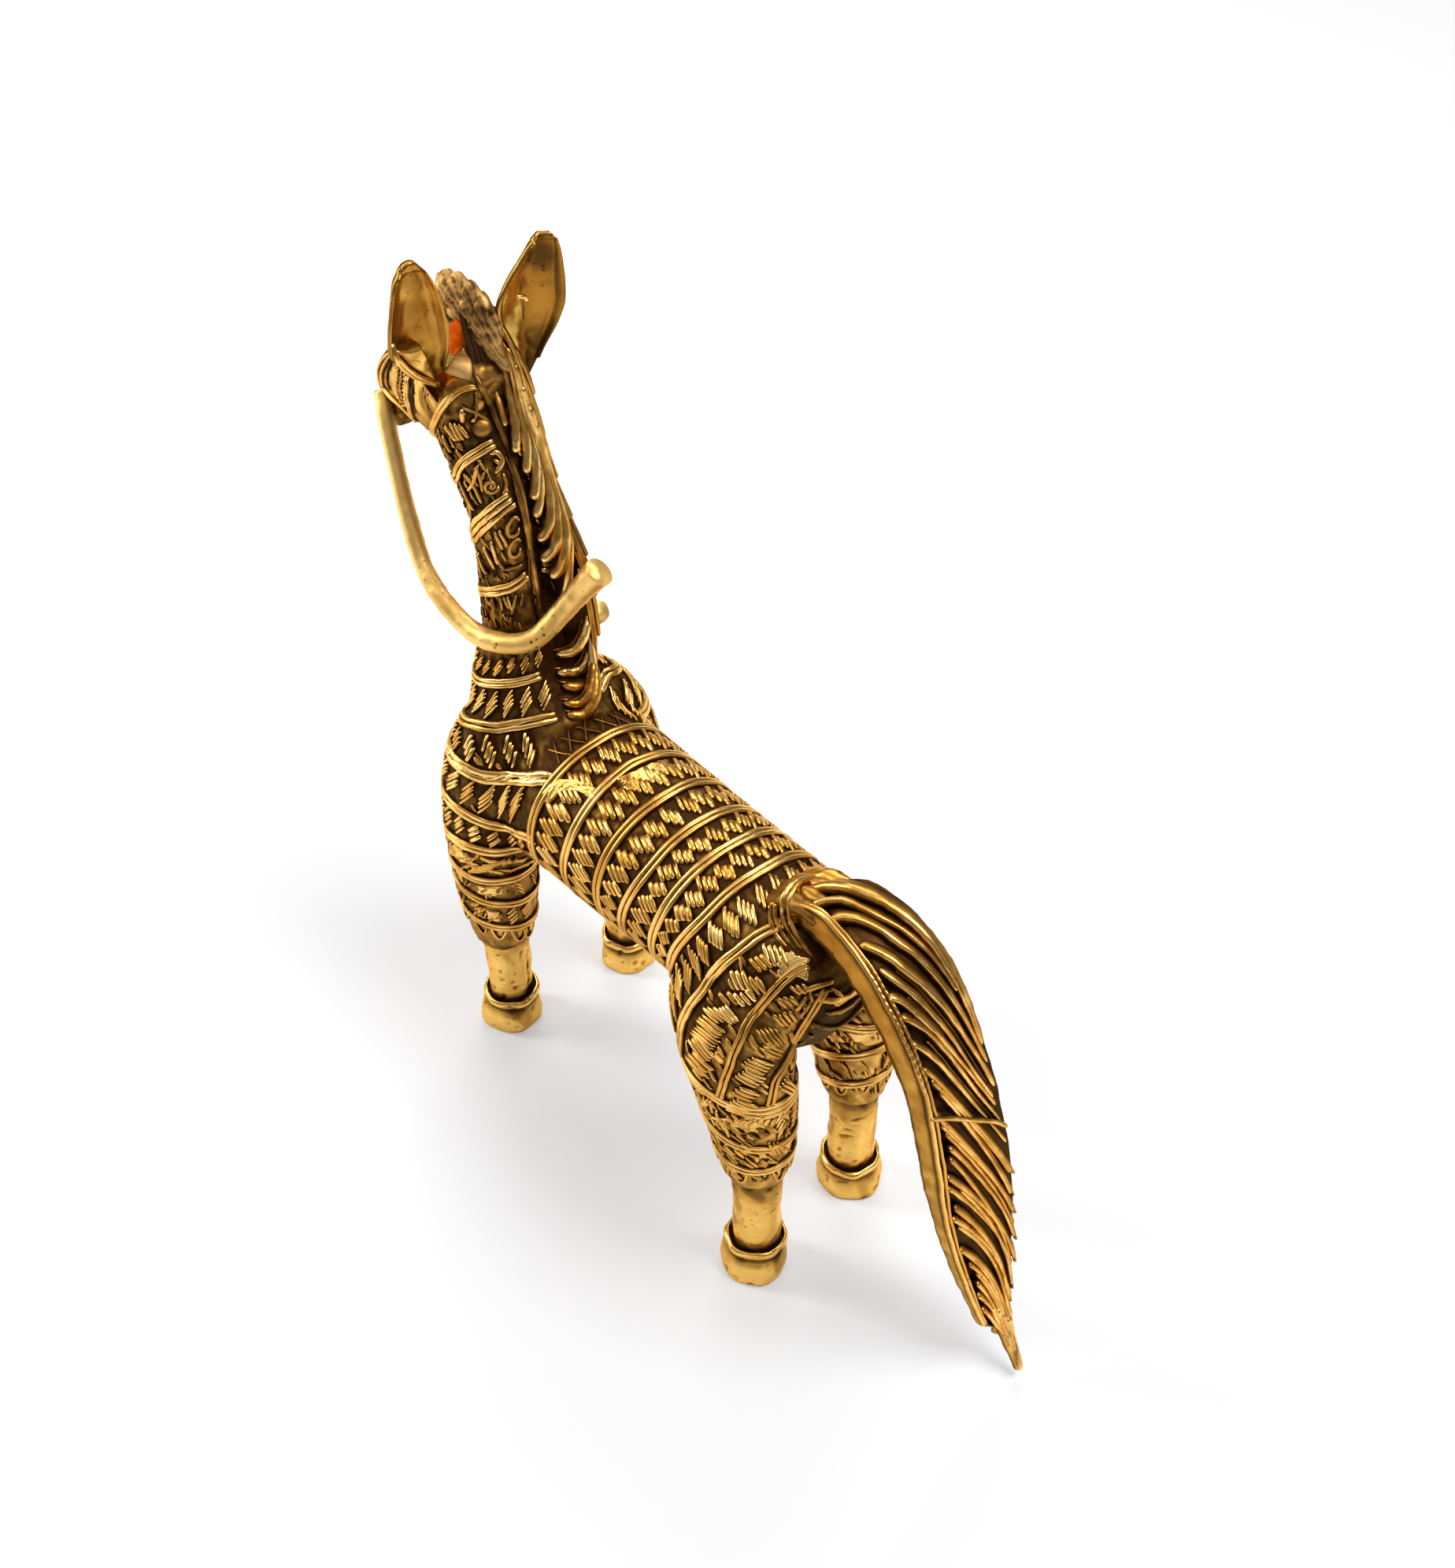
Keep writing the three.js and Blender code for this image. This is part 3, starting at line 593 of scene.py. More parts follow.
def plate(g, strip, u0, u1, v0, v1, h=0.7, tone=0.3, rub=0.95, seed=0, ragged=0.5, n=22, skin=None):
    """A blot of metal that ran together over the ground: a thin raised patch with an uneven edge."""
    a = np.linspace(0, 1, n)
    U, V = np.meshgrid(u0 + (u1 - u0) * a, v0 + (v1 - v0) * a, indexing="ij")
    ang = np.arctan2(2 * (V - v0) / (v1 - v0) - 1, 2 * (U - u0) / (u1 - u0) - 1)
    edge = ragged * 0.12 * wave(ang * 3.1, seed, ((1, 1), (2.7, 0.8), (6.3, 0.5)))
    pull = 1 + edge
    U = (u0 + u1) / 2 + (U - (u0 + u1) / 2) * pull
    V = (v0 + v1) / 2 + (V - (v0 + v1) / 2) * pull
    P, N = lay(strip.at(U, V), skin)
    x, y = np.meshgrid(2 * a - 1, 2 * a - 1, indexing="ij")
    rim = np.maximum(abs(x), abs(y))
    lift = h * np.clip((1 - rim) / 0.12, -0.4, 1) * (1 + 0.12 * wave(U * 1.3 + V * 9, seed + 1)) - 0.12
    top = P + N * lift[..., None]
    low = P - N * 0.5
    W = np.vstack([top.reshape(-1, 3), low.reshape(-1, 3)])
    i, j = np.arange(n - 1)[:, None], np.arange(n - 1)[None]
    q = np.stack([i * n + j, (i + 1) * n + j, (i + 1) * n + j + 1, i * n + j + 1], -1).reshape(-1, 4)
    edge_idx = np.r_[np.arange(n), np.arange(1, n) * n + n - 1, (n - 1) * n + np.arange(n - 2, -1, -1), np.arange(n - 2, 0, -1) * n]
    e2 = np.roll(edge_idx, -1)
    sides = np.stack([edge_idx, edge_idx + n * n, e2 + n * n, e2], -1)
    flip = (np.cross(P[1, 0] - P[0, 0], P[0, 1] - P[0, 0]) @ N[0, 0]) < 0
    quads = np.vstack([q, q[:, ::-1] + n * n, sides])
    if flip:
        quads = quads[:, ::-1]
    wear_and_shade = np.r_[(rub * np.clip((1 - rim) / 0.1, 0, 1)).ravel(), np.zeros(n * n)]
    g.add(W, wear_and_shade, tone, quads=quads)


def bead(g, c, n, r, h=None, tone=0.3, wear_and_shade=1.0, m=10, k=5):
    """A small dome on the skin."""
    h = h or r
    n = unit(n)
    a = unit(np.cross(n, [0.3, 0.9, 0.1]))
    b = np.cross(n, a)
    V, w = [], []
    for i in range(k):
        t = i / k * np.pi / 2
        ring = c + n * (h * np.sin(t)) - n * 0.15
        an = np.arange(m) / m * 2 * np.pi
        V += list(ring + (a[None] * np.cos(an)[:, None] + b[None] * np.sin(an)[:, None]) * r * np.cos(t))
        w += [wear_and_shade * min(1, 0.1 + 1.3 * i / k)] * m
    V.append(c + n * h - n * 0.15)
    w.append(wear_and_shade)
    i, j = np.arange(k - 1)[:, None], np.arange(m)[None]
    j2 = (j + 1) % m
    quads = np.stack([i * m + j, i * m + j2, (i + 1) * m + j2, (i + 1) * m + j], -1).reshape(-1, 4)
    jj = np.arange(m)
    tris = np.stack([(k - 1) * m + jj, (k - 1) * m + (jj + 1) % m, np.full(m, k * m)], -1)
    g.add(V, np.array(w), tone, quads=quads, tris=tris, caps=[np.arange(m)[::-1]])


def ring_line(table, cz, n=180, reach=60.0, shift=0.0, side="both"):
    """A closed line round the trunk: table is [(angle from the spine, s)], the same on both sides."""
    w = np.linspace(0, 2 * np.pi, n, endpoint=False)
    deg = np.degrees(np.minimum(w, 2 * np.pi - w))
    s = np.interp(deg, [t[0] for t in table], [t[1] for t in table])
    k = np.ones(9) / 9
    s = np.convolve(np.r_[s[-4:], s, s[:4]], k, "valid")
    c = row(np.stack([s, np.zeros(n), np.full(n, cz)], -1))
    d = np.stack([np.sin(w), np.zeros(n), np.cos(w)], -1)
    hit = SKIN.cast(c + d * reach, -d)
    bad = np.isnan(hit[:, 0])
    hit[bad] = (c + d * 18)[bad]
    return hit


def level_line(centre, z_of, n=120, reach=40.0, a0=0.0):
    """A closed line round an upright limb: z_of(angle) is its height; angle 0 is ahead and 90 the left."""
    w = np.linspace(0, 2 * np.pi, n, endpoint=False) + a0
    z = np.array([z_of(a) for a in w])
    c = row(np.stack([np.full(n, centre[0]), np.full(n, centre[1]), z], -1))
    d = np.stack([np.sin(w), -np.cos(w), np.zeros(n)], -1)
    hit = SKIN.cast(c + d * reach, -d)
    bad = np.isnan(hit[:, 0])
    hit[bad] = (c + d * 8)[bad]
    return hit


def mirror(P):
    """The same line on the horse's right side."""
    H = horse(P)
    H[..., 1] *= -1
    return row(H)


def mottle(P, size, seed, n=14):
    """Repeatable blotches in space, about -1 to 1, with features of that size."""
    r = np.random.default_rng(seed)
    k = unit(r.normal(size=(n, 3))) * (2 * np.pi / size) * r.uniform(0.45, 1.5, (n, 1))
    return np.sin(np.asarray(P) @ k.T + r.uniform(0, 6.28, n)).sum(-1) / math.sqrt(n / 2) / 1.4


def soft(x, a, b):
    t = np.clip((x - a) / (b - a), 0, 1)
    return t * t * (3 - 2 * t)


# ---------------------------------------------------------------- finishes
def metal(name, deep, mid, bright, amber=(0.62, 0.36, 0.10), rough=(0.62, 0.27), grain=0.5, pits=0.35, fine=1100.0, bump=0.35, cloud=0.22, shine=1.0, spec=0.25):
    """Cast brass under brown wax-and-oxide patina, rubbed bright where it stands proud; the same mark also carries
    painted shade, which darkens it like the patina.
    """
    m = bpy.data.materials.new(name)
    m.use_nodes = True
    t = m.node_tree
    t.nodes.clear()

    def node(kind, **kw):
        n = t.nodes.new(kind)
        for k, v in kw.items():
            setattr(n, k, v)
        return n

    def link(a, b):
        t.links.new(a, b)

    def math_(op, a, b=None, clamp=False):
        n = node("ShaderNodeMath", operation=op, use_clamp=clamp)
        for i, v in enumerate((a, b)):
            if v is None:
                continue
            if isinstance(v, (int, float)):
                n.inputs[i].default_value = v
            else:
                link(v, n.inputs[i])
        return n.outputs[0]

    def noise(scale, detail=4.0, rough_=0.55, dist=0.0):
        n = node("ShaderNodeTexNoise")
        link(coord.outputs["Object"], n.inputs["Vector"])
        n.inputs["Scale"].default_value = scale
        n.inputs["Detail"].default_value = detail
        n.inputs["Roughness"].default_value = rough_
        n.inputs["Distortion"].default_value = dist
        return n.outputs["Fac"]

    coord = node("ShaderNodeTexCoord")
    wear_and_shade = node("ShaderNodeAttribute", attribute_name="wear_and_shade").outputs["Fac"]
    tone = node("ShaderNodeAttribute", attribute_name="tone").outputs["Fac"]
    blot, mid_n, fine_n = noise(95, 3, 0.6, 0.4), noise(420, 4, 0.6), noise(fine, 3, 0.6)
    calm = math_("ADD", math_("MULTIPLY", soft_range(node, link, wear_and_shade, 0.0, 0.2), 0.75), 0.25)
    w = math_("MULTIPLY", math_("SUBTRACT", blot, 0.5), cloud * 2)
    w = math_("ADD", w, math_("MULTIPLY", math_("SUBTRACT", mid_n, 0.5), grain))
    w = math_("ADD", wear_and_shade, math_("MULTIPLY", w, calm))
    vor = node("ShaderNodeTexVoronoi", feature="F1")
    link(coord.outputs["Object"], vor.inputs["Vector"])
    vor.inputs["Scale"].default_value = 620
    pit = node("ShaderNodeMapRange", interpolation_type="SMOOTHSTEP")
    link(vor.outputs["Distance"], pit.inputs["Value"])
    pit.inputs["From Min"].default_value, pit.inputs["From Max"].default_value = 0.08, 0.30
    pit.inputs["To Min"].default_value, pit.inputs["To Max"].default_value = 1.0, 0.0
    pit_zone = node("ShaderNodeMapRange", interpolation_type="SMOOTHSTEP")
    link(noise(160, 2, 0.5), pit_zone.inputs["Value"])
    pit_zone.inputs["From Min"].default_value, pit_zone.inputs["From Max"].default_value = 0.52, 0.68
    pitting = math_("MULTIPLY", pit.outputs["Result"], pit_zone.outputs["Result"])
    w = math_("SUBTRACT", w, math_("MULTIPLY", pitting, pits), clamp=False)
    w = math_("MAXIMUM", math_("MINIMUM", w, 1.0), 0.0)

    ramp = node("ShaderNodeValToRGB")
    ramp.color_ramp.interpolation = "EASE"
    e = ramp.color_ramp.elements
    e[0].position, e[0].color = 0.02, (*deep, 1)
    e[1].position, e[1].color = 0.96, (*bright, 1)
    a = e.new(0.30)
    a.color = (*[0.55 * d + 0.33 * x for d, x in zip(deep, mid)], 1)
    b = e.new(0.62)
    b.color = (*mid, 1)
    link(w, ramp.inputs["Fac"])
    mix = node("ShaderNodeMix", data_type="RGBA", blend_type="MIX")
    amt = math_("MULTIPLY", tone, math_("MULTIPLY", soft_range(node, link, w, 0.25, 0.8), 0.75))
    link(amt, mix.inputs["Factor"])
    link(ramp.outputs["Color"], mix.inputs["A"])
    mix.inputs["B"].default_value = (*amber, 1)
    bs = node("ShaderNodeBsdfPrincipled")
    bs.inputs["Specular IOR Level"].default_value = spec
    bs.inputs["Specular Tint"].default_value = (1.0, 0.82, 0.56, 1)
    link(mix.outputs["Result"], bs.inputs["Base Color"])
    met = node("ShaderNodeMapRange")
    link(w, met.inputs["Value"])
    met.inputs["From Min"].default_value, met.inputs["From Max"].default_value = 0.0, 0.45
    met.inputs["To Min"].default_value, met.inputs["To Max"].default_value = 0.86 * shine, shine
    link(met.outputs["Result"], bs.inputs["Metallic"])
    ro = node("ShaderNodeMapRange")
    link(w, ro.inputs["Value"])
    ro.inputs["From Min"].default_value, ro.inputs["From Max"].default_value = 0.15, 0.9
    ro.inputs["To Min"].default_value, ro.inputs["To Max"].default_value = rough
    r2 = math_("ADD", ro.outputs["Result"], math_("MULTIPLY", math_("SUBTRACT", mid_n, 0.5), 0.22), clamp=True)
    link(r2, bs.inputs["Roughness"])
    h = math_("ADD", math_("MULTIPLY", fine_n, 0.35), math_("MULTIPLY", mid_n, 0.65))
    h = math_("SUBTRACT", h, math_("MULTIPLY", pitting, 0.8))
    bn = node("ShaderNodeBump")
    bn.inputs["Strength"].default_value = bump
    bn.inputs["Distance"].default_value = 0.00035
    link(h, bn.inputs["Height"])
    link(bn.outputs["Normal"], bs.inputs["Normal"])
    out = node("ShaderNodeOutputMaterial")
    link(bs.outputs["BSDF"], out.inputs["Surface"])
    return m


def soft_range(node, link, value, a, b):
    n = node("ShaderNodeMapRange", interpolation_type="SMOOTHSTEP")
    link(value, n.inputs["Value"])
    n.inputs["From Min"].default_value, n.inputs["From Max"].default_value = a, b
    return n.outputs["Result"]


DEEP = (0.036, 0.0125, 0.0022)
# on the body ground the dark end stands for its patina and also for the painted shade laid on it
GROUND = metal("patina_and_shade_ground", DEEP, (0.30, 0.152, 0.032), (0.80, 0.49, 0.125), amber=(0.54, 0.25, 0.040), rough=(0.56, 0.30), grain=0.45, cloud=0.3)
WIRE = metal("wire_brass", DEEP, (0.51, 0.252, 0.048), (0.91, 0.605, 0.200), amber=(0.66, 0.31, 0.048), rough=(0.50, 0.27), grain=0.26, cloud=0.24, bump=0.2)
SMOOTH = metal("polished_brass", (0.05, 0.022, 0.005), (0.48, 0.26, 0.050), (0.84, 0.525, 0.135), amber=(0.62, 0.33, 0.055), rough=(0.48, 0.27), grain=0.24, pits=0.5, bump=0.18, cloud=0.18)
AMBER = metal("amber_brass", (0.05, 0.020, 0.004), (0.25, 0.120, 0.020), (0.58, 0.34, 0.070), amber=(0.40, 0.170, 0.020), rough=(0.46, 0.27), grain=0.2, pits=0.3, bump=0.14, cloud=0.26)
PALE = metal("rein_brass", (0.09, 0.042, 0.009), (0.72, 0.45, 0.125), (0.95, 0.655, 0.235), amber=(0.70, 0.38, 0.075), rough=(0.60, 0.44), grain=0.26, pits=0.8, bump=0.25, cloud=0.30, shine=0.84)
DULL = metal("dull_brass", (0.060, 0.026, 0.007), (0.46, 0.262, 0.082), (0.78, 0.535, 0.215), amber=(0.50, 0.27, 0.07), rough=(0.66, 0.54), grain=0.34, pits=0.3, bump=0.35, cloud=0.34, shine=0.97)
ENAMEL = metal("red_paint", (0.12, 0.010, 0.001), (0.46, 0.040, 0.001), (0.66, 0.085, 0.002), amber=(0.60, 0.10, 0.002), rough=(0.62, 0.55), grain=0.2, pits=0.2, bump=0.3, cloud=0.3, shine=0.0, spec=0.03)

# ---------------------------------------------------------------- shanks and hooves
legs = Gather()
PROFILE = np.array([
    [0, 0, 0.3], [4, 0, 0.3], [7.0, 0, 0.35], [7.65, 0.25, 0.7], [7.92, 0.9, 0.92], [8.02, 2.0, 0.95], [7.98, 3.2, 0.95],
    [7.78, 4.4, 0.9], [7.45, 5.6, 0.85], [7.08, 6.7, 0.66], [6.8, 7.5, 0.3], [6.72, 8.0, 0.06], [6.84, 8.4, 0.22],
    [7.14, 8.8, 0.7], [7.36, 9.4, 0.95], [7.38, 10.0, 1.0], [7.2, 10.6, 1.0], [6.86, 11.0, 0.9], [6.5, 11.0, 0.6],
    [6.3, 10.6, 0.25], [6.2, 9.9, 0.05], [6.0, 9.3, 0.0], [5.72, 9.5, 0.0], [5.6, 10.4, 0.18], [5.58, 11.6, 0.6], [5.6, 13.4, 0.85],
    [5.62, 16, 0.92], [5.6, 19, 0.92], [5.62, 22, 0.92], [5.68, 25, 0.92], [5.75, 28, 0.88], [5.8, 31, 0.7], [5.85, 34, 0.4], [5.85, 37, 0.2],
    [5.85, 41, 0.1], [0, 41, 0.1],
])


def hoof(name, seed):
    s, l = FEET[name]
    k = HOOF_R[name] / 8.02
    m = 72
    a = np.arange(m) / m * 2 * np.pi
    prof = evenly(PROFILE[1:-1], 84, smooth=False)
    r, z, wr = prof.T
    low = soft(-z, -8.6, -5)  # the cup below the rim
    scale = np.where(z < 11.2, k, 1 + (k - 1) * soft(-z, -15, -11))
    x = np.array([0.45, 0, 0]) if name[1] == "l" else np.array([-0.35, 0, 0])
    R = r[:, None] * scale[:, None] * np.ones(m)
    rg = np.random.default_rng(seed)
    ph = rg.uniform(0, 6.28, 6)
    facets = 0.022 * np.cos(5 * a + ph[0]) + 0.016 * np.cos(3 * a + ph[1]) + 0.008 * np.cos(8 * a + ph[2])
    R *= 1 + low[:, None] * facets[None]
    rim = np.exp(-(((z - 10) / 1.1) ** 2))[:, None] * (r > 6.4)[:, None]
    R += rim * (0.28 * wave(a * 2.0, seed + 2)[None] + 0.16 * np.cos(6 * a + ph[3])[None])
    zz = z[:, None] + rim * 0.3 * wave(a * 1.4 + 2, seed + 4)[None] + low[:, None] * 0
    C = row([s, l, 0.0])
    bend = np.exp(-(((z - 22) / 9) ** 2))
    V = np.stack([
        C[0] + R * np.sin(a) + x[0] * low[:, None],
        C[1] - R * np.cos(a) + 0.25 * bend[:, None],
        np.broadcast_to(zz, R.shape),
    ], -1)
    out = np.stack([np.sin(a), -np.cos(a), np.zeros(m)], -1)[None]
    dent = 0.16 * mottle(V, 9, seed + 10) + 0.06 * mottle(V, 3.1, seed + 11)
    pit = soft(mottle(V, 2.6, seed + 12), 1.05, 1.5) * (z > 0.8)[:, None]
    V = V + out * ((dent * (z > 0.3)[:, None]) - 0.35 * pit)[..., None]
    V[..., 2] = np.maximum(V[..., 2], 0)
    W = wr[:, None] * np.ones(m)
    dark = soft(mottle(V, 7.5, seed + 13), 0.55, 1.3)
    W = W - 0.28 * dark * (W > 0.2) - 0.5 * pit
    if name == "fl":  # a dark line runs up behind the shank and the rim has a gap on that side
        d = (a - np.radians(205) + np.pi) % (2 * np.pi) - np.pi
        streak = np.exp(-((d / 0.10) ** 2))[None] * soft(z, 10, 12)[:, None] * soft(-z, -27, -22)[:, None]
        V = V - out * (0.35 * streak * (1 + 0.5 * mottle(V, 2, 77)))[..., None]
        W = W - 0.95 * streak * (0.75 + 0.4 * mottle(V, 2.3, 78))
        d2 = (a - np.radians(214) + np.pi) % (2 * np.pi) - np.pi
        W = W - 0.8 * np.exp(-((d2 / 0.5) ** 2))[None] * ((z > 8.8) & (z < 13) & (r < 6.7))[:, None]
    n = len(r)
    i, j = np.arange(n - 1)[:, None], np.arange(m)[None]
    j2 = (j + 1) % m
    quads = np.stack([i * m + j, i * m + j2, (i + 1) * m + j2, (i + 1) * m + j], -1).reshape(-1, 4)
    legs.add(V.reshape(-1, 3), np.clip(W, 0, 1).ravel(), (0.25 + 0.15 * mottle(V, 12, seed + 14)).ravel(), quads=quads,
             caps=[np.arange(m)[::-1], (n - 1) * m + np.arange(m)])


for k, name in enumerate(FEET):
    hoof(name, 100 + 20 * k)
build("shanks_hooves", legs, SMOOTH)

# ---------------------------------------------------------------- bands and lozenges of the trunk
TRUNK = {
    "b1": [(0, 26.5), (40, 27), (75, 27.8), (110, 28.2), (180, 29)],
    "b2": [(0, 15.2), (60, 14.5), (100, 15.6), (180, 16.5)],
    "b3": [(0, 1.8), (50, 2.8), (90, 3.5), (120, 3), (180, 4)],
    "b4": [(0, -10), (45, -9.5), (65, -8), (90, -5.8), (115, -4), (180, -2.5)],
    "b5": [(0, -20.2), (45, -18.9), (65, -18), (90, -16.4), (110, -15.6), (180, -14)],
    "b6": [(0, -30.2), (45, -28.8), (65, -26), (80, -24), (110, -21), (180, -19)],
}
LINE = {k: ring_line(v, 85.0) for k, v in TRUNK.items()}


def both_sides(left):
    """An open line over the spine from the left end to the right: left is given from the spine down."""
    P = row(left)
    R = mirror(P)
    return np.vstack([P[::-1], R[1:] if abs(left[0][1]) < 0.5 else R])


LINE["b7"] = both_sides([
    (-45, 0, 106.2), (-43.9, 6.7, 105.4), (-41.7, 11.2, 102.3), (-40.2, 14.8, 99), (-37.2, 17.8, 92.3),
    (-36.3, 21.3, 87.5), (-34, 23.9, 78.5), (-33.6, 25.1, 71), (-33, 23, 66), (-31.5, 16, 64.5), (-30.5, 9, 66.5),
])
B8 = [(-53.1, 6.5, 101), (-51.9, 11.1, 99.3), (-50.8, 15.2, 94.9), (-49.5, 18.5, 89.6), (-49.7, 21.2, 85.4), (-49.7, 24, 79), (-48.4, 26.1, 67.9)]
B9 = [(-57, 5.1, 95.9), (-57, 7.2, 93.9), (-56.2, 10.1, 88), (-54.4, 12, 81.6), (-56.5, 17.7, 76.8), (-56.6, 19.7, 68.5)]

bands = Gather()
for k, name in enumerate(TRUNK):
    band(bands, LINE[name], closed=True, seed=200 + 11 * k)
band(bands, LINE["b7"], seed=290)
for k, (P, sd) in enumerate(((row(B8), 300), (mirror(row(B8)), 305), (row(B9), 310), (mirror(row(B9)), 315))):
    band(bands, P, seed=sd, w=0.47, gap=0.54, rub=0.74, tone=0.55)


def hoop(z_table, centre=(42, 0), a0=-130, a1=130, n=120, reach=45.0):
    """An open line round the front of the horse: (angle from ahead, z), the same on both sides."""
    w = np.radians(np.linspace(a0, a1, n))
    z = np.interp(np.degrees(np.abs(w)), [t[0] for t in z_table], [t[1] for t in z_table])
    z = np.convolve(np.r_[[z[0]] * 4, z, [z[-1]] * 4], np.ones(9) / 9, "valid")
    c = row(np.stack([np.full(n, centre[0]), np.full(n, centre[1]), z], -1))
    d = np.stack([np.sin(w), -np.cos(w), np.zeros(n)], -1)
    hit = SKIN.cast(c + d * reach, -d)
    bad = np.isnan(hit[:, 0])
    hit[bad] = (c + d * 18)[bad]
    return hit


def cuff(name, z_of, centre, n=96, reach=15.0):
    """A closed line round one leg."""
    return level_line(centre, z_of, n=n, reach=reach)


N2 = hoop([(0, 90.5), (50, 91.2), (69, 91.8), (86, 91.8), (93, 91.5), (108, 93.5), (123, 95.6), (135, 97.9)], a0=-135, a1=135)
N3 = hoop([(0, 80), (60, 80.3), (73, 80.4), (83, 80.6), (90, 79.4), (97, 77.8), (111, 79.8), (122, 82.3), (128, 84)], a0=-127, a1=127)
N4 = hoop([(0, 69), (60, 69.2), (69, 69.4), (79, 70.7), (84, 71), (91, 70.6), (99, 70), (112, 71), (127, 76.1)], a0=-127, a1=127)
N1 = np.vstack([
    hoop([(0, 96), (45, 96.4), (58, 97), (80, 100.2), (95, 101.6), (108, 102.1)], centre=(50, 0), a0=-106, a1=106, reach=30),
    row([(43.4, 11.4, 102.2), (41.3, 8.4, 102.9), (39.3, 5.4, 103.8), (38.2, 0, 104.2), (39.3, -5.4, 103.8), (41.3, -8.4, 102.9), (43.4, -11.4, 102.2)]),
])


def opened(P, gap):
    """The closed line P without the stretch where gap(s, l) holds."""
    P = evenly(np.vstack([P, P[:1]]), 261, smooth=False)[:-1]
    q = horse(P)
    out = gap(q[:, 0], q[:, 1])
    i = next(i for i in range(len(P)) if out[i] and not out[(i + 1) % len(P)])
    return np.roll(P, -(i + 1), axis=0)[: len(P) - int(out.sum())]


band(bands, opened(N1, lambda s, l: (s < 46) & (l < 3.6) & (l > -7.5)), seed=330)
band(bands, N2, seed=331, w=0.84, gap=0.88, h=0.9)
band(bands, N3, seed=332)
band(bands, N4, seed=333)

CUFFS = {}
for side, sg in (("l", 1), ("r", -1)):
    s, l = FEET["f" + side]
    CUFFS["f" + side] = [
        cuff("f", lambda a: 60 + 0 * a, (s + 0.8, l + 0.4 * sg)),
        cuff("f", lambda a, sg=sg: 51.6 + 2.2 * math.cos(a - sg * math.radians(60)), (s + 0.4, l + 0.5 * sg)),
        cuff("f", lambda a, sg=sg: 42.4 + 2.8 * math.cos(a - sg * math.radians(60)), (s + 0.1, l + 0.5 * sg)),
    ]
s, l = FEET["rl"]
CUFFS["rl"] = [
    cuff("r", lambda a: 67 - 0.8 * math.cos(a), (s + 5.2, l)),
    cuff("r", lambda a: 54 + 1.2 * math.cos(a - math.radians(60)), (s + 2.3, l)),
    cuff("r", lambda a: 45.8 + 0.2 * math.cos(a), (s + 0.8, l)),
]
s, l = FEET["rr"]
CUFFS["rr"] = [
    cuff("r", lambda a: 66, (s + 5.2, l)),
    cuff("r", lambda a: 53.3 + 4.4 * math.cos(a - math.radians(186)), (s + 2.3, l)),
    cuff("r", lambda a: 44.4 + 2.9 * math.cos(a - math.radians(186)), (s + 0.8, l)),
]
for name, rings in CUFFS.items():
    for k, P in enumerate(rings):
        band(bands, P, closed=True, seed=340 + 7 * k + ord(name[1]) + ord(name[0]), h=0.75, w=0.56, gap=0.60, rub=0.95)

NECK_RINGS = {  # height at the throat, then the left half up to the crest
    "k2": (155.0, [(64.5, 8.4, 157.9), (62.6, 8.2, 162.7), (60.8, 6.6, 166.1), (59, 3.5, 168.4), (58.1, 0, 169.2)]),
    "k3": (140.5, [(61.2, 7.4, 144), (58.1, 7.5, 149.1), (55.8, 6.1, 153), (54.5, 3.7, 155.6), (53.4, 0, 157.6)]),
    "k4": (127.5, [(59.8, 7.6, 129.3), (54.8, 7.5, 132.8), (52, 5, 134.6), (50.2, 2.2, 137.5), (49.6, 0, 138.4)]),
    "k5": (104.6, [(59.4, 11.8, 106.6), (55, 11.7, 108), (49.9, 10.7, 110.2), (47.7, 7.7, 111.1), (45.8, 4.6, 112.1), (44.2, 0, 112.8)]),
}


def ring_about(half, z0, c_of, n=110, reach=26.0):
    """A closed line round an upright part through measured points of its left half; c_of(z) is the part's middle."""
    half = np.array(half, float)
    ang = np.degrees([math.atan2(p[1], p[0] - c_of(p[2])) for p in half])
    order_ = np.argsort(ang)
    ang, zz = np.r_[0, 25, ang[order_], 180], np.r_[z0, z0 + 0.15 * (half[order_[0], 2] - z0), half[order_, 2], half[order_[-1], 2]]
    w = np.linspace(0, 2 * np.pi, n, endpoint=False)
    z = np.interp(np.degrees(np.minimum(w, 2 * np.pi - w)), ang, zz)
    z = np.convolve(np.r_[z[-3:], z, z[:3]], np.ones(7) / 7, "valid")
    c = row(np.stack([np.array([c_of(v) for v in z]), np.zeros(n), z], -1))
    d = np.stack([np.sin(w), -np.cos(w), np.zeros(n)], -1)
    hit = SKIN.cast(c + d * reach, -d)
    bad = np.isnan(hit[:, 0])
    hit[bad] = (c + d * 9)[bad]
    return hit


def neck_middle(z):
    return float(np.interp(z, [r[2] for r in NECK], [r[0] for r in NECK]))


NK = {}
for k, (name, (z0, half)) in enumerate(NECK_RINGS.items()):
    NK[name] = ring_about(half, z0, neck_middle)
    q_ = horse(NK[name])
    front = 1 - soft(-np.abs(q_[:, 1]), -2.6, -1.0) * (q_[:, 0] < 58)
    keep_ = np.roll(np.arange(len(q_)), len(q_) // 2)
    q2 = NK[name][keep_][front[keep_] > 0.5] if name != "k5" else opened(NK[name], lambda s, l: (s < 50) & (l < 3.4) & (l > -8.0))
    band(bands, q2, seed=380 + 9 * k, w=0.62 if name in ("k3", "k4") else 0.55, gap=0.68 if name in ("k3", "k4") else 0.6, h=0.95, count=3 if name == "k3" else 2)
build("bands", bands, WIRE)

loz = Gather()
order = ["b1", "b2", "b3", "b4", "b5", "b6"]


def trunk_lean(strip):
    """Lozenges stand more upright on the flanks than on the back."""
    def f(u):
        side = soft(min(u, strip.L - u) / strip.L * 360, 25, 80)
        return 0.38 + 0.24 * side, -0.70 + 0.10 * side
    return f


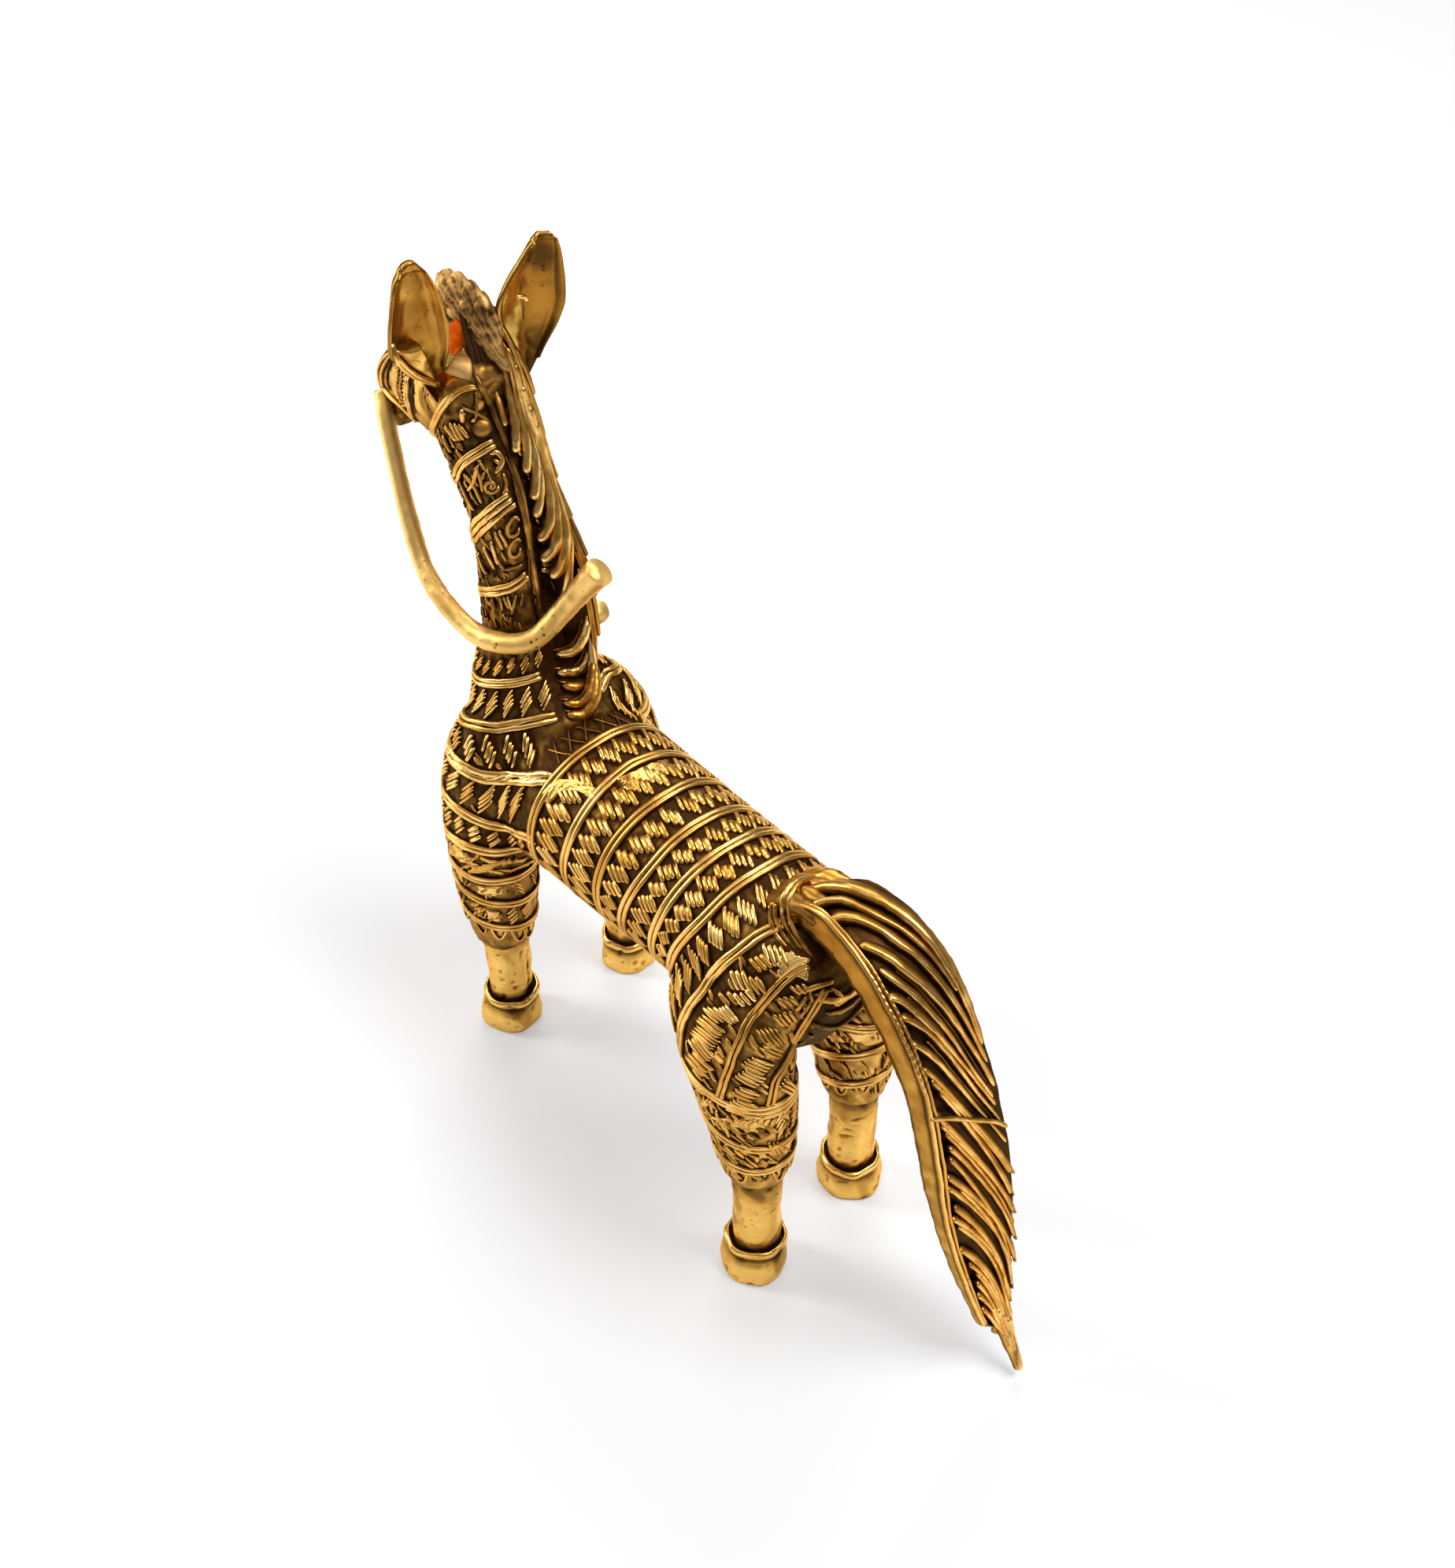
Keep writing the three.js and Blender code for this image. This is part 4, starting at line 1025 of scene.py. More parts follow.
for k, (a, b) in enumerate(zip(order, order[1:])):
    S = Strip(LINE[a], LINE[b], n=240, closed=True)
    chips(loz, S, pitch=4.35, n=4, margin=1.0, seed=400 + k, w=None, h=0.9, start=0.5 + 0.21 * k, lean=trunk_lean(S), rub=0.93, merged=0.45)
S67 = Strip(np.vstack([LINE["b6"][-75:], LINE["b6"][:76]])[::-1], LINE["b7"], n=220)
chips(loz, S67, pitch=4.4, n=4, margin=1.3, seed=410, w=None, h=0.85, lean=lambda u: (-0.34, 0.58))
build("lozenges", loz, WIRE)

# ---------------------------------------------------------------- threads and lozenges laid one by one
def thread_on(g, pts, w=0.35, h=0.7, rub=0.9, tone=0.35, seed=0, taper=True, step=0.7, section=FLAT, section_wear=FLAT_WEAR):
    P = row(pts)
    n = max(6, int(length(P) / step) + 2)
    C, N = lay(evenly(P, n))
    x = np.linspace(0, 1, n)
    shape = 0.55 + 0.45 * np.sin(np.pi * x) ** 0.5 if taper else np.ones(n)
    threads(g, C, N, w * shape * (1 + 0.08 * wave(x * 9, seed)), h * (0.85 + 0.15 * shape), tone=tone, rub=rub * (0.88 + 0.12 * wave(x * 7, seed + 1)), section=section, section_wear=section_wear)


def chip_at(g, n, rub, F, A, B, seed=0, h=0.85, tone=0.35, pts=7):
    """A lozenge laid at given points: n threads from F to A, the last one starting at B."""
    r = np.random.default_rng(seed)
    F, A, B = row(F), row(A), row(B)
    a, b = A - F, B - F
    gap = np.linalg.norm(np.cross(unit(a), b)) / (n - 1)
    w = float(np.clip(0.47 * gap, 0.24, 0.62))
    x = np.linspace(0, 1, pts)
    x[1], x[-2] = 0.1, 0.9
    P = F + b * (np.arange(n) / (n - 1))[:, None, None] + a * x[None, :, None] + unit(a) * r.normal(0, 0.14, (n, 1, 1))
    C, N = lay(P)
    shape = 0.72 + 0.28 * np.sin(np.pi * x) ** 0.5 if seed % 3 else 0.22 + 0.98 * np.sin(np.pi * x ** 0.8) ** 0.8
    threads(g, C, N, w * shape * r.uniform(0.88, 1.12, (n, 1)), h * r.uniform(0.85, 1.1, (n, 1)) * np.ones(pts), tone=tone + r.normal(0, 0.12), rub=rub * r.uniform(0.82, 1.0, (n, 1)))


def other_side(P):
    P = np.array(P, float)
    P[..., 1] *= -1
    return P


NECK_LINES = [  # half width, height, rub, points
    (0.5, 0.8, 0.9, [(71, 8.6, 168.6), (67.4, 9.1, 173.9), (65.2, 8.3, 177.5), (63.5, 6.1, 180.2), (61.7, 4.1, 181.2), (61.5, 3.4, 180.6)]),
    (0.5, 0.8, 0.95, [(75.6, 7, 164), (71.5, 8.7, 169.3), (68, 9.3, 174.4), (65.8, 8.4, 178), (64.1, 6.2, 180.4), (62.4, 4.2, 181.5), (61.5, 3.6, 181.2)]),
    (0.28, 0.6, 0.45, [(61.5, 4.1, 180.4), (61.5, 4.3, 176.7), (61.5, 4.9, 173)]),
    (0.28, 0.6, 0.5, [(62.8, 6.7, 177.5), (61.5, 4.3, 175.1), (59.4, 2, 172.6)]),
    (0.42, 0.8, 1, [(62.7, 6.8, 176.9), (62.9, 6.7, 173)]),
    (0.36, 0.7, 0.9, [(66.9, 8.5, 171.4), (63.4, 8.4, 168.5)]),
    (0.36, 0.7, 0.8, [(65.4, 8.5, 172.6), (62.8, 7.7, 168.6)]),
    (0.34, 0.7, 0.95, [(64.5, 7.9, 172.7), (62.3, 7, 168.8)]),
    (0.34, 0.7, 0.6, [(70, 8.5, 166.4), (66, 8.3, 163.8)]),
    (0.34, 0.7, 0.75, [(67.5, 8.9, 168.7), (64.8, 8.3, 165.1)]),
    (0.34, 0.7, 0.85, [(63.8, 7.3, 172.6), (61.7, 6.1, 169.4)]),
    (0.3, 0.7, 0.5, [(67.3, 8.4, 165.7), (64.6, 8.2, 163.4)]),
    (0.3, 0.7, 0.5, [(63.1, 8.1, 168.5), (61.9, 7.7, 166.7)]),
    (0.3, 0.7, 0.8, [(61.8, 8.1, 161.5), (58.6, 8.3, 159), (57.2, 7.1, 155.1)]),
    (0.3, 0.7, 0.9, [(59.3, 5.9, 164.2), (59.1, 7.7, 160.2), (60.8, 7.9, 157)]),
    (0.28, 0.6, 0.7, [(59.7, 6.6, 163.7), (58.4, 6.3, 161.2), (57.3, 6.7, 157.8)]),
    (0.3, 0.7, 0.8, [(63.2, 8.1, 158.9), (61.2, 7.8, 155.5), (59.1, 7.7, 152.5)]),
    (0.3, 0.6, 0.6, [(62.6, 7.9, 156.5), (60.7, 7.7, 154), (60.3, 7.5, 149.4)]),
    (0.26, 0.6, 0.6, [(59.7, 7.7, 161.6), (57.8, 7.5, 159.1)]),
    (0.42, 0.7, 1, [(58.4, 3.9, 166.1), (57.6, 2.7, 166.6), (56.3, 2.2, 164.7), (56.7, 4, 162)]),
    (0.3, 0.7, 0.95, [(57.7, 3.5, 165.2), (56.6, 2.8, 164), (56.9, 3.7, 163)]),
    (0.3, 0.6, 0.7, [(55.3, 4.1, 159.7), (55.4, 4.4, 158.8), (55.9, 4.9, 158.1), (56.4, 5.4, 158), (56.7, 6, 158.3), (56.9, 6.3, 159), (57.1, 6.2, 159.6), (57.2, 5.8, 160.1), (57, 5.3, 160.4), (56.7, 4.9, 160.4), (56.3, 4.6, 160.3), (56, 4.6, 160), (55.8, 4.7, 159.6), (55.8, 5, 159.3), (56.1, 5.2, 159), (56.2, 5.5, 159.1), (56.4, 5.6, 159.3), (56.5, 5.6, 159.5), (56.6, 5.5, 159.6), (56.6, 5.4, 159.8)]),
    (0.3, 0.6, 0.6, [(55.7, 2.7, 162.2), (54.4, 2.8, 160), (54.8, 3.7, 157.3)]),
    (0.28, 0.6, 0.6, [(58.2, 5.4, 162.6), (58, 6.1, 160.7)]),
    (0.3, 0.6, 0.5, [(54.9, 3.9, 156.8), (54.1, 2.6, 159)]),
    (0.34, 0.7, 0.85, [(59.7, 7.3, 140.6), (58.2, 7.3, 137.8), (56.8, 7.3, 136.1)]),
    (0.34, 0.7, 0.95, [(57.3, 7.4, 143.9), (55.7, 7.3, 141.1), (54.4, 7.3, 138.5)]),
    (0.32, 0.7, 0.9, [(55, 7.4, 146.2), (54.5, 6.8, 142.8), (53.9, 6.4, 140)]),
    (0.3, 0.7, 0.75, [(54.9, 6.1, 148.9), (54, 5.8, 146.6), (53.3, 5.3, 144.1)]),
    (0.3, 0.7, 0.85, [(54.4, 5.4, 149.4), (53.5, 4.9, 147.1), (52.6, 4.7, 144.8)]),
    (0.3, 0.7, 0.6, [(54.5, 6.8, 142.8), (53.7, 6.1, 140.6), (53, 5.5, 138.9)]),
    (0.34, 0.7, 0.6, [(60.3, 7.3, 139.6), (59.4, 7.3, 136.4), (58.6, 7.4, 133.5)]),
    (0.3, 0.6, 0.5, [(55.9, 7.4, 148.9), (54.9, 7.1, 146.4)]),
    (0.34, 0.7, 0.75, [(51.8, 2.1, 149.6), (51.9, 2.5, 148.5), (52.3, 3.1, 147.7), (52.7, 3.7, 147.6), (53, 4, 148), (53.3, 4.1, 149), (53.4, 3.9, 150.2), (53.3, 3.4, 151.2), (53, 2.8, 152), (52.6, 2.3, 152.1), (52.2, 1.9, 151.7), (51.9, 1.9, 150.7)]),
    (0.32, 0.7, 0.65, [(50.9, 2.7, 144.6), (51.4, 2.9, 143.2), (51.8, 3.4, 142.5), (52.2, 3.9, 142.3), (52.5, 4.2, 142.8), (52.6, 4.4, 143.8), (52.2, 4.4, 145.3), (52.2, 3.8, 146.2), (52.1, 3.2, 146.8), (51.7, 2.7, 146.9), (51.3, 2.4, 146.5), (50.9, 2.5, 145.8)]),
    (0.26, 0.6, 0.5, [(53.8, 6.5, 138.8), (52.5, 4.8, 139.4), (50.7, 2.4, 140.3)]),
    (0.26, 0.6, 0.6, [(52.9, 6.6, 132), (51.8, 5.8, 128.5)]),
    (0.26, 0.6, 0.7, [(52.4, 5.9, 132.3), (51.3, 5.4, 127.8)]),
    (0.26, 0.6, 0.5, [(53.3, 7.2, 131.4), (52.7, 7.2, 127.8)]),
    (0.26, 0.6, 0.5, [(51.3, 4.5, 132.3), (51.3, 5.9, 127.1)]),
    (0.26, 0.6, 0.4, [(55.5, 7.6, 130.2), (54.4, 8, 127.3)]),
    (0.26, 0.6, 0.35, [(50.5, 3.5, 132.5), (50.4, 4.1, 129.1)]),
]
RUMP_CHIPS = [  # threads, rub, corner, far end of the first thread, corner of the last thread
    (4, 0.95, (-44.1, 11.3, 103.1), (-48.2, 12.4, 100.3), (-47.1, 9.1, 103.4)),
    (3, 1, (-40.9, 16.7, 95.8), (-44.8, 17.4, 93.1), (-43.7, 15.8, 97.2)),
    (3, 0.7, (-44.4, 16.1, 96.7), (-48.4, 16.6, 94.4), (-46.7, 15, 98)),
    (2, 0.5, (-40.3, 19.6, 90.3), (-44.3, 20, 89.8), (-42.1, 18.9, 91.5)),
    (3, 1, (-43.5, 18.1, 92.1), (-47.1, 18.1, 90.9), (-46.2, 17.9, 94.8)),
    (3, 0.9, (-38.2, 22.4, 86), (-44, 22.6, 85.8), (-40.6, 21.5, 87.6)),
    (3, 1, (-42.2, 21, 88.4), (-47, 21.3, 87.2), (-43.2, 20.3, 89.5)),
    (3, 0.85, (-38, 23.8, 82.7), (-45.4, 23.5, 83.2), (-38.9, 23.1, 84.6)),
    (4, 0.9, (-37.3, 24.7, 79), (-45.1, 24.6, 80), (-38.2, 24.2, 81.6)),
    (4, 0.85, (-37.3, 25.2, 76.8), (-44.1, 25.7, 75.5), (-39.3, 24.9, 79.8)),
    (3, 0.8, (-36.7, 25.5, 71.3), (-44, 26.3, 71.7), (-39, 25.9, 74.8)),
    (2, 0.8, (-40, 26.2, 70.2), (-44.1, 26.6, 69.8), (-41.7, 26.4, 72.7)),
    (4, 0.85, (-52.2, 14.7, 91.4), (-53.7, 13.7, 88), (-54.5, 12.7, 92.6)),
    (5, 0.6, (-51.5, 19, 88.3), (-54.5, 17.6, 84), (-53.3, 16, 88.2)),
    (3, 0.7, (-53, 19.6, 85), (-56, 16.7, 81.3), (-53.3, 18.3, 85.8)),
    (4, 0.9, (-51.3, 22.8, 80.3), (-55.3, 19.7, 78.3), (-52.6, 21.2, 82.3)),
    (4, 0.9, (-50.9, 23.8, 76.8), (-55.2, 21.3, 74.8), (-52.4, 22.5, 79.1)),
    (3, 0.85, (-50.9, 24.9, 72.2), (-54.9, 22.5, 70.8), (-52, 23.8, 74.1)),
    (3, 0.9, (-50.9, 25.6, 68.8), (-54.7, 22.9, 67.4), (-52.1, 24.5, 70.5)),
    (3, 0.95, (-57.1, 17.4, 73.6), (-56.7, 13.4, 66.7), (-57, 16, 74.6)),
    (3, 0.7, (-52.1, 13.7, 95.6), (-54, 12.8, 93.4), (-53.6, 11.8, 96)),
    (3, 0.8, (-52.8, 11.3, 98.1), (-55, 10.2, 96.4), (-54, 9.3, 98.3)),
    (3, 0.6, (-43.5, 14.2, 100), (-47.5, 14, 99), (-44.8, 12.9, 101.7)),
    (2, 0.8, (-50.5, 25.7, 64.1), (-52.2, 25.1, 62.5), (-51.6, 25.3, 65.5)),
    (3, 0.8, (-53, 24.5, 62.4), (-54.1, 23.5, 65.1), (-54.4, 23.4, 62)),
    (3, 0.9, (-56.1, 21.9, 63.5), (-56.5, 20.9, 66.3), (-57.1, 19.8, 61.9)),
    (3, 0.8, (-52.1, 25, 53.3), (-54, 23.6, 50.8), (-53.8, 24.7, 56.1)),
    (3, 0.7, (-57.6, 20.1, 56.2), (-57.4, 18.2, 50.7), (-58, 18.1, 55.3)),
    (3, 0.6, (-57.1, 4.1, 96.1), (-58.2, 2.1, 93.7), (-57.8, 3.4, 94.5)),
]

marks = Gather()
for k, (w, h, rub, pts) in enumerate(NECK_LINES):
    w, h = (w, h) if k < 2 else (w * 1.45, h * 1.15)
    if k < 2:  # the ring at the jaw closes under the throat
        pts = [(78.4, 0, 158.6), (78.2, 3.4, 160)] + pts
        thread_on(marks, other_side(pts), w, h, rub, seed=1500 + 3 * k, taper=False)
    thread_on(marks, pts, w, h, rub, seed=1500 + 3 * k, tone=0.3 + 0.2 * (k % 3))
    if k > 1:
        thread_on(marks, other_side(pts), w, h, rub, seed=1501 + 3 * k)
for p, r, h, wr in (((61.6, 3.4, 176.6), 1.6, 0.6, 0.7), ((60.3, 3.9, 171.7), 2.2, 0.95, 0.66), ((62.5, 6.9, 175.6), 0.7, 0.8, 1.0), ((56.3, 5.3, 159.6), 0.45, 0.8, 1.0), ((60.8, 5.4, 173.6), 0.6, 0.7, 0.9)):
    for sg in (1, -1) if p[1] > 5 else (1,):
        c, n = lay(row((p[0], p[1] * sg, p[2]))[None])
        bead(marks, c[0], n[0], r, h, wear_and_shade=wr, m=20, k=8, tone=0.15)
for k, (n, rub, F, A, B) in enumerate(RUMP_CHIPS):
    chip_at(marks, n, rub, F, A, B, seed=1600 + k)
    chip_at(marks, n, rub, other_side(F), other_side(A), other_side(B), seed=1700 + k)

BRIDLE = [  # half width, height, rub, points
    (0.50, 0.9, 1.0, [(97, 3.3, 171.3), (99, 4, 168.8), (99.9, 4.9, 165.8), (99.9, 5.3, 163.5), (99.5, 5.1, 161.8), (95, 5.9, 160.9), (90.2, 6, 161), (83.7, 6.6, 161.5)]),
    (0.45, 0.8, 0.9, [(95.6, 3.4, 171.6), (96.7, 4.6, 169.8), (97.8, 5.2, 167), (98.1, 5.5, 164.7), (97.8, 5.2, 163), (93.3, 6, 162.4), (87.2, 6.8, 162.6), (81.8, 7.4, 163)]),
    (0.55, 0.35, 0.0, [(94.4, 3.6, 171.9), (94.8, 5.3, 168.9), (94.8, 6, 166.4), (93.8, 6.4, 164.4)]),
    (0.36, 0.8, 1.0, [(82.6, 6.4, 174.6), (82, 8, 173.5), (82.6, 8.2, 170.8), (81.9, 8.6, 168.9), (82.5, 7.8, 166), (84, 6.4, 163.6)]),
    (0.36, 0.8, 1.0, [(81.4, 6.6, 175), (80.9, 8.2, 173.9), (81.3, 8.5, 171.4), (80.7, 8.9, 169.4), (81, 8.2, 167), (82.2, 7, 164.4)]),
    (0.45, 0.25, 0.0, [(79.6, 6.8, 175.6), (79.3, 8.4, 174.2), (79.6, 8.7, 171.8), (79.2, 9, 169.4), (79.4, 8.4, 167.2)]),
]
for k, (w, h, rub, pts) in enumerate(BRIDLE):
    for sg in (1, -1):
        thread_on(marks, pts if sg > 0 else other_side(pts), w, h, rub, seed=1400 + k, taper=False)
for k, line in enumerate((
    [(90.0, 5.4, 172.6), (88.7, 6.9, 170.8), (88.9, 7.2, 168.8), (88.2, 7.3, 166.6), (87.4, 6.9, 164.4)],
    [(87.2, 5.8, 173.6), (86.0, 7.2, 172), (86.5, 7.5, 169.8), (86, 7.7, 167.8), (85.6, 7.4, 165.6)],
    [(84.8, 6.0, 174.2), (83.8, 7.6, 172.8), (84.2, 7.8, 170.6), (84, 8, 168.8), (84.2, 7.6, 166.6)],
)):
    for sg in (1, -1):
        C = evenly(row(line if sg > 0 else other_side(line)), 10)
        C, N = lay(C)
        for i, (c, n) in enumerate(zip(C, N)):
            bead(marks, c, n, 0.50 if k != 1 else 0.42, 0.75, wear_and_shade=0.95 if k != 1 else 0.7, m=10, k=4)
for k in range(16):  # scratches and seams on the cheek
    r_ = np.random.default_rng(1450 + k)
    p = np.array([r_.uniform(66, 78), r_.uniform(6.8, 9), r_.uniform(167, 180)])
    q = p + r_.normal(0, 1, 3) * [2.2, 0.6, 2.0]
    thread_on(marks, [p, (p + q) / 2 + r_.normal(0, 0.25, 3), q], 0.16, 0.16, 0.55 if k % 2 else 0.0, seed=k, step=0.5)

# shoulders: short slanting threads stacked in little columns
def by_angle(P, centre, n=120):
    """The closed line P again, from straight ahead round by the left, at even angles about the centre."""
    H_ = horse(P)
    w = np.mod(np.arctan2(H_[:, 1] - centre[1], H_[:, 0] - centre[0]), 2 * np.pi)
    i = np.argsort(w)
    w, P = w[i], np.asarray(P)[i]
    w3, P3 = np.r_[w - 2 * np.pi, w, w + 2 * np.pi], np.vstack([P, P, P])
    t = np.linspace(0, 2 * np.pi, n, endpoint=False)
    return np.stack([np.interp(t, w3, P3[:, k]) for k in range(3)], -1)


WITHERS = row([(28.5, 15.4, 96.4), (27.7, 13, 98.6), (27.4, 8, 100.7), (27.3, 3.1, 101.6), (26.6, -3.4, 102.4), (26.3, -7.3, 101.4), (27.1, -13, 98.2)])
slash = dict(pitch=4.8, lean=(-0.66, 0.06), rise=(0.46, 0.50), n=4, w=None, h=0.95, margin=1.0, jitter=0.10, merged=0.06, miss=0.0, fat=0.98)
A1, A2, A3 = by_angle(NK["k5"], (50, 0)), by_angle(N1, (48, 0)), by_angle(np.vstack([N2, WITHERS]), (45, 0))
chips(marks, Strip(A1, A2, n=160, closed=True), start=0.4, **{**slash, "pitch": 4.3, "seed": 1800, "keep": lambda q, u: q[0] > 47.5 or q[1] > 2.8 or q[1] < -8.5})
chips(marks, Strip(A2, A3, n=160, closed=True), start=0.4, **{**slash, "seed": 1801, "keep": lambda q, u: q[0] > 36.5 or abs(q[1]) > 10.5})
for k in range(5):  # faint slanting lines cross the smooth withers
    l0 = 11 - 4.4 * k
    thread_on(marks, [(34.6 - 0.2 * k, l0, 101.5), (31.0, l0 - 1.6, 101.5), (28.4, l0 - 3.2, 101.2)], 0.24, 0.42, 0.35 + 0.25 * (k % 3 == 0), seed=1850 + k)
    thread_on(marks, [(35.0, l0 - 3.0, 101.5), (31.6, l0 - 1.0, 101.5), (28.8, l0 + 0.6, 101.2)], 0.22, 0.38, 0.3, seed=1870 + k)
chips(marks, Strip(N2, N3, n=160), start=0.4, **{**slash, "seed": 1802, "keep": lambda q, u: q[0] > 34})
chips(marks, Strip(N3, N4, n=160), start=0.4, **{**slash, "pitch": 4.5, "seed": 1803, "n": 4, "rise": (0.42, 0.52), "keep": lambda q, u: q[0] > 33})
S = Strip(NK["k5"] + [0, 0, 8.0], NK["k5"], n=120, closed=True)
chips(marks, S, pitch=3.7, seed=1804, lean=(-0.58, 0.10), rise=(0.46, 0.5), n=3, w=None, h=0.85, margin=1.0, merged=0.1, rub=0.9, fat=0.85, keep=lambda q, u: q[0] > 48.5 or q[1] > 3.4 or q[1] < -8.5)
# a broken, run-together stretch on the second hoop
for k, (u0, u1) in enumerate(((0.60, 0.66), (0.68, 0.735), (0.75, 0.80), (0.83, 0.90), (0.92, 0.985))):
    S = Strip(N2 + [0, 0, 1.5], N2 - [0, 0, 1.3], n=160)
    plate(marks, S, u0 * S.L, u1 * S.L, 0.0 + 0.1 * (k % 2), 0.9, h=1.0, rub=1.0, seed=1890 + k, ragged=1.4, n=18)
build("marks", marks, WIRE)

raised = np.concatenate(bands.v + loz.v + marks.v)[::3]
tree = KDTree(len(raised))
for i, p in enumerate(raised):
    tree.insert(p, i)
tree.balance()
leg_marks = Gather()
fills = Gather()
fr = np.random.default_rng(31)
for zone in range(3):  # short stray threads fill the rump from the side and from behind, and the tops of the forelegs
    m_ = (640, 420, 320)[zone]
    side = np.where(np.arange(m_) % 2, 1.0, -1.0)
    if zone == 1:
        O = np.stack([np.full(m_, -90.0), side * fr.uniform(7, 26, m_), fr.uniform(42, 96, m_)], -1)
        D = np.stack([np.ones(m_), 0 * side, 0 * side], -1)
    else:
        O = np.stack([fr.uniform(*((-57, -37), 0, (36, 60))[zone], m_), side * 45, fr.uniform(*((42, 100), 0, (44, 72))[zone], m_)], -1)
        D = np.stack([0 * side, -side, 0 * side], -1)
    hit = SKIN.cast(row(O), row(D) - row([0, 0, 0]))
    for k in np.flatnonzero(~np.isnan(hit[:, 0])):
        q_ = horse(hit[k])
        if tree.find(hit[k])[2] < 1.0 or q_[1] * side[k] < 6:
            continue
        d_ = (np.array([-3.2, -0.6, -2.4]) if zone < 2 else np.array([-2.2, 0, 2.4])) + fr.normal(0, 0.7, 3)
        if side[k] < 0:
            d_[1] *= -1
        thread_on(fills, [q_ - d_ / 2 * 0.8, q_, q_ + d_ / 2 * 0.8], fr.uniform(0.30, 0.52), fr.uniform(0.5, 0.75), fr.uniform(0.35, 0.9), tone=fr.uniform(0.2, 0.7), seed=3000 + 1000 * zone + int(k), step=0.9)
for k in range(520):  # and the neck between its rings
    z_, a_ = fr.uniform(122, 178), fr.uniform(0.7, 2.62) * (1 if k % 2 else -1)
    d_ = np.array([-1.7, 0, -2.6]) + fr.normal(0, 0.9, 3)
    mid_z = neck_middle(z_)
    c_, _ = lay(row((mid_z + 8 * math.cos(a_), 8 * math.sin(a_), z_))[None])
    q_ = horse(c_[0])
    if tree.find(c_[0])[2] < 0.8 or (q_[0] < mid_z and abs(q_[1]) < 2.6) or q_[0] > 69 - 0.66 * (q_[2] - 168.6):
        continue
    thread_on(fills, [q_ - d_ / 2 * 0.8, q_, q_ + d_ / 2 * 0.8], fr.uniform(0.22, 0.40), fr.uniform(0.45, 0.7), fr.uniform(0.3, 0.75), tone=fr.uniform(0.2, 0.7), seed=5000 + k, step=0.9)
build("fill_marks", fills, WIRE)
# the legs: fewer lozenges, and metal that ran together between the cuffs
for name, rings in CUFFS.items():
    s, l = FEET[name]
    fore = name[0] == "f"
    sd = 1900 + 10 * ord(name[0]) + ord(name[1])
    rr = np.random.default_rng(sd)
    sg = 1 if l > 0 else -1
    if fore:
        upper = cuff("f", lambda a: 69.5, (s + 1.0, l - 0.2 * sg))
        low = cuff("f", lambda a, sg=sg: 36.6 + 2.2 * math.cos(a - sg * math.radians(60)), (s, l + 0.3 * sg))
        stack = [upper] + rings
        first = 0
    else:
        low = cuff("r", lambda a: 40.3, (s + 0.4, l))
        stack = list(rings)
    for i, (P, Q) in enumerate(zip(stack, stack[1:])):
        S = Strip(P, Q, n=120, closed=True)
        wide = float(S.wide.mean())
        chips(leg_marks, S, pitch=4.4, n=3 if wide < 8 else 4, margin=0.95, w=None, h=0.75, lean=(-0.40, 0.22) if i % 2 == 0 else (0.34, 0.34), rise=(0.32, 0.60),
              seed=sd + i, miss=0.34, merged=0.25, rub=0.92, jitter=0.22)
        for _ in range(4 if wide > 7 else 3):
            u0 = rr.uniform(0, S.L)
            ww = rr.uniform(3.0, 6.5)
            v0 = rr.uniform(0.14, 0.34)
            plate(leg_marks, S, u0, u0 + ww, v0, min(v0 + rr.uniform(0.34, 0.5), 0.86), h=rr.uniform(0.35, 0.7), seed=int(rr.integers(9999)), ragged=1.0, rub=0.85, n=14)
    S = Strip(rings[-1], low, n=120, closed=True)
    count = max(8, int(S.L / 4.6))
    for k in range(count):  # scallops hang below the last cuff
        c, half, dep = (k + 0.5 + rr.normal(0, 0.13)) / count * S.L, 0.5 * S.L / count * rr.uniform(0.7, 1.05), rr.uniform(0.5, 1.2)
        x = np.linspace(-1, 1, 13)
        C, N = lay(S.at(c + half * 0.9 * x, 0.12 + dep * (1 - np.abs(x + rr.normal(0, 0.16) * (1 - x * x)) ** rr.uniform(1.7, 3.0)) * 0.86))
        threads(leg_marks, C, N, 0.36, 0.6, rub=rr.uniform(0.35, 0.85), tone=0.55)
        if rr.random() < 0.75:
            x = np.linspace(0, 1, 6)
            C, N = lay(S.at(c + half * rr.normal(0, 0.14) + 0 * x, 0.18 + dep * 0.55 * x))
            threads(leg_marks, C, N, 0.42 * half * (1 - 0.75 * x), 0.55, rub=rr.uniform(0.6, 0.95), tone=0.3)

# run-together metal on the withers, the back and the rump
S = Strip(row([(28.4, 17.8, 94.6), (26.4, 13.4, 98), (23.2, 11.4, 99.6), (18.6, 10, 100.9), (14.4, 9.8, 101)]), row([(25.2, 18.4, 94.4), (22.8, 14.2, 97.6), (20.8, 13, 98.6), (17.4, 12.2, 99.4), (13.9, 12.4, 99.4)]), n=60)
plate(leg_marks, S, 0.2, S.L, 0.0, 1.0, h=0.95, rub=0.72, seed=77, ragged=1.4, n=26)
S = Strip(row([(15.0, 6, 102.6), (14.4, 2, 103.6), (13.9, -3, 103.6), (13.6, -8, 102)]), row([(4.0, 6, 103), (3.4, 2, 104), (2.8, -3, 104), (2.6, -8, 102.4)]), n=60)
plate(leg_marks, S, 0.5, S.L, 0.10, 0.52, h=0.75, rub=0.72, seed=78, ragged=1.3, n=30)
S = Strip(row([(-47.6, 10.2, 102.4), (-49.6, 7.6, 102.6), (-52.4, 5.6, 101.9)]), row([(-50.8, 13.3, 98.7), (-52.6, 10.6, 98.9), (-54.6, 8.4, 98.4)]), n=40)
plate(leg_marks, S, 0.0, S.L, 0.02, 0.9, h=0.85, rub=1.0, seed=79, ragged=1.5, n=24)
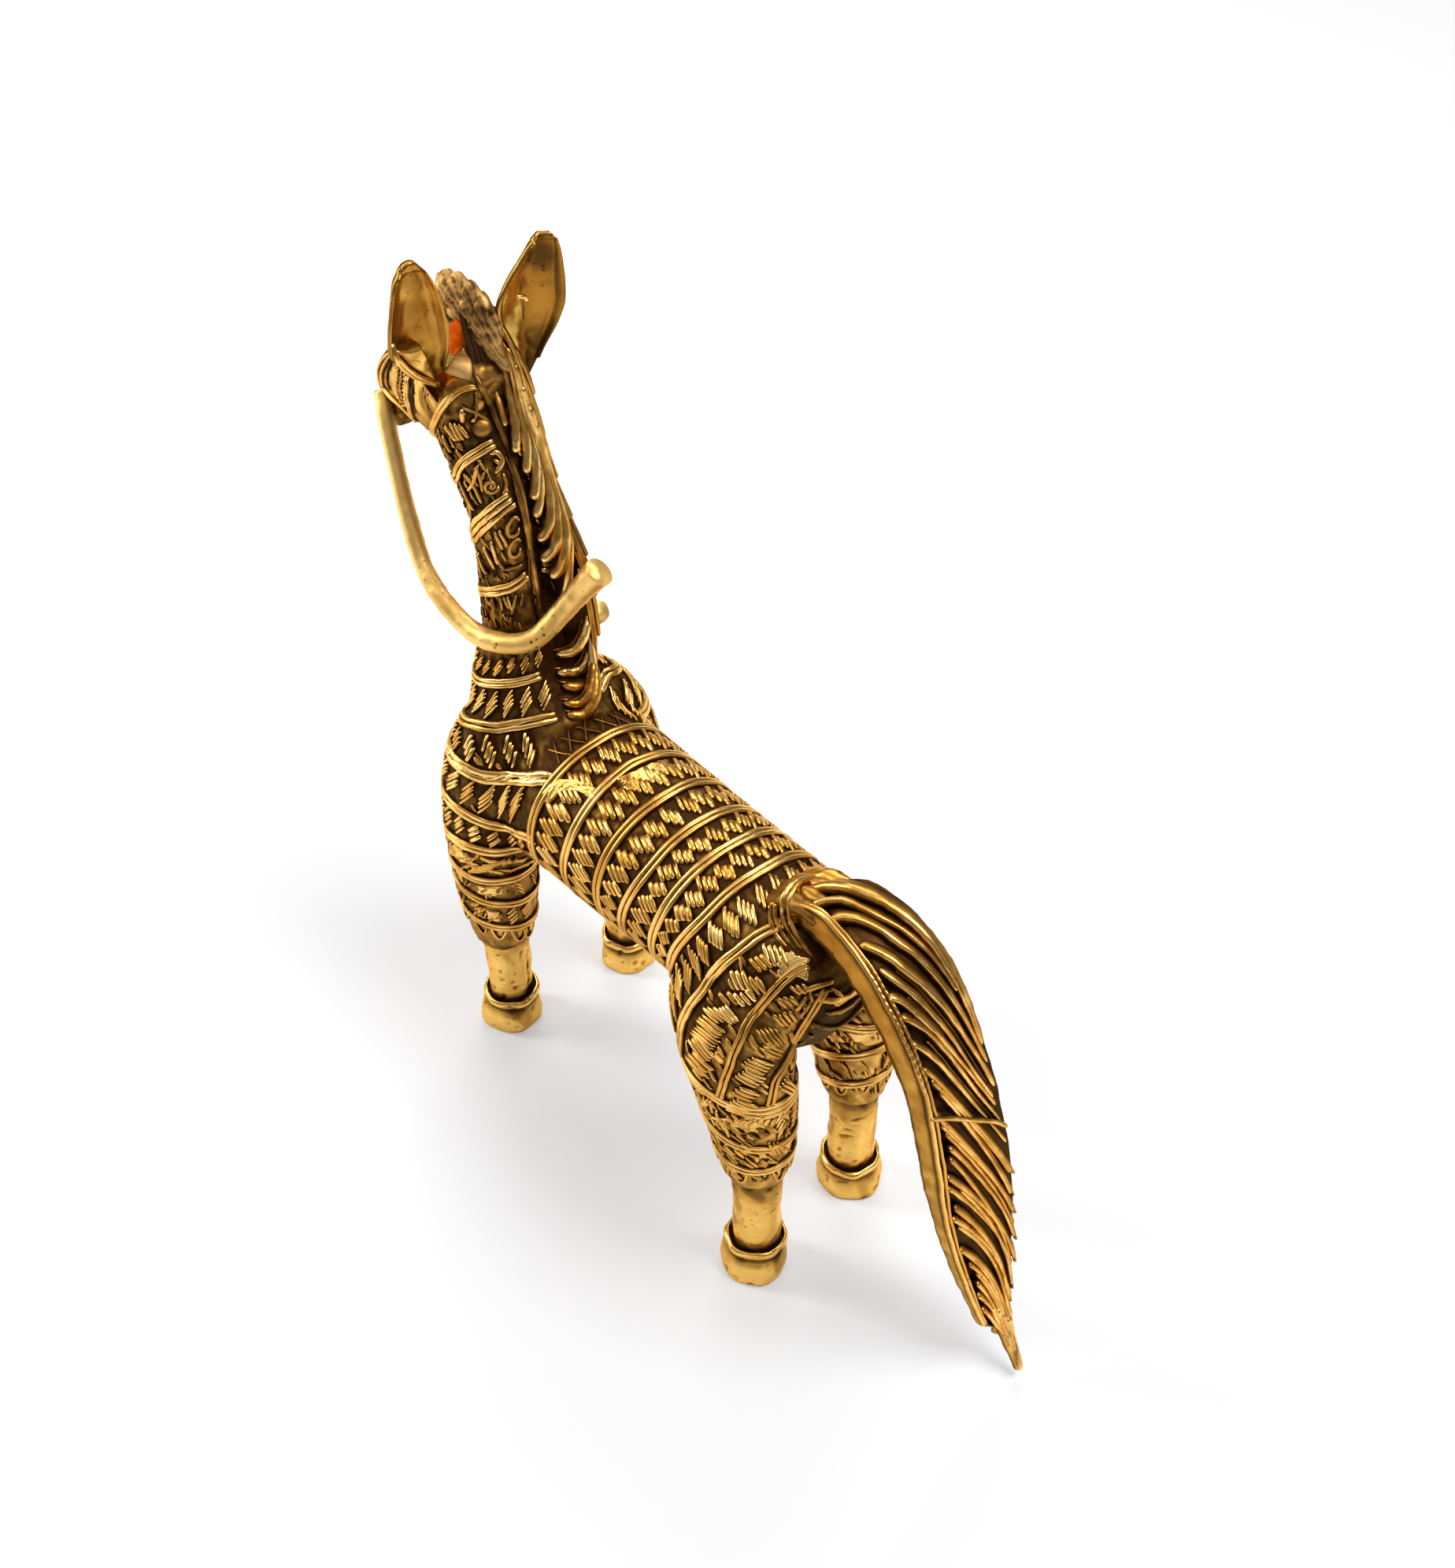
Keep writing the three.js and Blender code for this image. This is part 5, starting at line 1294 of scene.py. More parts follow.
for k, (w_, rub_, pts) in enumerate((
    (0.95, 0.85, [(-57.0, 7.4, 94.4), (-57.8, 4.0, 92.6), (-58.2, 0.6, 91.2), (-58.0, -3.6, 90.6)]),
    (0.55, 0.55, [(-57.6, 5.6, 89.6), (-58.2, 1.6, 87.4), (-58.2, -2.6, 86.8)]),
    (0.5, 0.35, [(-56.8, 8.2, 87.6), (-57.6, 3.6, 82.6), (-57.4, -1.0, 80.6)]),
    (0.6, 0.6, [(-56.4, 9.6, 96.0), (-55.6, 12.2, 92.2)]), (0.5, 0.6, [(-56.9, 8.6, 94.6), (-55.9, 11.2, 90.6)]),
    (0.5, 0.5, [(-55.3, 11.9, 90.4), (-54.6, 13.6, 86.4)]), (0.6, 0.6, [(-54.6, 12.9, 87.0), (-55.4, 12.4, 82.0)]),
    (0.7, 0.65, [(-57.4, 3.0, 97.2), (-56.9, 7.8, 97.8), (-55.4, 11.4, 97.2)]), (0.45, 0.45, [(-57.8, 3.2, 95.6), (-57.0, 8.2, 95.8)]),
)):
    for q_ in (pts, other_side(pts)):
        thread_on(leg_marks, q_, w_, 0.8, rub_, seed=2300 + k, tone=0.5)
c, n = lay(row((26.6, 14.9, 96.8))[None])
bead(leg_marks, c[0], n[0], 1.5, 1.1, m=16, k=6)
for sg in (1, -1):
    c, n = lay(row((-46.6, 25 * sg, 78.6))[None])
    bead(leg_marks, c[0], n[0], 1.7, 0.7, m=18, k=6, tone=0.5, wear_and_shade=0.8)
build("leg_marks", leg_marks, WIRE)

# ---------------------------------------------------------------- body under the threads
H = horse(bodyV)
away = np.array([tree.find(p)[2] for p in bodyV])
leg = soft(-bodyV[:, 2], -66, -52)
rear = soft(-H[:, 0], 44, 56) * soft(-bodyV[:, 2], -104, -92)
top = soft(bodyV[:, 2], 92, 104) * soft(-np.abs(H[:, 0] - 2), -56, -30)
face = np.maximum(soft(H[:, 0], 63, 69), soft(bodyV[:, 2], 176, 180)) * soft(bodyV[:, 2], 156, 168) * (1 - soft(-H[:, 1], -2.4, -1.2) * soft(-H[:, 0], -69, -65))
# painted shade mask: where the skin faces down
underside_shade = soft(-SKIN.vn[:, 2], 0.15, 0.75)
ground = 0.18 + 0.10 * mottle(bodyV, 9, 6) + 0.07 * mottle(bodyV, 3.2, 5)
ground = ground + 0.03 * top + 0.34 * leg * (1 - 0.5 * soft(mottle(bodyV, 6, 15), 0.4, 1.1)) + 0.34 * rear * soft(np.abs(H[:, 1]), 8, 12) + 0.58 * face * (1 - 0.45 * soft(mottle(bodyV, 8, 16), 0.3, 1.2))
neck = soft(bodyV[:, 2], 110, 122) * (1 - face)
ground = ground + neck * (0.24 + 0.16 * mottle(bodyV, 2.6, 17))
# close to the raised threads the ground is darkened, partly its patina in the crevices and partly painted shade; where
# the skin faces down it is darkened as painted shade, except on the legs
ground = ground - 0.40 * np.exp(-((away / 0.75) ** 2)) * (1 - 0.5 * face) - 0.25 * underside_shade * (1 - leg)
# painted shade: the ground is darkened in the cleft under the tail, between the haunches
cleft_shade = soft(-H[:, 0], 48, 54) * soft(-np.abs(H[:, 1]), -10, -6) * soft(-bodyV[:, 2], -97, -92)
ground = ground - 0.5 * cleft_shade
rump = soft(-H[:, 0], 36, 42) * soft(bodyV[:, 2], 58, 66) * soft(np.abs(H[:, 1]), 8, 12)
ground = ground + 0.16 * rump * (1 + 0.8 * mottle(bodyV, 4, 18))
# painted shade: the ground is darkened in the gutters along the top of the back and along the crest of the neck
gutter_shade = soft(-H[:, 0], -47.5, -46.5) * soft(-np.abs(H[:, 1] + 2.2), -6.2, -5.2) * soft(bodyV[:, 2], 103.5, 105)
gutter_shade = np.maximum(gutter_shade, soft(-np.abs(H[:, 1] + 1.2), -3.6, -2.8) * soft(bodyV[:, 2], 108, 112) * soft(-H[:, 0] + np.interp(bodyV[:, 2], [r[2] for r in NECK], [r[0] for r in NECK]), 2, 4) * soft(-bodyV[:, 2], -178, -172))
ground = ground - 0.6 * gutter_shade
lumps = bodyV + SKIN.vn * ((0.10 + 0.22 * neck) * mottle(bodyV, 2.4, 7) + (0.06 + 0.05 * neck) * mottle(bodyV, 1.5, 8))[:, None]
body = to_object("body_ground", lumps, bodyL, bodyS, ground, 0.25 + 0.2 * mottle(bodyV, 20, 9), GROUND)
finish_piece(body)

# ---------------------------------------------------------------- blades: tail and mane
LEAF = np.array([[-0.9, -0.5], [-1, 0.0], [-0.78, 0.34], [-0.36, 0.62], [0.1, 0.90], [0.5, 1.0], [0.84, 0.74], [1, 0.2], [0.9, -0.5]])
LEAF_WEAR = np.array([0, 0.05, 0.30, 0.5, 0.8, 1.0, 1.0, 0.4, 0])


class Blade:
    """A twisted leaf between two edges, t down it and v across from A (0) to B (1), seen from its outer side."""

    def __init__(self, A, B, toward):
        self.A, self.B, self.toward = A, B, unit(toward)

    def at(self, t, v, lift=0.0):
        t, v = np.broadcast_arrays(np.asarray(t, float), np.asarray(v, float))
        a, b = row(run(self.A, t)), row(run(self.B, t))
        e = 2e-3
        a2, b2 = row(run(self.A, np.clip(t + e, 0, 1))), row(run(self.B, np.clip(t + e, 0, 1)))
        a1, b1 = row(run(self.A, np.clip(t - e, 0, 1))), row(run(self.B, np.clip(t - e, 0, 1)))
        P = a + (b - a) * v[..., None]
        down = (a2 + (b2 - a2) * v[..., None]) - (a1 + (b1 - a1) * v[..., None])
        N = unit(np.cross(down, b - a))
        N = N * np.sign((N * self.toward).sum(-1, keepdims=True))
        return P + N * np.asarray(lift, float)[..., None] if np.ndim(lift) else P + N * lift, N


def finger(g, blade, path, w, h, lift=-0.35, n=26, head=1.0, foot=0.35, tone=0.35, rub=1.0, seed=0, smooth=True, section=ROUND, section_wear=ROUND_WEAR, grow=(0.0, 1.0)):
    """A strand on a blade along (t, v) points, rounded at its head and drawn out or rounded at its foot."""
    tv = np.asarray(path, float)
    if smooth and len(tv) > 2:
        tv = run(tv, np.linspace(0, 1, 60))
    P, N = blade.at(tv[:, 0], tv[:, 1])
    d = np.r_[0, np.cumsum(np.linalg.norm(np.diff(P, axis=0), axis=1))]
    L = d[-1]
    x = np.linspace(0, 1, n)
    ends = [0.0, 0.10, 0.3, 0.62]
    at = np.unique(np.clip(np.r_[np.array(ends) * w * 1.1, np.linspace(w * 1.1, L - w * 1.1, n), L - np.array(ends) * w * 1.1], 0, L))
    t, v = np.interp(at, d, tv[:, 0]), np.interp(at, d, tv[:, 1])
    P, N = blade.at(t, v, lift(at / L) if callable(lift) else lift)
    near = np.clip(at / (w * 1.1), 0, 1)
    far = np.clip((L - at) / (w * 1.1), 0, 1)
    shape = np.sqrt(1 - (1 - near) ** 2 * 0.97) * np.sqrt(1 - (1 - far) ** 2 * 0.97)
    along = at / L
    size = head + (foot - head) * soft(along, *grow)
    body_w = w * size * (1 + 0.09 * wave(at * 0.5, seed) + 0.05 * wave(at * 1.6, seed + 1))
    body_h = h * size * (1 + 0.10 * wave(at * 0.6, seed + 2))
    r = rub * (0.84 + 0.16 * wave(at * 0.4, seed + 3))
    threads(g, P, N, body_w * shape, body_h * (0.35 + 0.65 * shape), tone=tone + 0.16 * wave(at * 0.25, seed + 4), rub=r, ends="none", section=section, section_wear=section_wear)


BACKWARD_UP = -LOOK
tail_face = Blade(TAIL_RIM, TAIL_RIGHT, BACKWARD_UP)
tail_side = Blade(TAIL_LEFT, TAIL_RIM, row([0, 1.0, 0]) - row([0, 0, 0]) + np.array([0, 0.5, 0.2]))


def tail_blade(g):
    n = 150
    t = np.linspace(0, 1, n)
    A, B, C = run(TAIL_LEFT, t), run(TAIL_RIM, t), run(TAIL_RIGHT, t)
    jag = 0.012 * wave(np.arange(n) * 0.9, 4)
    gone = soft(t + jag, 0.885, 0.93)[:, None]  # the left side breaks off short of the tip
    A = A + (B - A) * 0
    B2 = B + (C - B) * 0.50 * gone
    A2 = A + (B2 + (A - B) * 0.75 - A) * gone
    thick = A2 - B2
    Ci = C + thick * 0.5
    # points of the section: left strip, gutter, outer face, right edge, inner face
    sec, wr, tn = [], [], []
    for x in np.linspace(0, 1, 7)[:-1]:  # left strip, a little hollow
        sec.append(A2 + (B2 - A2) * x)
        wr.append(0.68 + 0.14 * math.sin(3.1 * x) - (0.35 if x > 0.8 else 0) - (0.25 if x < 0.1 else 0))
        tn.append(0.6)
    for v, sink in ((0.0, 0.1), (0.035, 0.0), (0.075, 0.7), (0.14, 1.9), (0.24, 1.6), (0.4, 1.3), (0.56, 1.2), (0.72, 1.15), (0.86, 1.0), (0.96, 0.75), (1.0, 0.5)):
        P = B2 + (C - B2) * v
        _, N = tail_face.at(t, np.full(n, v))
        Nh = horse(N) - horse(np.zeros(3))
        sec.append(P - Nh * sink)
        wr.append(0.5 if v < 0.05 else 0.02 if v < 0.3 else 0.05)
        tn.append(0.3)
    for x in (0.35, 0.7):
        sec.append(C + (Ci - C) * x)
        wr.append(0.55)
        tn.append(0.3)
    for x in np.linspace(0, 1, 7)[:-1]:
        P = Ci + (A2 - Ci) * x
        sec.append(P)
        wr.append(0.42)
        tn.append(0.4)
    m = len(sec)
    V = row(np.stack(sec, 1))
    rough = 0.14 * mottle(V, 7, 41) + 0.05 * mottle(V, 2.2, 42)
    mid = V.mean(1, keepdims=True)
    V = V + unit(V - mid) * rough[..., None]
    i, j = np.arange(n - 1)[:, None], np.arange(m)[None]
    j2 = (j + 1) % m
    quads = np.stack([i * m + j, i * m + j2, (i + 1) * m + j2, (i + 1) * m + j], -1).reshape(-1, 4)
    W = np.array(wr)[None] * np.ones((n, 1)) + 0.08 * mottle(V, 5, 43)
    # under the arch by the root the strip is painted amber and darker, as shade in the hollow; further down yellow
    T = np.array(tn)[None] * (1.6 - 1.2 * soft(t, 0.25, 0.6))[:, None]
    W[:, :6] -= (0.16 * (1 - soft(t, 0.22, 0.42)))[:, None]
    a, b = V[0], V[-1]
    nrm = np.cross(V[0, 1] - V[0, 0], V[1, 0] - V[0, 0])
    outward = V[0, 0] - mid[0, 0]
    if (nrm * outward).sum() > 0:
        quads = quads[:, ::-1]
    g.add(V.reshape(-1, 3), np.clip(W, 0, 1).ravel(), np.clip(T, 0, 1).ravel(), quads=quads, caps=[np.arange(m), ((n - 1) * m + np.arange(m))[::-1]])


tail_core = Gather()
tail_blade(tail_core)
build("tail_blade", tail_core, AMBER)

tail = Gather()
THICK = [
    ([(0.0, 0.42), (0.012, 0.62), (0.05, 0.74), (0.10, 0.74), (0.15, 0.80), (0.20, 0.88), (0.28, 0.93), (0.36, 0.94), (0.44, 0.95)], 2.35, 1.7),
    ([(0.068, 0.10), (0.078, 0.26), (0.105, 0.43), (0.147, 0.53), (0.182, 0.62), (0.216, 0.71), (0.28, 0.82), (0.348, 0.88)], 1.45, 1.35),
    ([(0.124, 0.08), (0.136, 0.23), (0.163, 0.40), (0.196, 0.50), (0.235, 0.58), (0.266, 0.66), (0.309, 0.73), (0.352, 0.79), (0.412, 0.87), (0.47, 0.94)], 1.6, 1.5),
    ([(0.190, 0.12), (0.205, 0.23), (0.237, 0.36), (0.269, 0.44), (0.308, 0.55), (0.355, 0.65), (0.402, 0.74), (0.458, 0.86), (0.515, 0.95)], 1.6, 1.45),
    ([(0.240, 0.16), (0.278, 0.28), (0.313, 0.39), (0.353, 0.48), (0.402, 0.60), (0.459, 0.72), (0.53, 0.90)], 1.25, 1.2),
    ([(0.280, 0.07), (0.302, 0.20), (0.332, 0.30), (0.368, 0.40), (0.418, 0.54), (0.471, 0.70), (0.545, 0.91)], 1.25, 1.25),
    ([(0.318, 0.10), (0.351, 0.27), (0.386, 0.39), (0.439, 0.54), (0.498, 0.70), (0.575, 0.93)], 1.15, 1.15),
    ([(0.362, 0.08), (0.396, 0.24), (0.429, 0.36), (0.484, 0.54), (0.544, 0.73), (0.612, 0.96)], 1.1, 1.15),
]
for k, (path, w, h) in enumerate(THICK):
    finger(tail, tail_face, path, w * 0.9, h * 1.1, seed=500 + 7 * k, tone=0.45 if k < 4 else 0.35, foot=0.5, n=40, section=LEAF, section_wear=LEAF_WEAR)
fill = np.random.default_rng(8)
# fine threads between the thick ones
for k in range(3, len(THICK) - 1):
    a, b = np.array(THICK[k][0]), np.array(THICK[k + 1][0])
    A, B = run(a, np.linspace(0.30, 0.98, 12)), run(b, np.linspace(0.18, 0.95, 12))
    for j, f in enumerate((0.5,)):
        finger(tail, tail_face, A + (B - A) * f + fill.normal(0, 0.002, (12, 2)), 0.42, 0.7, lift=-1.0, seed=560 + 5 * k + j, rub=0.45, n=30, foot=0.6)
starts = [0.405, 0.432, 0.458, 0.478, 0.500, 0.520, 0.541, 0.560, 0.582, 0.604, 0.625, 0.645, 0.664, 0.684, 0.703, 0.722, 0.742, 0.762, 0.785, 0.806, 0.828, 0.852]
for k, t0 in enumerate(starts):
    t0 += fill.normal(0, 0.003)
    D = np.interp(t0, [0.36, 0.5, 0.7, 0.8, 0.86], [0.25, 0.235, 0.20, 0.165, 0.14]) * fill.uniform(0.95, 1.08)
    v0 = 0.10 + 0.10 * fill.random() * (k % 3 > 0) + (0.06 if t0 > 0.78 else 0)
    if k % 4 == 2:
        v0 += 0.10
    x = np.linspace(0, 1, 7)
    vv = v0 + (1.0 + 0.03 * fill.normal() - v0) * x ** 0.93
    path = np.stack([t0 + D * x, vv], -1)
    path[:, 0] = np.minimum(path[:, 0], 0.992)
    finger(tail, tail_face, path, fill.uniform(0.76, 0.98), 1.3, lift=-0.45, section=LEAF, section_wear=LEAF_WEAR, seed=620 + 3 * k, rub=fill.uniform(0.82, 1.0), tone=0.3 + 0.2 * fill.random(), foot=0.8, n=24)
    if k % 2 == 0:
        path2 = path + [0.010, 0.05]
        path2[:, 0] = np.minimum(path2[:, 0], 0.99)
        finger(tail, tail_face, path2, 0.45, 0.85, lift=-0.55, seed=690 + 3 * k, rub=0.6, foot=0.8, n=20)
for k, v in enumerate((0.52, 0.66, 0.80, 0.93)):  # the bundle that makes the tip
    finger(tail, tail_face, [(0.86 + 0.012 * k, v - 0.1), (0.92, v - 0.02), (0.965, v * 0.9 + 0.05), (0.997, 0.45 + 0.12 * k)], 0.85, 1.15, lift=-0.35, seed=740 + k, foot=0.9, n=18)
finger(tail, tail_face, [(0.478, -0.02), (0.500, 0.25), (0.532, 0.55), (0.560, 0.80), (0.585, 0.97)], 0.62, 0.9, lift=0.55, seed=760, rub=0.9, foot=0.9, n=30)
# the notched double thread on the rim
x = np.linspace(0.02, 0.885, 260)
for j, (v, wd) in enumerate(((0.0, 0.62), (0.062, 0.5))):
    P, N = tail_face.at(x, np.full(260, v) + 0.006 * wave(x * 60, 770 + j), 0.05)
    notch = 0.5 + 0.5 * np.sin(x * 170 * np.pi + j)
    cut = 1 - 0.26 * notch ** 2 * soft(x, 0.20, 0.28) * soft(-x, -0.47, -0.38)
    threads(tail, P, N, wd * (1 + 0.1 * wave(x * 45, 772 + j)), 1.0 * cut, tone=0.45, rub=(0.92 if j == 0 else 0.75) * (0.6 + 0.4 * cut), section=ROUND, section_wear=ROUND_WEAR)
build("tail_strands", tail, WIRE)

# wires round the root of the tail
collar = Gather()
for k, (r0, wr, pts) in enumerate((
    (0.62, 0.75, [(-40.6, -4.5, 109.6), (-41.2, -1.0, 111.4), (-41.9, 2.4, 112.1), (-42.7, 4.9, 111.0), (-43.9, 6.0, 107.6), (-46.0, 6.2, 105.4), (-48.7, 6.2, 104.0), (-51.6, 5.9, 102.2), (-54.2, 4.9, 99.8)]),
    (0.5, 0.55, [(-41.8, -4.8, 110.4), (-42.4, -0.8, 112.2), (-43.4, 2.6, 112.6), (-44.6, 4.8, 110.6), (-46.0, 5.6, 107.9), (-48.4, 5.9, 105.9), (-51.0, 5.7, 103.9), (-53.6, 5.1, 101.4)]),
    (0.6, 0.6, [(-41.0, 6.2, 109.2), (-42.2, 7.6, 106.4), (-44.6, 8.2, 104.4), (-47.6, 8.2, 103.2), (-50.4, 7.9, 101.7), (-53.0, 6.8, 99.5)]),
    (0.45, 0.35, [(-42.2, 6.6, 110.0), (-43.6, 7.4, 107.4), (-46.2, 7.6, 105.0), (-49.2, 7.4, 103.6), (-52.2, 6.6, 101.2)]),
)):
    P = evenly(row(pts), 60)
    rods(collar, P, r0 * (1 + 0.10 * wave(np.arange(60) * 0.3, 780 + k)), tone=0.35, wear_and_shade=wr + 0.25 * wave(np.arange(60) * 0.24, 790 + k), m=10, bump=0.05, seed=785 + k)
for k in range(4):  # the root itself
    P = evenly(row([(-38.5, 3.0 - 3.2 * k, 105.6), (-42.0, 3.2 - 3.2 * k, 109.0), (-48, 3.0 - 3.6 * k, 111.0), (-54, 3.0 - 3.8 * k, 110.6)]), 22)
    rods(collar, P, np.linspace(2.7, 1.6, 22), tone=0.45, wear_and_shade=0.30 + 0.1 * k, m=14, bump=0.12, seed=795 + k)
build("tail_collar", collar, WIRE)

# ---------------------------------------------------------------- mane
mane_face = Blade(MANE_RIM, MANE_RIGHT, BACKWARD_UP)


def mane_blade(g):
    n = 120
    t = np.linspace(0, 1, n)
    B, C = run(MANE_RIM, t), run(MANE_RIGHT, t)
    into = np.array([4.6, 0, -2.0])  # towards the neck
    A = B + into * 0.9
    Ci = C + into + np.array([0, 1.0, 0])
    sec, wr = [], []
    for x in np.linspace(0, 1, 5)[:-1]:
        sec.append(A + (B - A) * x)
        wr.append(0.12)
    for v, sink in ((0.0, 0.0), (0.06, 0.3), (0.10, 1.5), (0.2, 2.6), (0.34, 2.5), (0.5, 1.8), (0.66, 1.3), (0.82, 1.1), (0.94, 0.9), (1.04, 0.7)):
        P = B + (C - B) * v
        _, N = mane_face.at(t, np.full(n, v))
        Nh = horse(N) - horse(np.zeros(3))
        sec.append(P - Nh * sink)
        wr.append(0.0)
    for x in (0.4, 0.8):
        sec.append(C + (Ci - C) * x)
        wr.append(0.35)
    for x in np.linspace(0, 1, 5)[:-1]:
        sec.append(Ci + (A - Ci) * x)
        wr.append(0.15)
    m = len(sec)
    V = row(np.stack(sec, 1))
    mid = V.mean(1, keepdims=True)
    V = V + unit(V - mid) * (0.10 * mottle(V, 3, 51))[..., None]
    i, j = np.arange(n - 1)[:, None], np.arange(m)[None]
    j2 = (j + 1) % m
    quads = np.stack([i * m + j, i * m + j2, (i + 1) * m + j2, (i + 1) * m + j], -1).reshape(-1, 4)
    nrm = np.cross(V[0, 1] - V[0, 0], V[1, 0] - V[0, 0])
    if (nrm * (V[0, 0] - mid[0, 0])).sum() > 0:
        quads = quads[:, ::-1]
    g.add(V.reshape(-1, 3), np.clip(np.tile(wr, n) + 0.02 * mottle(V, 4, 52).ravel(), 0, 1), 0.3, quads=quads, caps=[np.arange(m), ((n - 1) * m + np.arange(m))[::-1]])


mane = Gather()
mane_blade(mane)
LOCKS = [
    ([(0.023, 0.72), (0.097, 0.54), (0.175, 0.4), (0.239, 0.34), (0.294, 0.26)], 0.85),
    ([(0.042, 0.85), (0.126, 0.75), (0.208, 0.65), (0.294, 0.52), (0.364, 0.21)], 1.15),
    ([(0.076, 0.93), (0.171, 0.83), (0.279, 0.69), (0.357, 0.56), (0.42, 0.26)], 1.0),
    ([(0.112, 0.98), (0.222, 0.87), (0.325, 0.76), (0.417, 0.57), (0.484, 0.24)], 1.1),
    ([(0.16, 0.96), (0.289, 0.84), (0.38, 0.72), (0.474, 0.5), (0.526, 0.21)], 1.0),
    ([(0.227, 0.94), (0.331, 0.88), (0.423, 0.8), (0.519, 0.66), (0.566, 0.43), (0.58, 0.17)], 1.15),
    ([(0.285, 0.95), (0.372, 0.93), (0.464, 0.86), (0.558, 0.74), (0.611, 0.54), (0.63, 0.19)], 1.35),
    ([(0.327, 0.99), (0.41, 0.98), (0.506, 0.93), (0.606, 0.82), (0.66, 0.62), (0.682, 0.36)], 1.3),
    ([(0.377, 1.05), (0.451, 1.01), (0.538, 0.99), (0.625, 0.89), (0.709, 0.67), (0.754, 0.49)], 0.95),
]
DROP_WEAR = np.array([0, 0.5, 0.9, 1, 1, 1, 0.9, 0.5, 0])
for k, (path, w) in enumerate(LOCKS):
    finger(mane, mane_face, path, w, w * 1.25, lift=lambda x: 0.2 + 1.15 * soft(x, 0.30, 0.85), seed=800 + 7 * k, head=0.62, foot=1.14, tone=0.2, rub=0.95, n=38, grow=(0.40, 0.90), section_wear=DROP_WEAR)


def loose(g, pts, w, h, n=40, toward=None, lift=0.0, **kw):
    """A strand through given points, its back to the eye that looks from above and behind."""
    P = evenly(row(pts), n) + unit(BACKWARD_UP) * lift
    threads(g, P, np.broadcast_to(unit(BACKWARD_UP if toward is None else toward), P.shape), w, h, **kw)


HOOKS = [  # at the foot of the mane the drops hook forward over the withers
    [(45.4, -10.8, 123.0), (44.1, -9.1, 120.5), (43.2, -7.1, 118.0), (43.6, -4.7, 115.7), (45.4, -1.1, 115.3)],
    [(45.7, -11.2, 116.5), (43.9, -9.3, 113.5), (42.9, -7.3, 110.9), (43.3, -4.8, 109.6), (43.6, 0.0, 111.6)],
    [(45.0, -10.9, 111.4), (43.3, -8.9, 108.3), (42.5, -6.9, 105.9), (40.6, -3.2, 107.5), (41.8, 0.1, 109.0)],
    [(40.6, -8.1, 112.1), (38.7, -6.3, 109.0), (37.6, -4.0, 106.2), (38.3, -1.7, 104.9), (39.4, 1.6, 106.0)],
    [(39.9, -8.0, 110.7), (37.6, -6.3, 107.4), (36.2, -3.8, 104.2), (36.7, -1.4, 102.5), (37.7, 1.9, 103.9)],
]
x = np.linspace(0, 1, 40)
for k, pts in enumerate(HOOKS):
    swell = np.interp(x, [0, 0.08, 0.4, 0.75, 0.93, 1], [0.5, 0.8, 0.95, 1.05, 0.85, 0.25]) * (1 + 0.08 * wave(x * 9, 860 + k))
    loose(mane, pts, (1.35, 1.30, 1.25, 1.15, 1.5)[k] * swell, 1.8 * swell, lift=0.8, tone=(0.2, 0.3, 0.6, 0.7, 0.9)[k], rub=(0.98, 0.98, 0.72, 0.68, 0.76)[k] * (0.92 + 0.08 * wave(x * 6, 870 + k)), section=ROUND, section_wear=DROP_WEAR, ends="none")
    loose(mane, np.array(pts) + [0.9, 0.6, 0.9], 0.40 * swell, 1.1 * swell, tone=0.3, rub=0.5, section=ROUND, section_wear=ROUND_WEAR, ends="none")
loose(mane, [(46.4, -11.2, 118.5), (42.6, -9.0, 112.2), (39.4, -7.0, 107.6), (37.2, -4.2, 103.6)], np.interp(x, [0, 0.2, 0.7, 1], [0.5, 1.0, 1.3, 0.55]), 2.0, lift=1.0, tone=0.15, rub=1.0, section=ROUND, section_wear=DROP_WEAR, ends="none")
mr = np.random.default_rng(9)
for k in range(5):  # long threads from the poll
    v = 0.62 + 0.10 * k
    t1 = 0.12 + 0.05 * k + 0.03 * mr.random()
    finger(mane, mane_face, [(0.0, v + 0.05 * mr.normal()), (t1 * 0.5, v + 0.02), (t1, v - 0.08)], 0.52, 0.9, lift=-0.2, seed=900 + 3 * k, head=0.9, foot=0.8, rub=0.55 + 0.35 * mr.random(), n=26)
for k in range(8):  # rope of threads down the right edge
    a0, b0 = 0.02 + 0.09 * k, min(0.27 + 0.10 * k, 0.99)
    finger(mane, mane_face, [(a0, 0.98), ((a0 + b0) / 2, 1.06 + 0.02 * mr.normal()), (b0, 1.15)], 0.66, 0.95, lift=-0.5, seed=940 + 3 * k, head=0.9, foot=0.7, rub=0.7, n=22)
    finger(mane, mane_face, [(a0 + 0.04, 0.90), ((a0 + b0) / 2 + 0.03, 1.0), (b0, 1.09)], 0.42, 0.85, lift=-0.35, seed=980 + 3 * k, head=0.9, foot=0.7, rub=0.8, n=22)
# the thin rim that stands along the crest
x = np.linspace(0.03, 1.0, 240)
for j, (v, wd, rb) in enumerate(((0.0, 0.72, 0.55), (-0.09, 0.42, 0.4))):
    P, N = mane_face.at(x, np.full(240, v) + 0.008 * wave(x * 50, 990 + j), 0.8)
    threads(mane, P, N, wd * (1 + 0.15 * wave(x * 40, 992 + j)), 1.15, tone=0.5, rub=rb * (0.7 + 0.3 * wave(x * 22, 995 + j)), section=ROUND, section_wear=ROUND_WEAR)
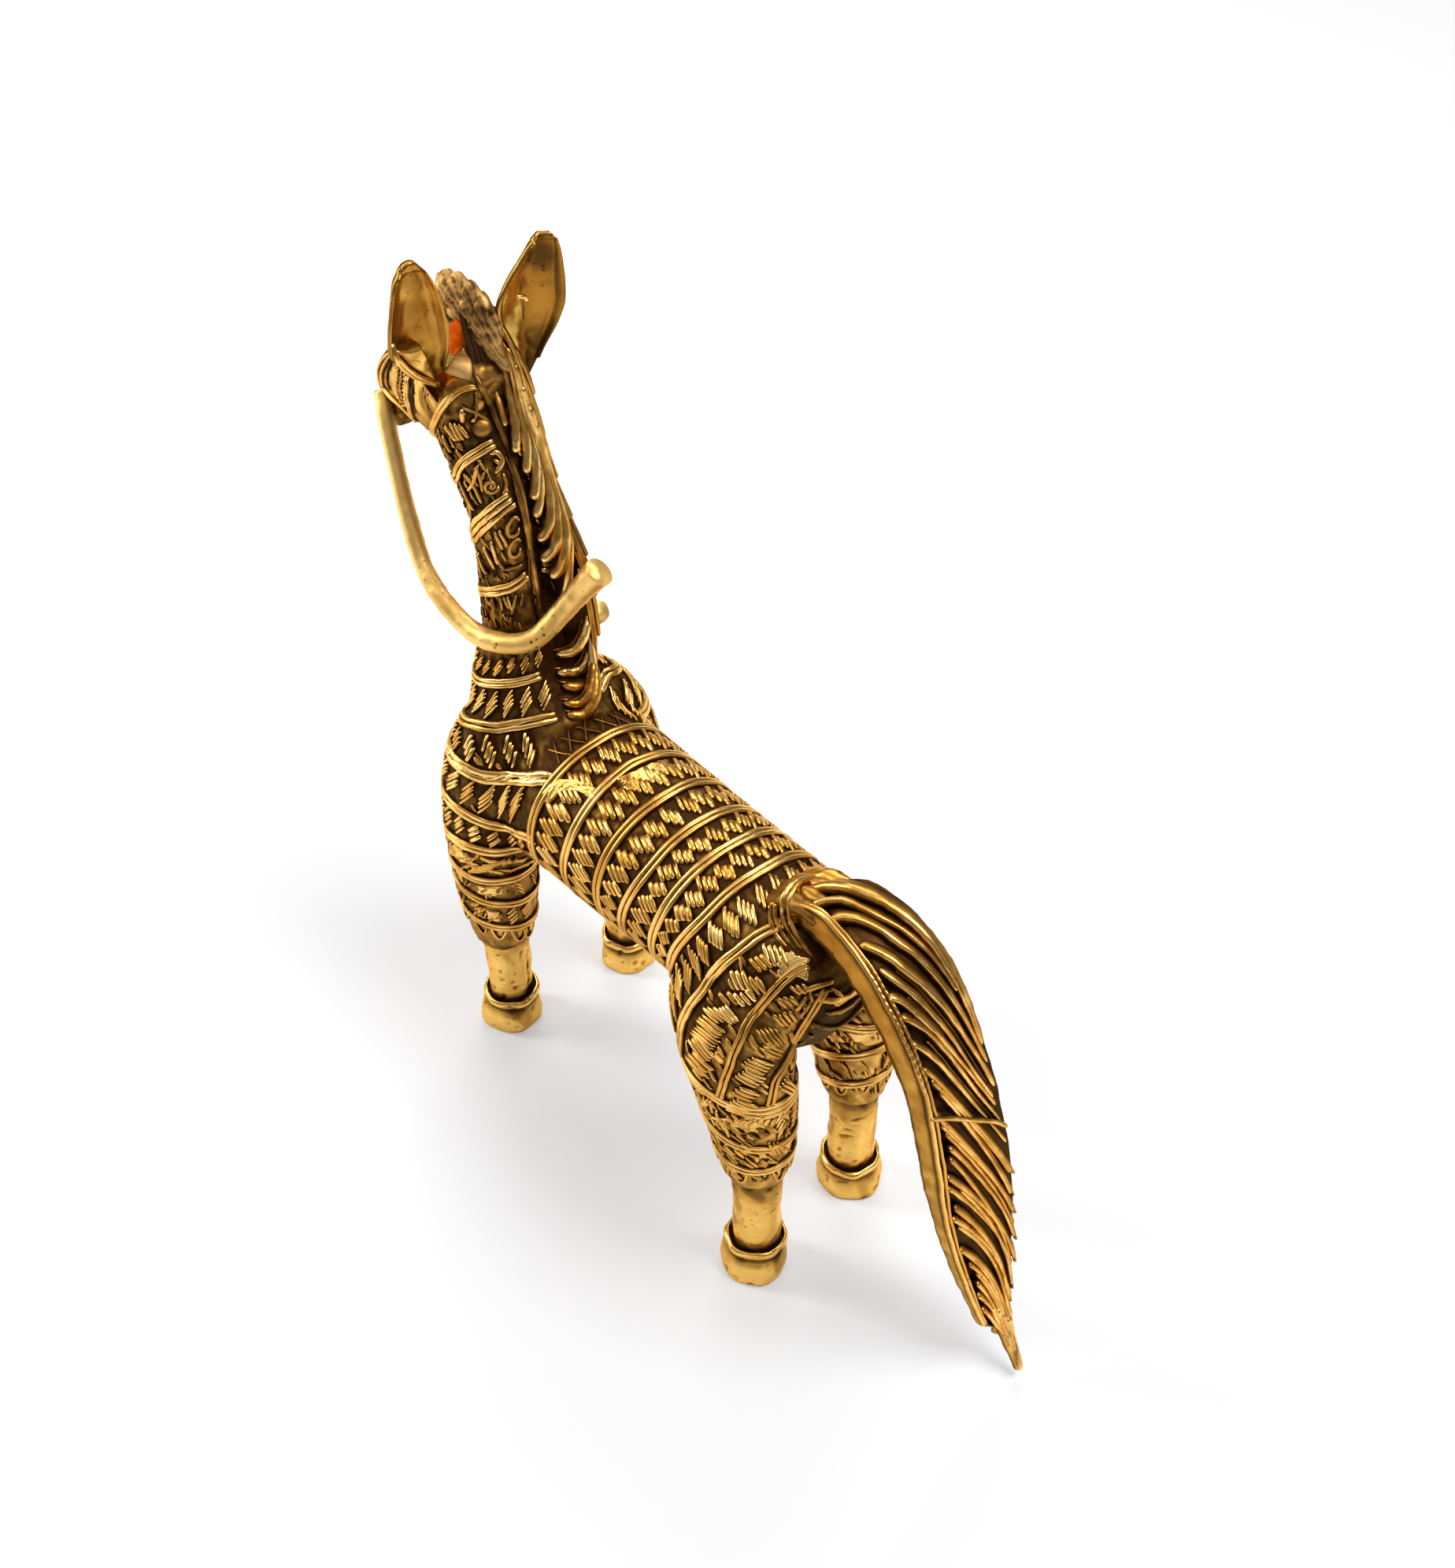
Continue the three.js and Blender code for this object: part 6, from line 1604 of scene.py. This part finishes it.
# the dark ridge that starts in a point between the ears and runs down left of the gutter
P = evenly(row([(71.1, 0.6, 185.2), (67.1, 2.1, 184.9), (63.9, 2.7, 183.5), (61.1, 2.7, 181.2), (61.1, 1.1, 176.5), (59.0, 0.9, 172.9), (57.3, 0.4, 168.4), (54.4, 0.7, 161.8), (50.8, 1.1, 152.4), (49.3, 1.0, 143.7), (48.3, 0.8, 135.3), (47.6, 0.6, 124)]), 150)
x = np.linspace(0, 1, 150)
rods(mane, P, np.interp(x, [0, 0.10, 0.5, 1], [0.2, 0.70, 0.62, 0.5]) * (1 + 0.1 * wave(x * 40, 2201)), tone=0.6, wear_and_shade=np.clip(0.30 + 0.22 * wave(x * 24, 2202), 0, 1), m=10, bump=0.08, seed=2203)
# forelock over the brow: one tuft with shallow grooves
nf, nu = 73, 26
f_, u_ = np.linspace(0, 1, nf), np.linspace(0, 1, nu)
tips = run([[79.4, -0.2, 199.0], [75.6, -1.0, 201.4], [71.2, -1.6, 201.6], [67.4, -2.6, 200.2], [64.4, -3.6, 197.6], [62.2, -4.6, 193.6]], f_)
tips[:, 2] -= 0.9 * np.abs(np.sin(f_ * 17.0 + 0.4)) ** 2 * np.where(np.sin(f_ * 34) > -0.2, 1, 0.3)
base = run([[74.6, 1.0, 184.0], [72.0, 0.2, 183.4], [69.0, -1.0, 182.6], [65.6, -2.4, 181.6], [62.4, -3.6, 180.4], [59.4, -4.6, 178.0]], f_)
base = base + (tips - base) * 0.30
G_ = base[:, None] + (tips - base)[:, None] * u_[None, :, None] + np.array([0.5, 0.6, 0.0]) * (np.sin(np.pi * u_) * 1.2)[None, :, None]
G_ = row(G_)
nrm = unit(np.cross(np.gradient(G_, axis=0), np.gradient(G_, axis=1)))
nrm = nrm * np.sign((nrm * BACKWARD_UP).sum(-1, keepdims=True))
lane = (f_[:, None] * 0.95 + u_[None] * 0.85) * 6.4 + 0.22 * np.sin(u_[None] * 5 + f_[:, None] * 7)
groove = np.abs(np.sin(np.pi * lane)) ** 0.7
body_t = 2.3 * np.sqrt(np.clip(1 - (2 * f_ - 1) ** 6, 0.02, 1))[:, None] * (0.20 + 0.80 * np.sqrt(1 - u_ ** 6 * 0.97))[None]
front = G_ + nrm * (body_t * (0.72 + 0.28 * groove) + 0.16 * mottle(G_, 3, 2210) + 0.08 * mottle(G_, 1.3, 2211))[..., None]
rear_ = G_ - nrm * (body_t * 0.8)[..., None]
Vf = np.concatenate([front, rear_[::-1]], 0).transpose(1, 0, 2)
wf = np.concatenate([0.02 + 0.38 * groove + 0.16 * mottle(G_, 4, 2212) - 0.3 * soft(mottle(G_, 2.0, 2213), 0.7, 1.3), np.full((nf, nu), 0.25)], 0).T
mm_ = 2 * nf
i, j = np.arange(nu - 1)[:, None], np.arange(mm_)[None]
qd = np.stack([i * mm_ + j, i * mm_ + (j + 1) % mm_, (i + 1) * mm_ + (j + 1) % mm_, (i + 1) * mm_ + j], -1).reshape(-1, 4)
cp = [np.arange(mm_)[::-1], (nu - 1) * mm_ + np.arange(mm_)]
if (np.cross(Vf[3, 21] - Vf[3, 20], Vf[4, 20] - Vf[3, 20]) @ nrm[20, 3]) < 0:
    qd, cp = qd[:, ::-1], [c_[::-1] for c_ in cp]
build("mane", mane, WIRE)
tuft = Gather()
tuft.add(Vf.reshape(-1, 3), np.clip(wf + 0.22, 0, 1).ravel(), 0.3, quads=qd, caps=cp)
x = np.linspace(0, 1, 30)
loose(tuft, [(66.6, 2.7, 188.3), (66.9, 3.0, 185.8), (65.3, 4.6, 184.7), (65.0, 5.8, 182.8)], np.interp(x, [0, 0.3, 0.8, 1], [0.25, 1.5, 2.9, 3.3]), np.interp(x, [0, 0.8, 1], [0.9, 1.0, 0.4]), n=30, tone=0.35, rub=0.72 + 0.14 * wave(x * 5, 2290), ends="none")
build("forelock", tuft, DULL)

# ---------------------------------------------------------------- poll between the ears, with the red paint
poll = Gather()
n_, m_ = 34, 40
t_ = np.linspace(0, 1, n_)
mid_ = run([[66.5, -1.0, 174], [68.4, -0.6, 180], [69.8, -0.4, 186], [70.6, -0.6, 190], [71.4, -0.8, 193.5]], t_)
rad_ = np.interp(t_, [0, 0.3, 0.6, 0.85, 1], [5.6, 4.6, 3.5, 3.1, 1.6])
a_ = np.arange(m_) / m_ * 2 * np.pi
V = row(mid_)[:, None] + np.stack([rad_[:, None] * np.cos(a_), rad_[:, None] * np.sin(a_), 0 * rad_[:, None] * a_], -1)
V = V + unit(V - row(mid_)[:, None]) * (0.26 * mottle(V, 3.4, 61) + 0.12 * mottle(V, 1.7, 62))[..., None]
i, j = np.arange(n_ - 1)[:, None], np.arange(m_)[None]
q_ = np.stack([i * m_ + j, i * m_ + (j + 1) % m_, (i + 1) * m_ + (j + 1) % m_, (i + 1) * m_ + j], -1).reshape(-1, 4)
poll.add(V.reshape(-1, 3), np.clip((0.42 + 0.3 * mottle(V, 4, 63)) * soft(horse(V)[..., 1], 1.4, 2.8), 0, 1).ravel(), 0.4, quads=q_, caps=[np.arange(m_)[::-1], (n_ - 1) * m_ + np.arange(m_)])
flatV = V.reshape(-1, 3)
POLL = Surface(flatV, np.vstack([q_[:, [0, 1, 2]], q_[:, [0, 2, 3]]]))
for k in range(7):  # strands run up the side of it into the mane
    b_ = np.array([64.6 - 0.7 * k, 1.6 - 1.0 * k, 180.5 - 0.9 * k])
    P = evenly(row([b_, b_ + [1.2, -0.1, 5.5], b_ + [3.4, -0.4, 10.5], b_ + [5.2, -0.8, 14.0 - 0.5 * k]]), 24)
    rods(poll, P, np.interp(np.linspace(0, 1, 24), [0, 0.5, 1], [0.75, 0.9, 0.6]), tone=0.5, wear_and_shade=0.04 + 0.16 * wave(np.arange(24) * 0.4, 640 + k), m=10, bump=0.08, seed=650 + k)
build("poll", poll, DULL)
paint = Gather()
S = Strip(row([(73.2, 3.8, 185.0), (72.8, 3.7, 187.2), (72.2, 3.2, 189.8), (71.8, 2.2, 192.6)]), row([(68.1, 2.7, 184.4), (67.0, 1.7, 186.2), (66.2, 0.2, 188.4), (66.8, -1.2, 192.4)]), n=60)
plate(paint, S, 0, S.L, 0, 1, h=0.45, rub=0.9, tone=0.3, seed=88, ragged=1.0, n=34, skin=POLL)
build("red_paint", paint, ENAMEL)

# ---------------------------------------------------------------- ears
def ear(g, rows, ahead, toe, crease=None, seed=0):
    nt, nq = 56, 33
    rows = np.array([[z, l, w, ahead - 0.25 * i] for i, (z, l, w) in enumerate(rows)], float)
    r = run(rows, np.linspace(0, 1, nt))
    q = np.linspace(-1, 1, nq)
    Z, Lc, Wd, Sx = r.T
    if crease is None:
        cup = 0.36 * (1 - np.abs(q) ** 2.2) - 0.12
        cup = np.tile(cup, (nt, 1))
    else:
        qc = np.interp(np.linspace(0, 1, nt), [0, 0.3, 1], crease)[:, None]
        side = np.where(q[None] < qc, (q[None] + 1) / (qc + 1), (1 - q[None]) / (1 - qc))
        cup = 0.50 * np.clip(side, 0, 1) ** 1.05 - 0.16
    edge = np.abs(q) ** 6
    wob = 1 + 0.018 * wave(np.linspace(0, 9, nt), seed)
    L = Lc[:, None] + Wd[:, None] * wob[:, None] * q[None]
    S = Sx[:, None] + cup * Wd[:, None] + toe * (L - Lc[:, None]) * -1
    Zz = np.tile(Z[:, None], (1, nq))
    top = np.linspace(0, 1, nt)[:, None]
    inner = row(np.stack([S, L, Zz], -1))
    dent = 0.22 * mottle(inner, 8, seed + 3) + 0.07 * mottle(inner, 2.6, seed + 4)
    back = np.array([0, 1.0, 0])  # towards the tail
    roll = 0.75 * np.exp(-(((1 - np.abs(q)) / 0.10) ** 2))[None] + 0.30 * np.exp(-(((1 - np.abs(q) - 0.26) / 0.05) ** 2))[None] * (q < 0)[None] * soft(top, 0.25, 0.4)
    tip_roll = 0.7 * soft(top, 0.965, 1.0) + 0.45 * np.exp(-(((top - 0.93) / 0.02) ** 2))
    inner = inner + back * (dent * (1 - edge) + roll * (Wd[:, None] > 2.4) + tip_roll)[..., None]
    outer = inner - back * (1.5 - 0.5 * edge)[..., None] - back * (roll + tip_roll)[..., None] * 0.6
    V = np.stack([inner, outer], 0).reshape(-1, 3)
    w_in = 0.74 + 0.14 * mottle(inner, 9, seed + 5) + 0.16 * roll - 0.34 * np.exp(-(((1 - np.abs(q) - 0.16) / 0.045) ** 2))[None] - 0.12 * soft(-top, -0.25, 0)
    t_in = 0.85 + 0.25 * mottle(inner, 14, seed + 6) - 0.5 * roll
    if crease is not None:
        # painted light and shade: the facet left of the crease is painted darker and more amber, the facet right of it
        # paler, and a painted shade line runs down most of the crease
        t_in = t_in + np.where(q[None] < qc, 0.45, -0.75)
        w_in = w_in + np.where(q[None] < qc, -0.22, 0.16)
        w_in = w_in - 0.5 * np.exp(-(((q[None] - qc) / 0.035) ** 2)) * (top < 0.8)
    W = np.r_[w_in.ravel(), (0.5 + 0.1 * mottle(outer, 6, seed + 7)).ravel()]
    T = np.r_[t_in.ravel(), np.full(nt * nq, 0.5)]
    n1 = nt * nq
    i, j = np.arange(nt - 1)[:, None], np.arange(nq - 1)[None]
    f = np.stack([i * nq + j, i * nq + j + 1, (i + 1) * nq + j + 1, (i + 1) * nq + j], -1).reshape(-1, 4)
    loop = np.r_[np.arange(nq), np.arange(1, nt) * nq + nq - 1, (nt - 1) * nq + np.arange(nq - 2, -1, -1), np.arange(nt - 2, 0, -1) * nq]
    l2 = np.roll(loop, -1)
    rim = np.stack([loop, loop + n1, l2 + n1, l2], -1)
    nrm = np.cross(inner[0, 1] - inner[0, 0], inner[1, 0] - inner[0, 0])
    if (nrm @ back) < 0:
        f1, f2, rim = f[:, ::-1], f + n1, rim[:, ::-1]
    else:
        f1, f2 = f, f[:, ::-1] + n1
    g.add(V, np.clip(W, 0, 1), np.clip(T, 0, 1), quads=np.vstack([f1, f2, rim]))
    return inner


ears = Gather()
EAR_RIGHT_OUTLINE = [
    [177, -10.4, 1.4], [180, -11.2, 2.2], [183, -11.2, 3.5], [185.6, -11.1, 4.8], [189, -11.5, 6.3], [193.4, -11.7, 7.7], [197.6, -11.9, 7.8],
    [201.4, -13.0, 6.5], [205.4, -14.6, 4.7], [208.4, -15.7, 3.0], [210, -16.1, 1.7],
]
left_in = ear(ears, EAR_LEFT, 69.5, 0.12, seed=1100)
right_in = ear(ears, EAR_RIGHT_OUTLINE, 64.6, -0.12, crease=[-0.05, -0.1, 0.15], seed=1200)
build("ears", ears, AMBER)
# a fold of the left ear turns up across its foot
fold = Gather()
lobe = np.array([(66.6, 19.6, 194.6), (67.4, 16.3, 193.2), (68.2, 12.4, 192.2), (68.4, 11.2, 188.4), (68.5, 9.4, 181.6), (68.0, 12.4, 184.6), (67.3, 16.4, 189.2)])
c = row(lobe.mean(0))
rim_pts = evenly(np.vstack([row(lobe), row(lobe[:1])]), 61, smooth=False)[:-1]
rings = []
for k in range(8):
    f = k / 7
    ring = c + (rim_pts - c) * (1 - f)
    ring = ring + np.array([0, 1.0, 0.15]) * (1.15 * math.sqrt(1 - (1 - min(1, f * 3.2)) ** 2) + 0.35)
    rings.append(ring)
V = np.array(rings).reshape(-1, 3)
m = 60
i, j = np.arange(7)[:, None], np.arange(m)[None]
j2 = (j + 1) % m
qd = np.stack([i * m + j, i * m + j2, (i + 1) * m + j2, (i + 1) * m + j], -1).reshape(-1, 4)
low = rim_pts - np.array([0, 1.6, 0])
V = np.vstack([V, low])
sd = np.stack([8 * m + np.arange(m), 8 * m + (np.arange(m) + 1) % m, (np.arange(m) + 1) % m, np.arange(m)], -1)
V = V + np.array([0, 1, 0]) * (0.12 * mottle(V, 3, 66))[:, None]
fold.add(V, 0.80 + 0.12 * mottle(V, 5, 67), 0.2, quads=np.vstack([qd, sd]), caps=[7 * m + np.arange(m), (8 * m + np.arange(m))[::-1]])
rods(fold, evenly(row([(67.4, 19.4, 195.2), (66.2, 19.0, 192.0), (66.4, 16.2, 187.6), (67.2, 12.6, 183.8), (67.9, 9.2, 181.0)]), 30), 0.8, tone=0.2, wear_and_shade=0.92, m=10, bump=0.08, seed=70)
rods(fold, evenly(row([(62.9, -8.9, 197.6), (62.8, -10.2, 197.3), (62.8, -11.4, 196.0)]), 12), 0.55, tone=0.05, wear_and_shade=1.0, m=8, bump=0.25, seed=71)
build("ear_fold", fold, SMOOTH)

# ---------------------------------------------------------------- reins
reins = Gather()
for k, table in enumerate((REIN_LEFT, REIN_RIGHT)):
    P = evenly(row(np.array(table)[:, :3]), 150)
    d = np.r_[0, np.cumsum(np.linalg.norm(np.diff(row(np.array(table)[:, :3]), axis=0), axis=1))]
    r = np.interp(np.linspace(0, d[-1], 150), d, np.array(table)[:, 3])
    if k:
        P, r = P[:-4], r[:-4]
    rods(reins, P, r, tone=0.35, wear_and_shade=0.82 + 0.12 * wave(np.arange(len(P)) * 0.1, 1300 + k), m=22, bump=0.035, seed=1310 + k, flat_end=True)
build("reins", reins, PALE)

# ---------------------------------------------------------------- stage, light
floor_me = bpy.data.meshes.new("floor")
floor_me.from_pydata([(-6, -6, 0), (6, -6, 0), (6, 6, 0), (-6, 6, 0)], [], [(0, 1, 2, 3)])
floor = bpy.data.objects.new("floor", floor_me)
SCENE.collection.objects.link(floor)
fm = bpy.data.materials.new("pale_floor")
fm.use_nodes = True
nt = fm.node_tree
nt.nodes.clear()
d = nt.nodes.new("ShaderNodeBsdfDiffuse")
paper = nt.nodes.new("ShaderNodeMix")
paper.data_type = "RGBA"
paper.inputs["A"].default_value, paper.inputs["B"].default_value = (0.80, 0.80, 0.81, 1), (0.43, 0.43, 0.438, 1)
e = nt.nodes.new("ShaderNodeEmission")
e.inputs["Color"].default_value = (1, 1, 1, 1)
lp = nt.nodes.new("ShaderNodeLightPath")
gl = nt.nodes.new("ShaderNodeMath")
gl.operation = "MULTIPLY_ADD"
gl.inputs[1].default_value, gl.inputs[2].default_value = 0.29, 0.06  # the sweep looks lit from behind; it glows less in the metal
nt.links.new(lp.outputs["Is Camera Ray"], gl.inputs[0])
nt.links.new(lp.outputs["Is Camera Ray"], paper.inputs["Factor"])
nt.links.new(paper.outputs["Result"], d.inputs["Color"])
nt.links.new(gl.outputs[0], e.inputs["Strength"])
ad = nt.nodes.new("ShaderNodeAddShader")
o = nt.nodes.new("ShaderNodeOutputMaterial")
nt.links.new(d.outputs[0], ad.inputs[0])
nt.links.new(e.outputs[0], ad.inputs[1])
nt.links.new(ad.outputs[0], o.inputs["Surface"])
floor_me.materials.append(fm)


def softbox(name, at, aim, size, power, color=(1, 1, 1)):
    d = bpy.data.lights.new(name, "AREA")
    d.shape = "RECTANGLE"
    d.size, d.size_y = size
    d.energy = power
    d.color = color
    o = bpy.data.objects.new(name, d)
    SCENE.collection.objects.link(o)
    o.location = at
    o.rotation_mode = "QUATERNION"
    o.rotation_quaternion = (Vector(aim) - Vector(at)).to_track_quat("-Z", "Y")
    return o


right = np.array([RIGHT[0], RIGHT[1], 0])
away = unit(np.array([LOOK[0], LOOK[1], 0]))
c0 = np.array([0.0, 0.0, 0.08])
softbox("key", c0 + right * 0.46 - away * 0.16 + np.array([0, 0, 0.88]), c0, (0.46, 0.46), 8.8)
softbox("left_strip", c0 - right * 0.80 + away * 0.20 + np.array([0, 0, 0.40]), c0, (0.22, 0.8), 6.2)
softbox("back_top", c0 + away * 0.75 + np.array([0, 0, 0.70]), c0, (0.7, 0.22), 4.9)

world = bpy.data.worlds.new("studio")
SCENE.world = world
world.use_nodes = True
wt = world.node_tree
wt.nodes.clear()
tc = wt.nodes.new("ShaderNodeTexCoord")
sep = wt.nodes.new("ShaderNodeSeparateXYZ")
wt.links.new(tc.outputs["Generated"], sep.inputs[0])
rampw = wt.nodes.new("ShaderNodeValToRGB")
cr = rampw.color_ramp
cr.elements[0].position, cr.elements[0].color = 0.0, (0.10, 0.09, 0.08, 1)
cr.elements[1].position, cr.elements[1].color = 0.95, (1, 1, 1, 1)
x = cr.elements.new(0.35)
x.color = (0.16, 0.155, 0.15, 1)
x = cr.elements.new(0.72)
x.color = (0.62, 0.61, 0.60, 1)
wt.links.new(sep.outputs["Z"], rampw.inputs["Fac"])
bg = wt.nodes.new("ShaderNodeBackground")
bg.inputs["Strength"].default_value = 0.88
wt.links.new(rampw.outputs["Color"], bg.inputs["Color"])
wo = wt.nodes.new("ShaderNodeOutputWorld")
wt.links.new(bg.outputs[0], wo.inputs["Surface"])
SCENE.view_settings.view_transform = "Standard"
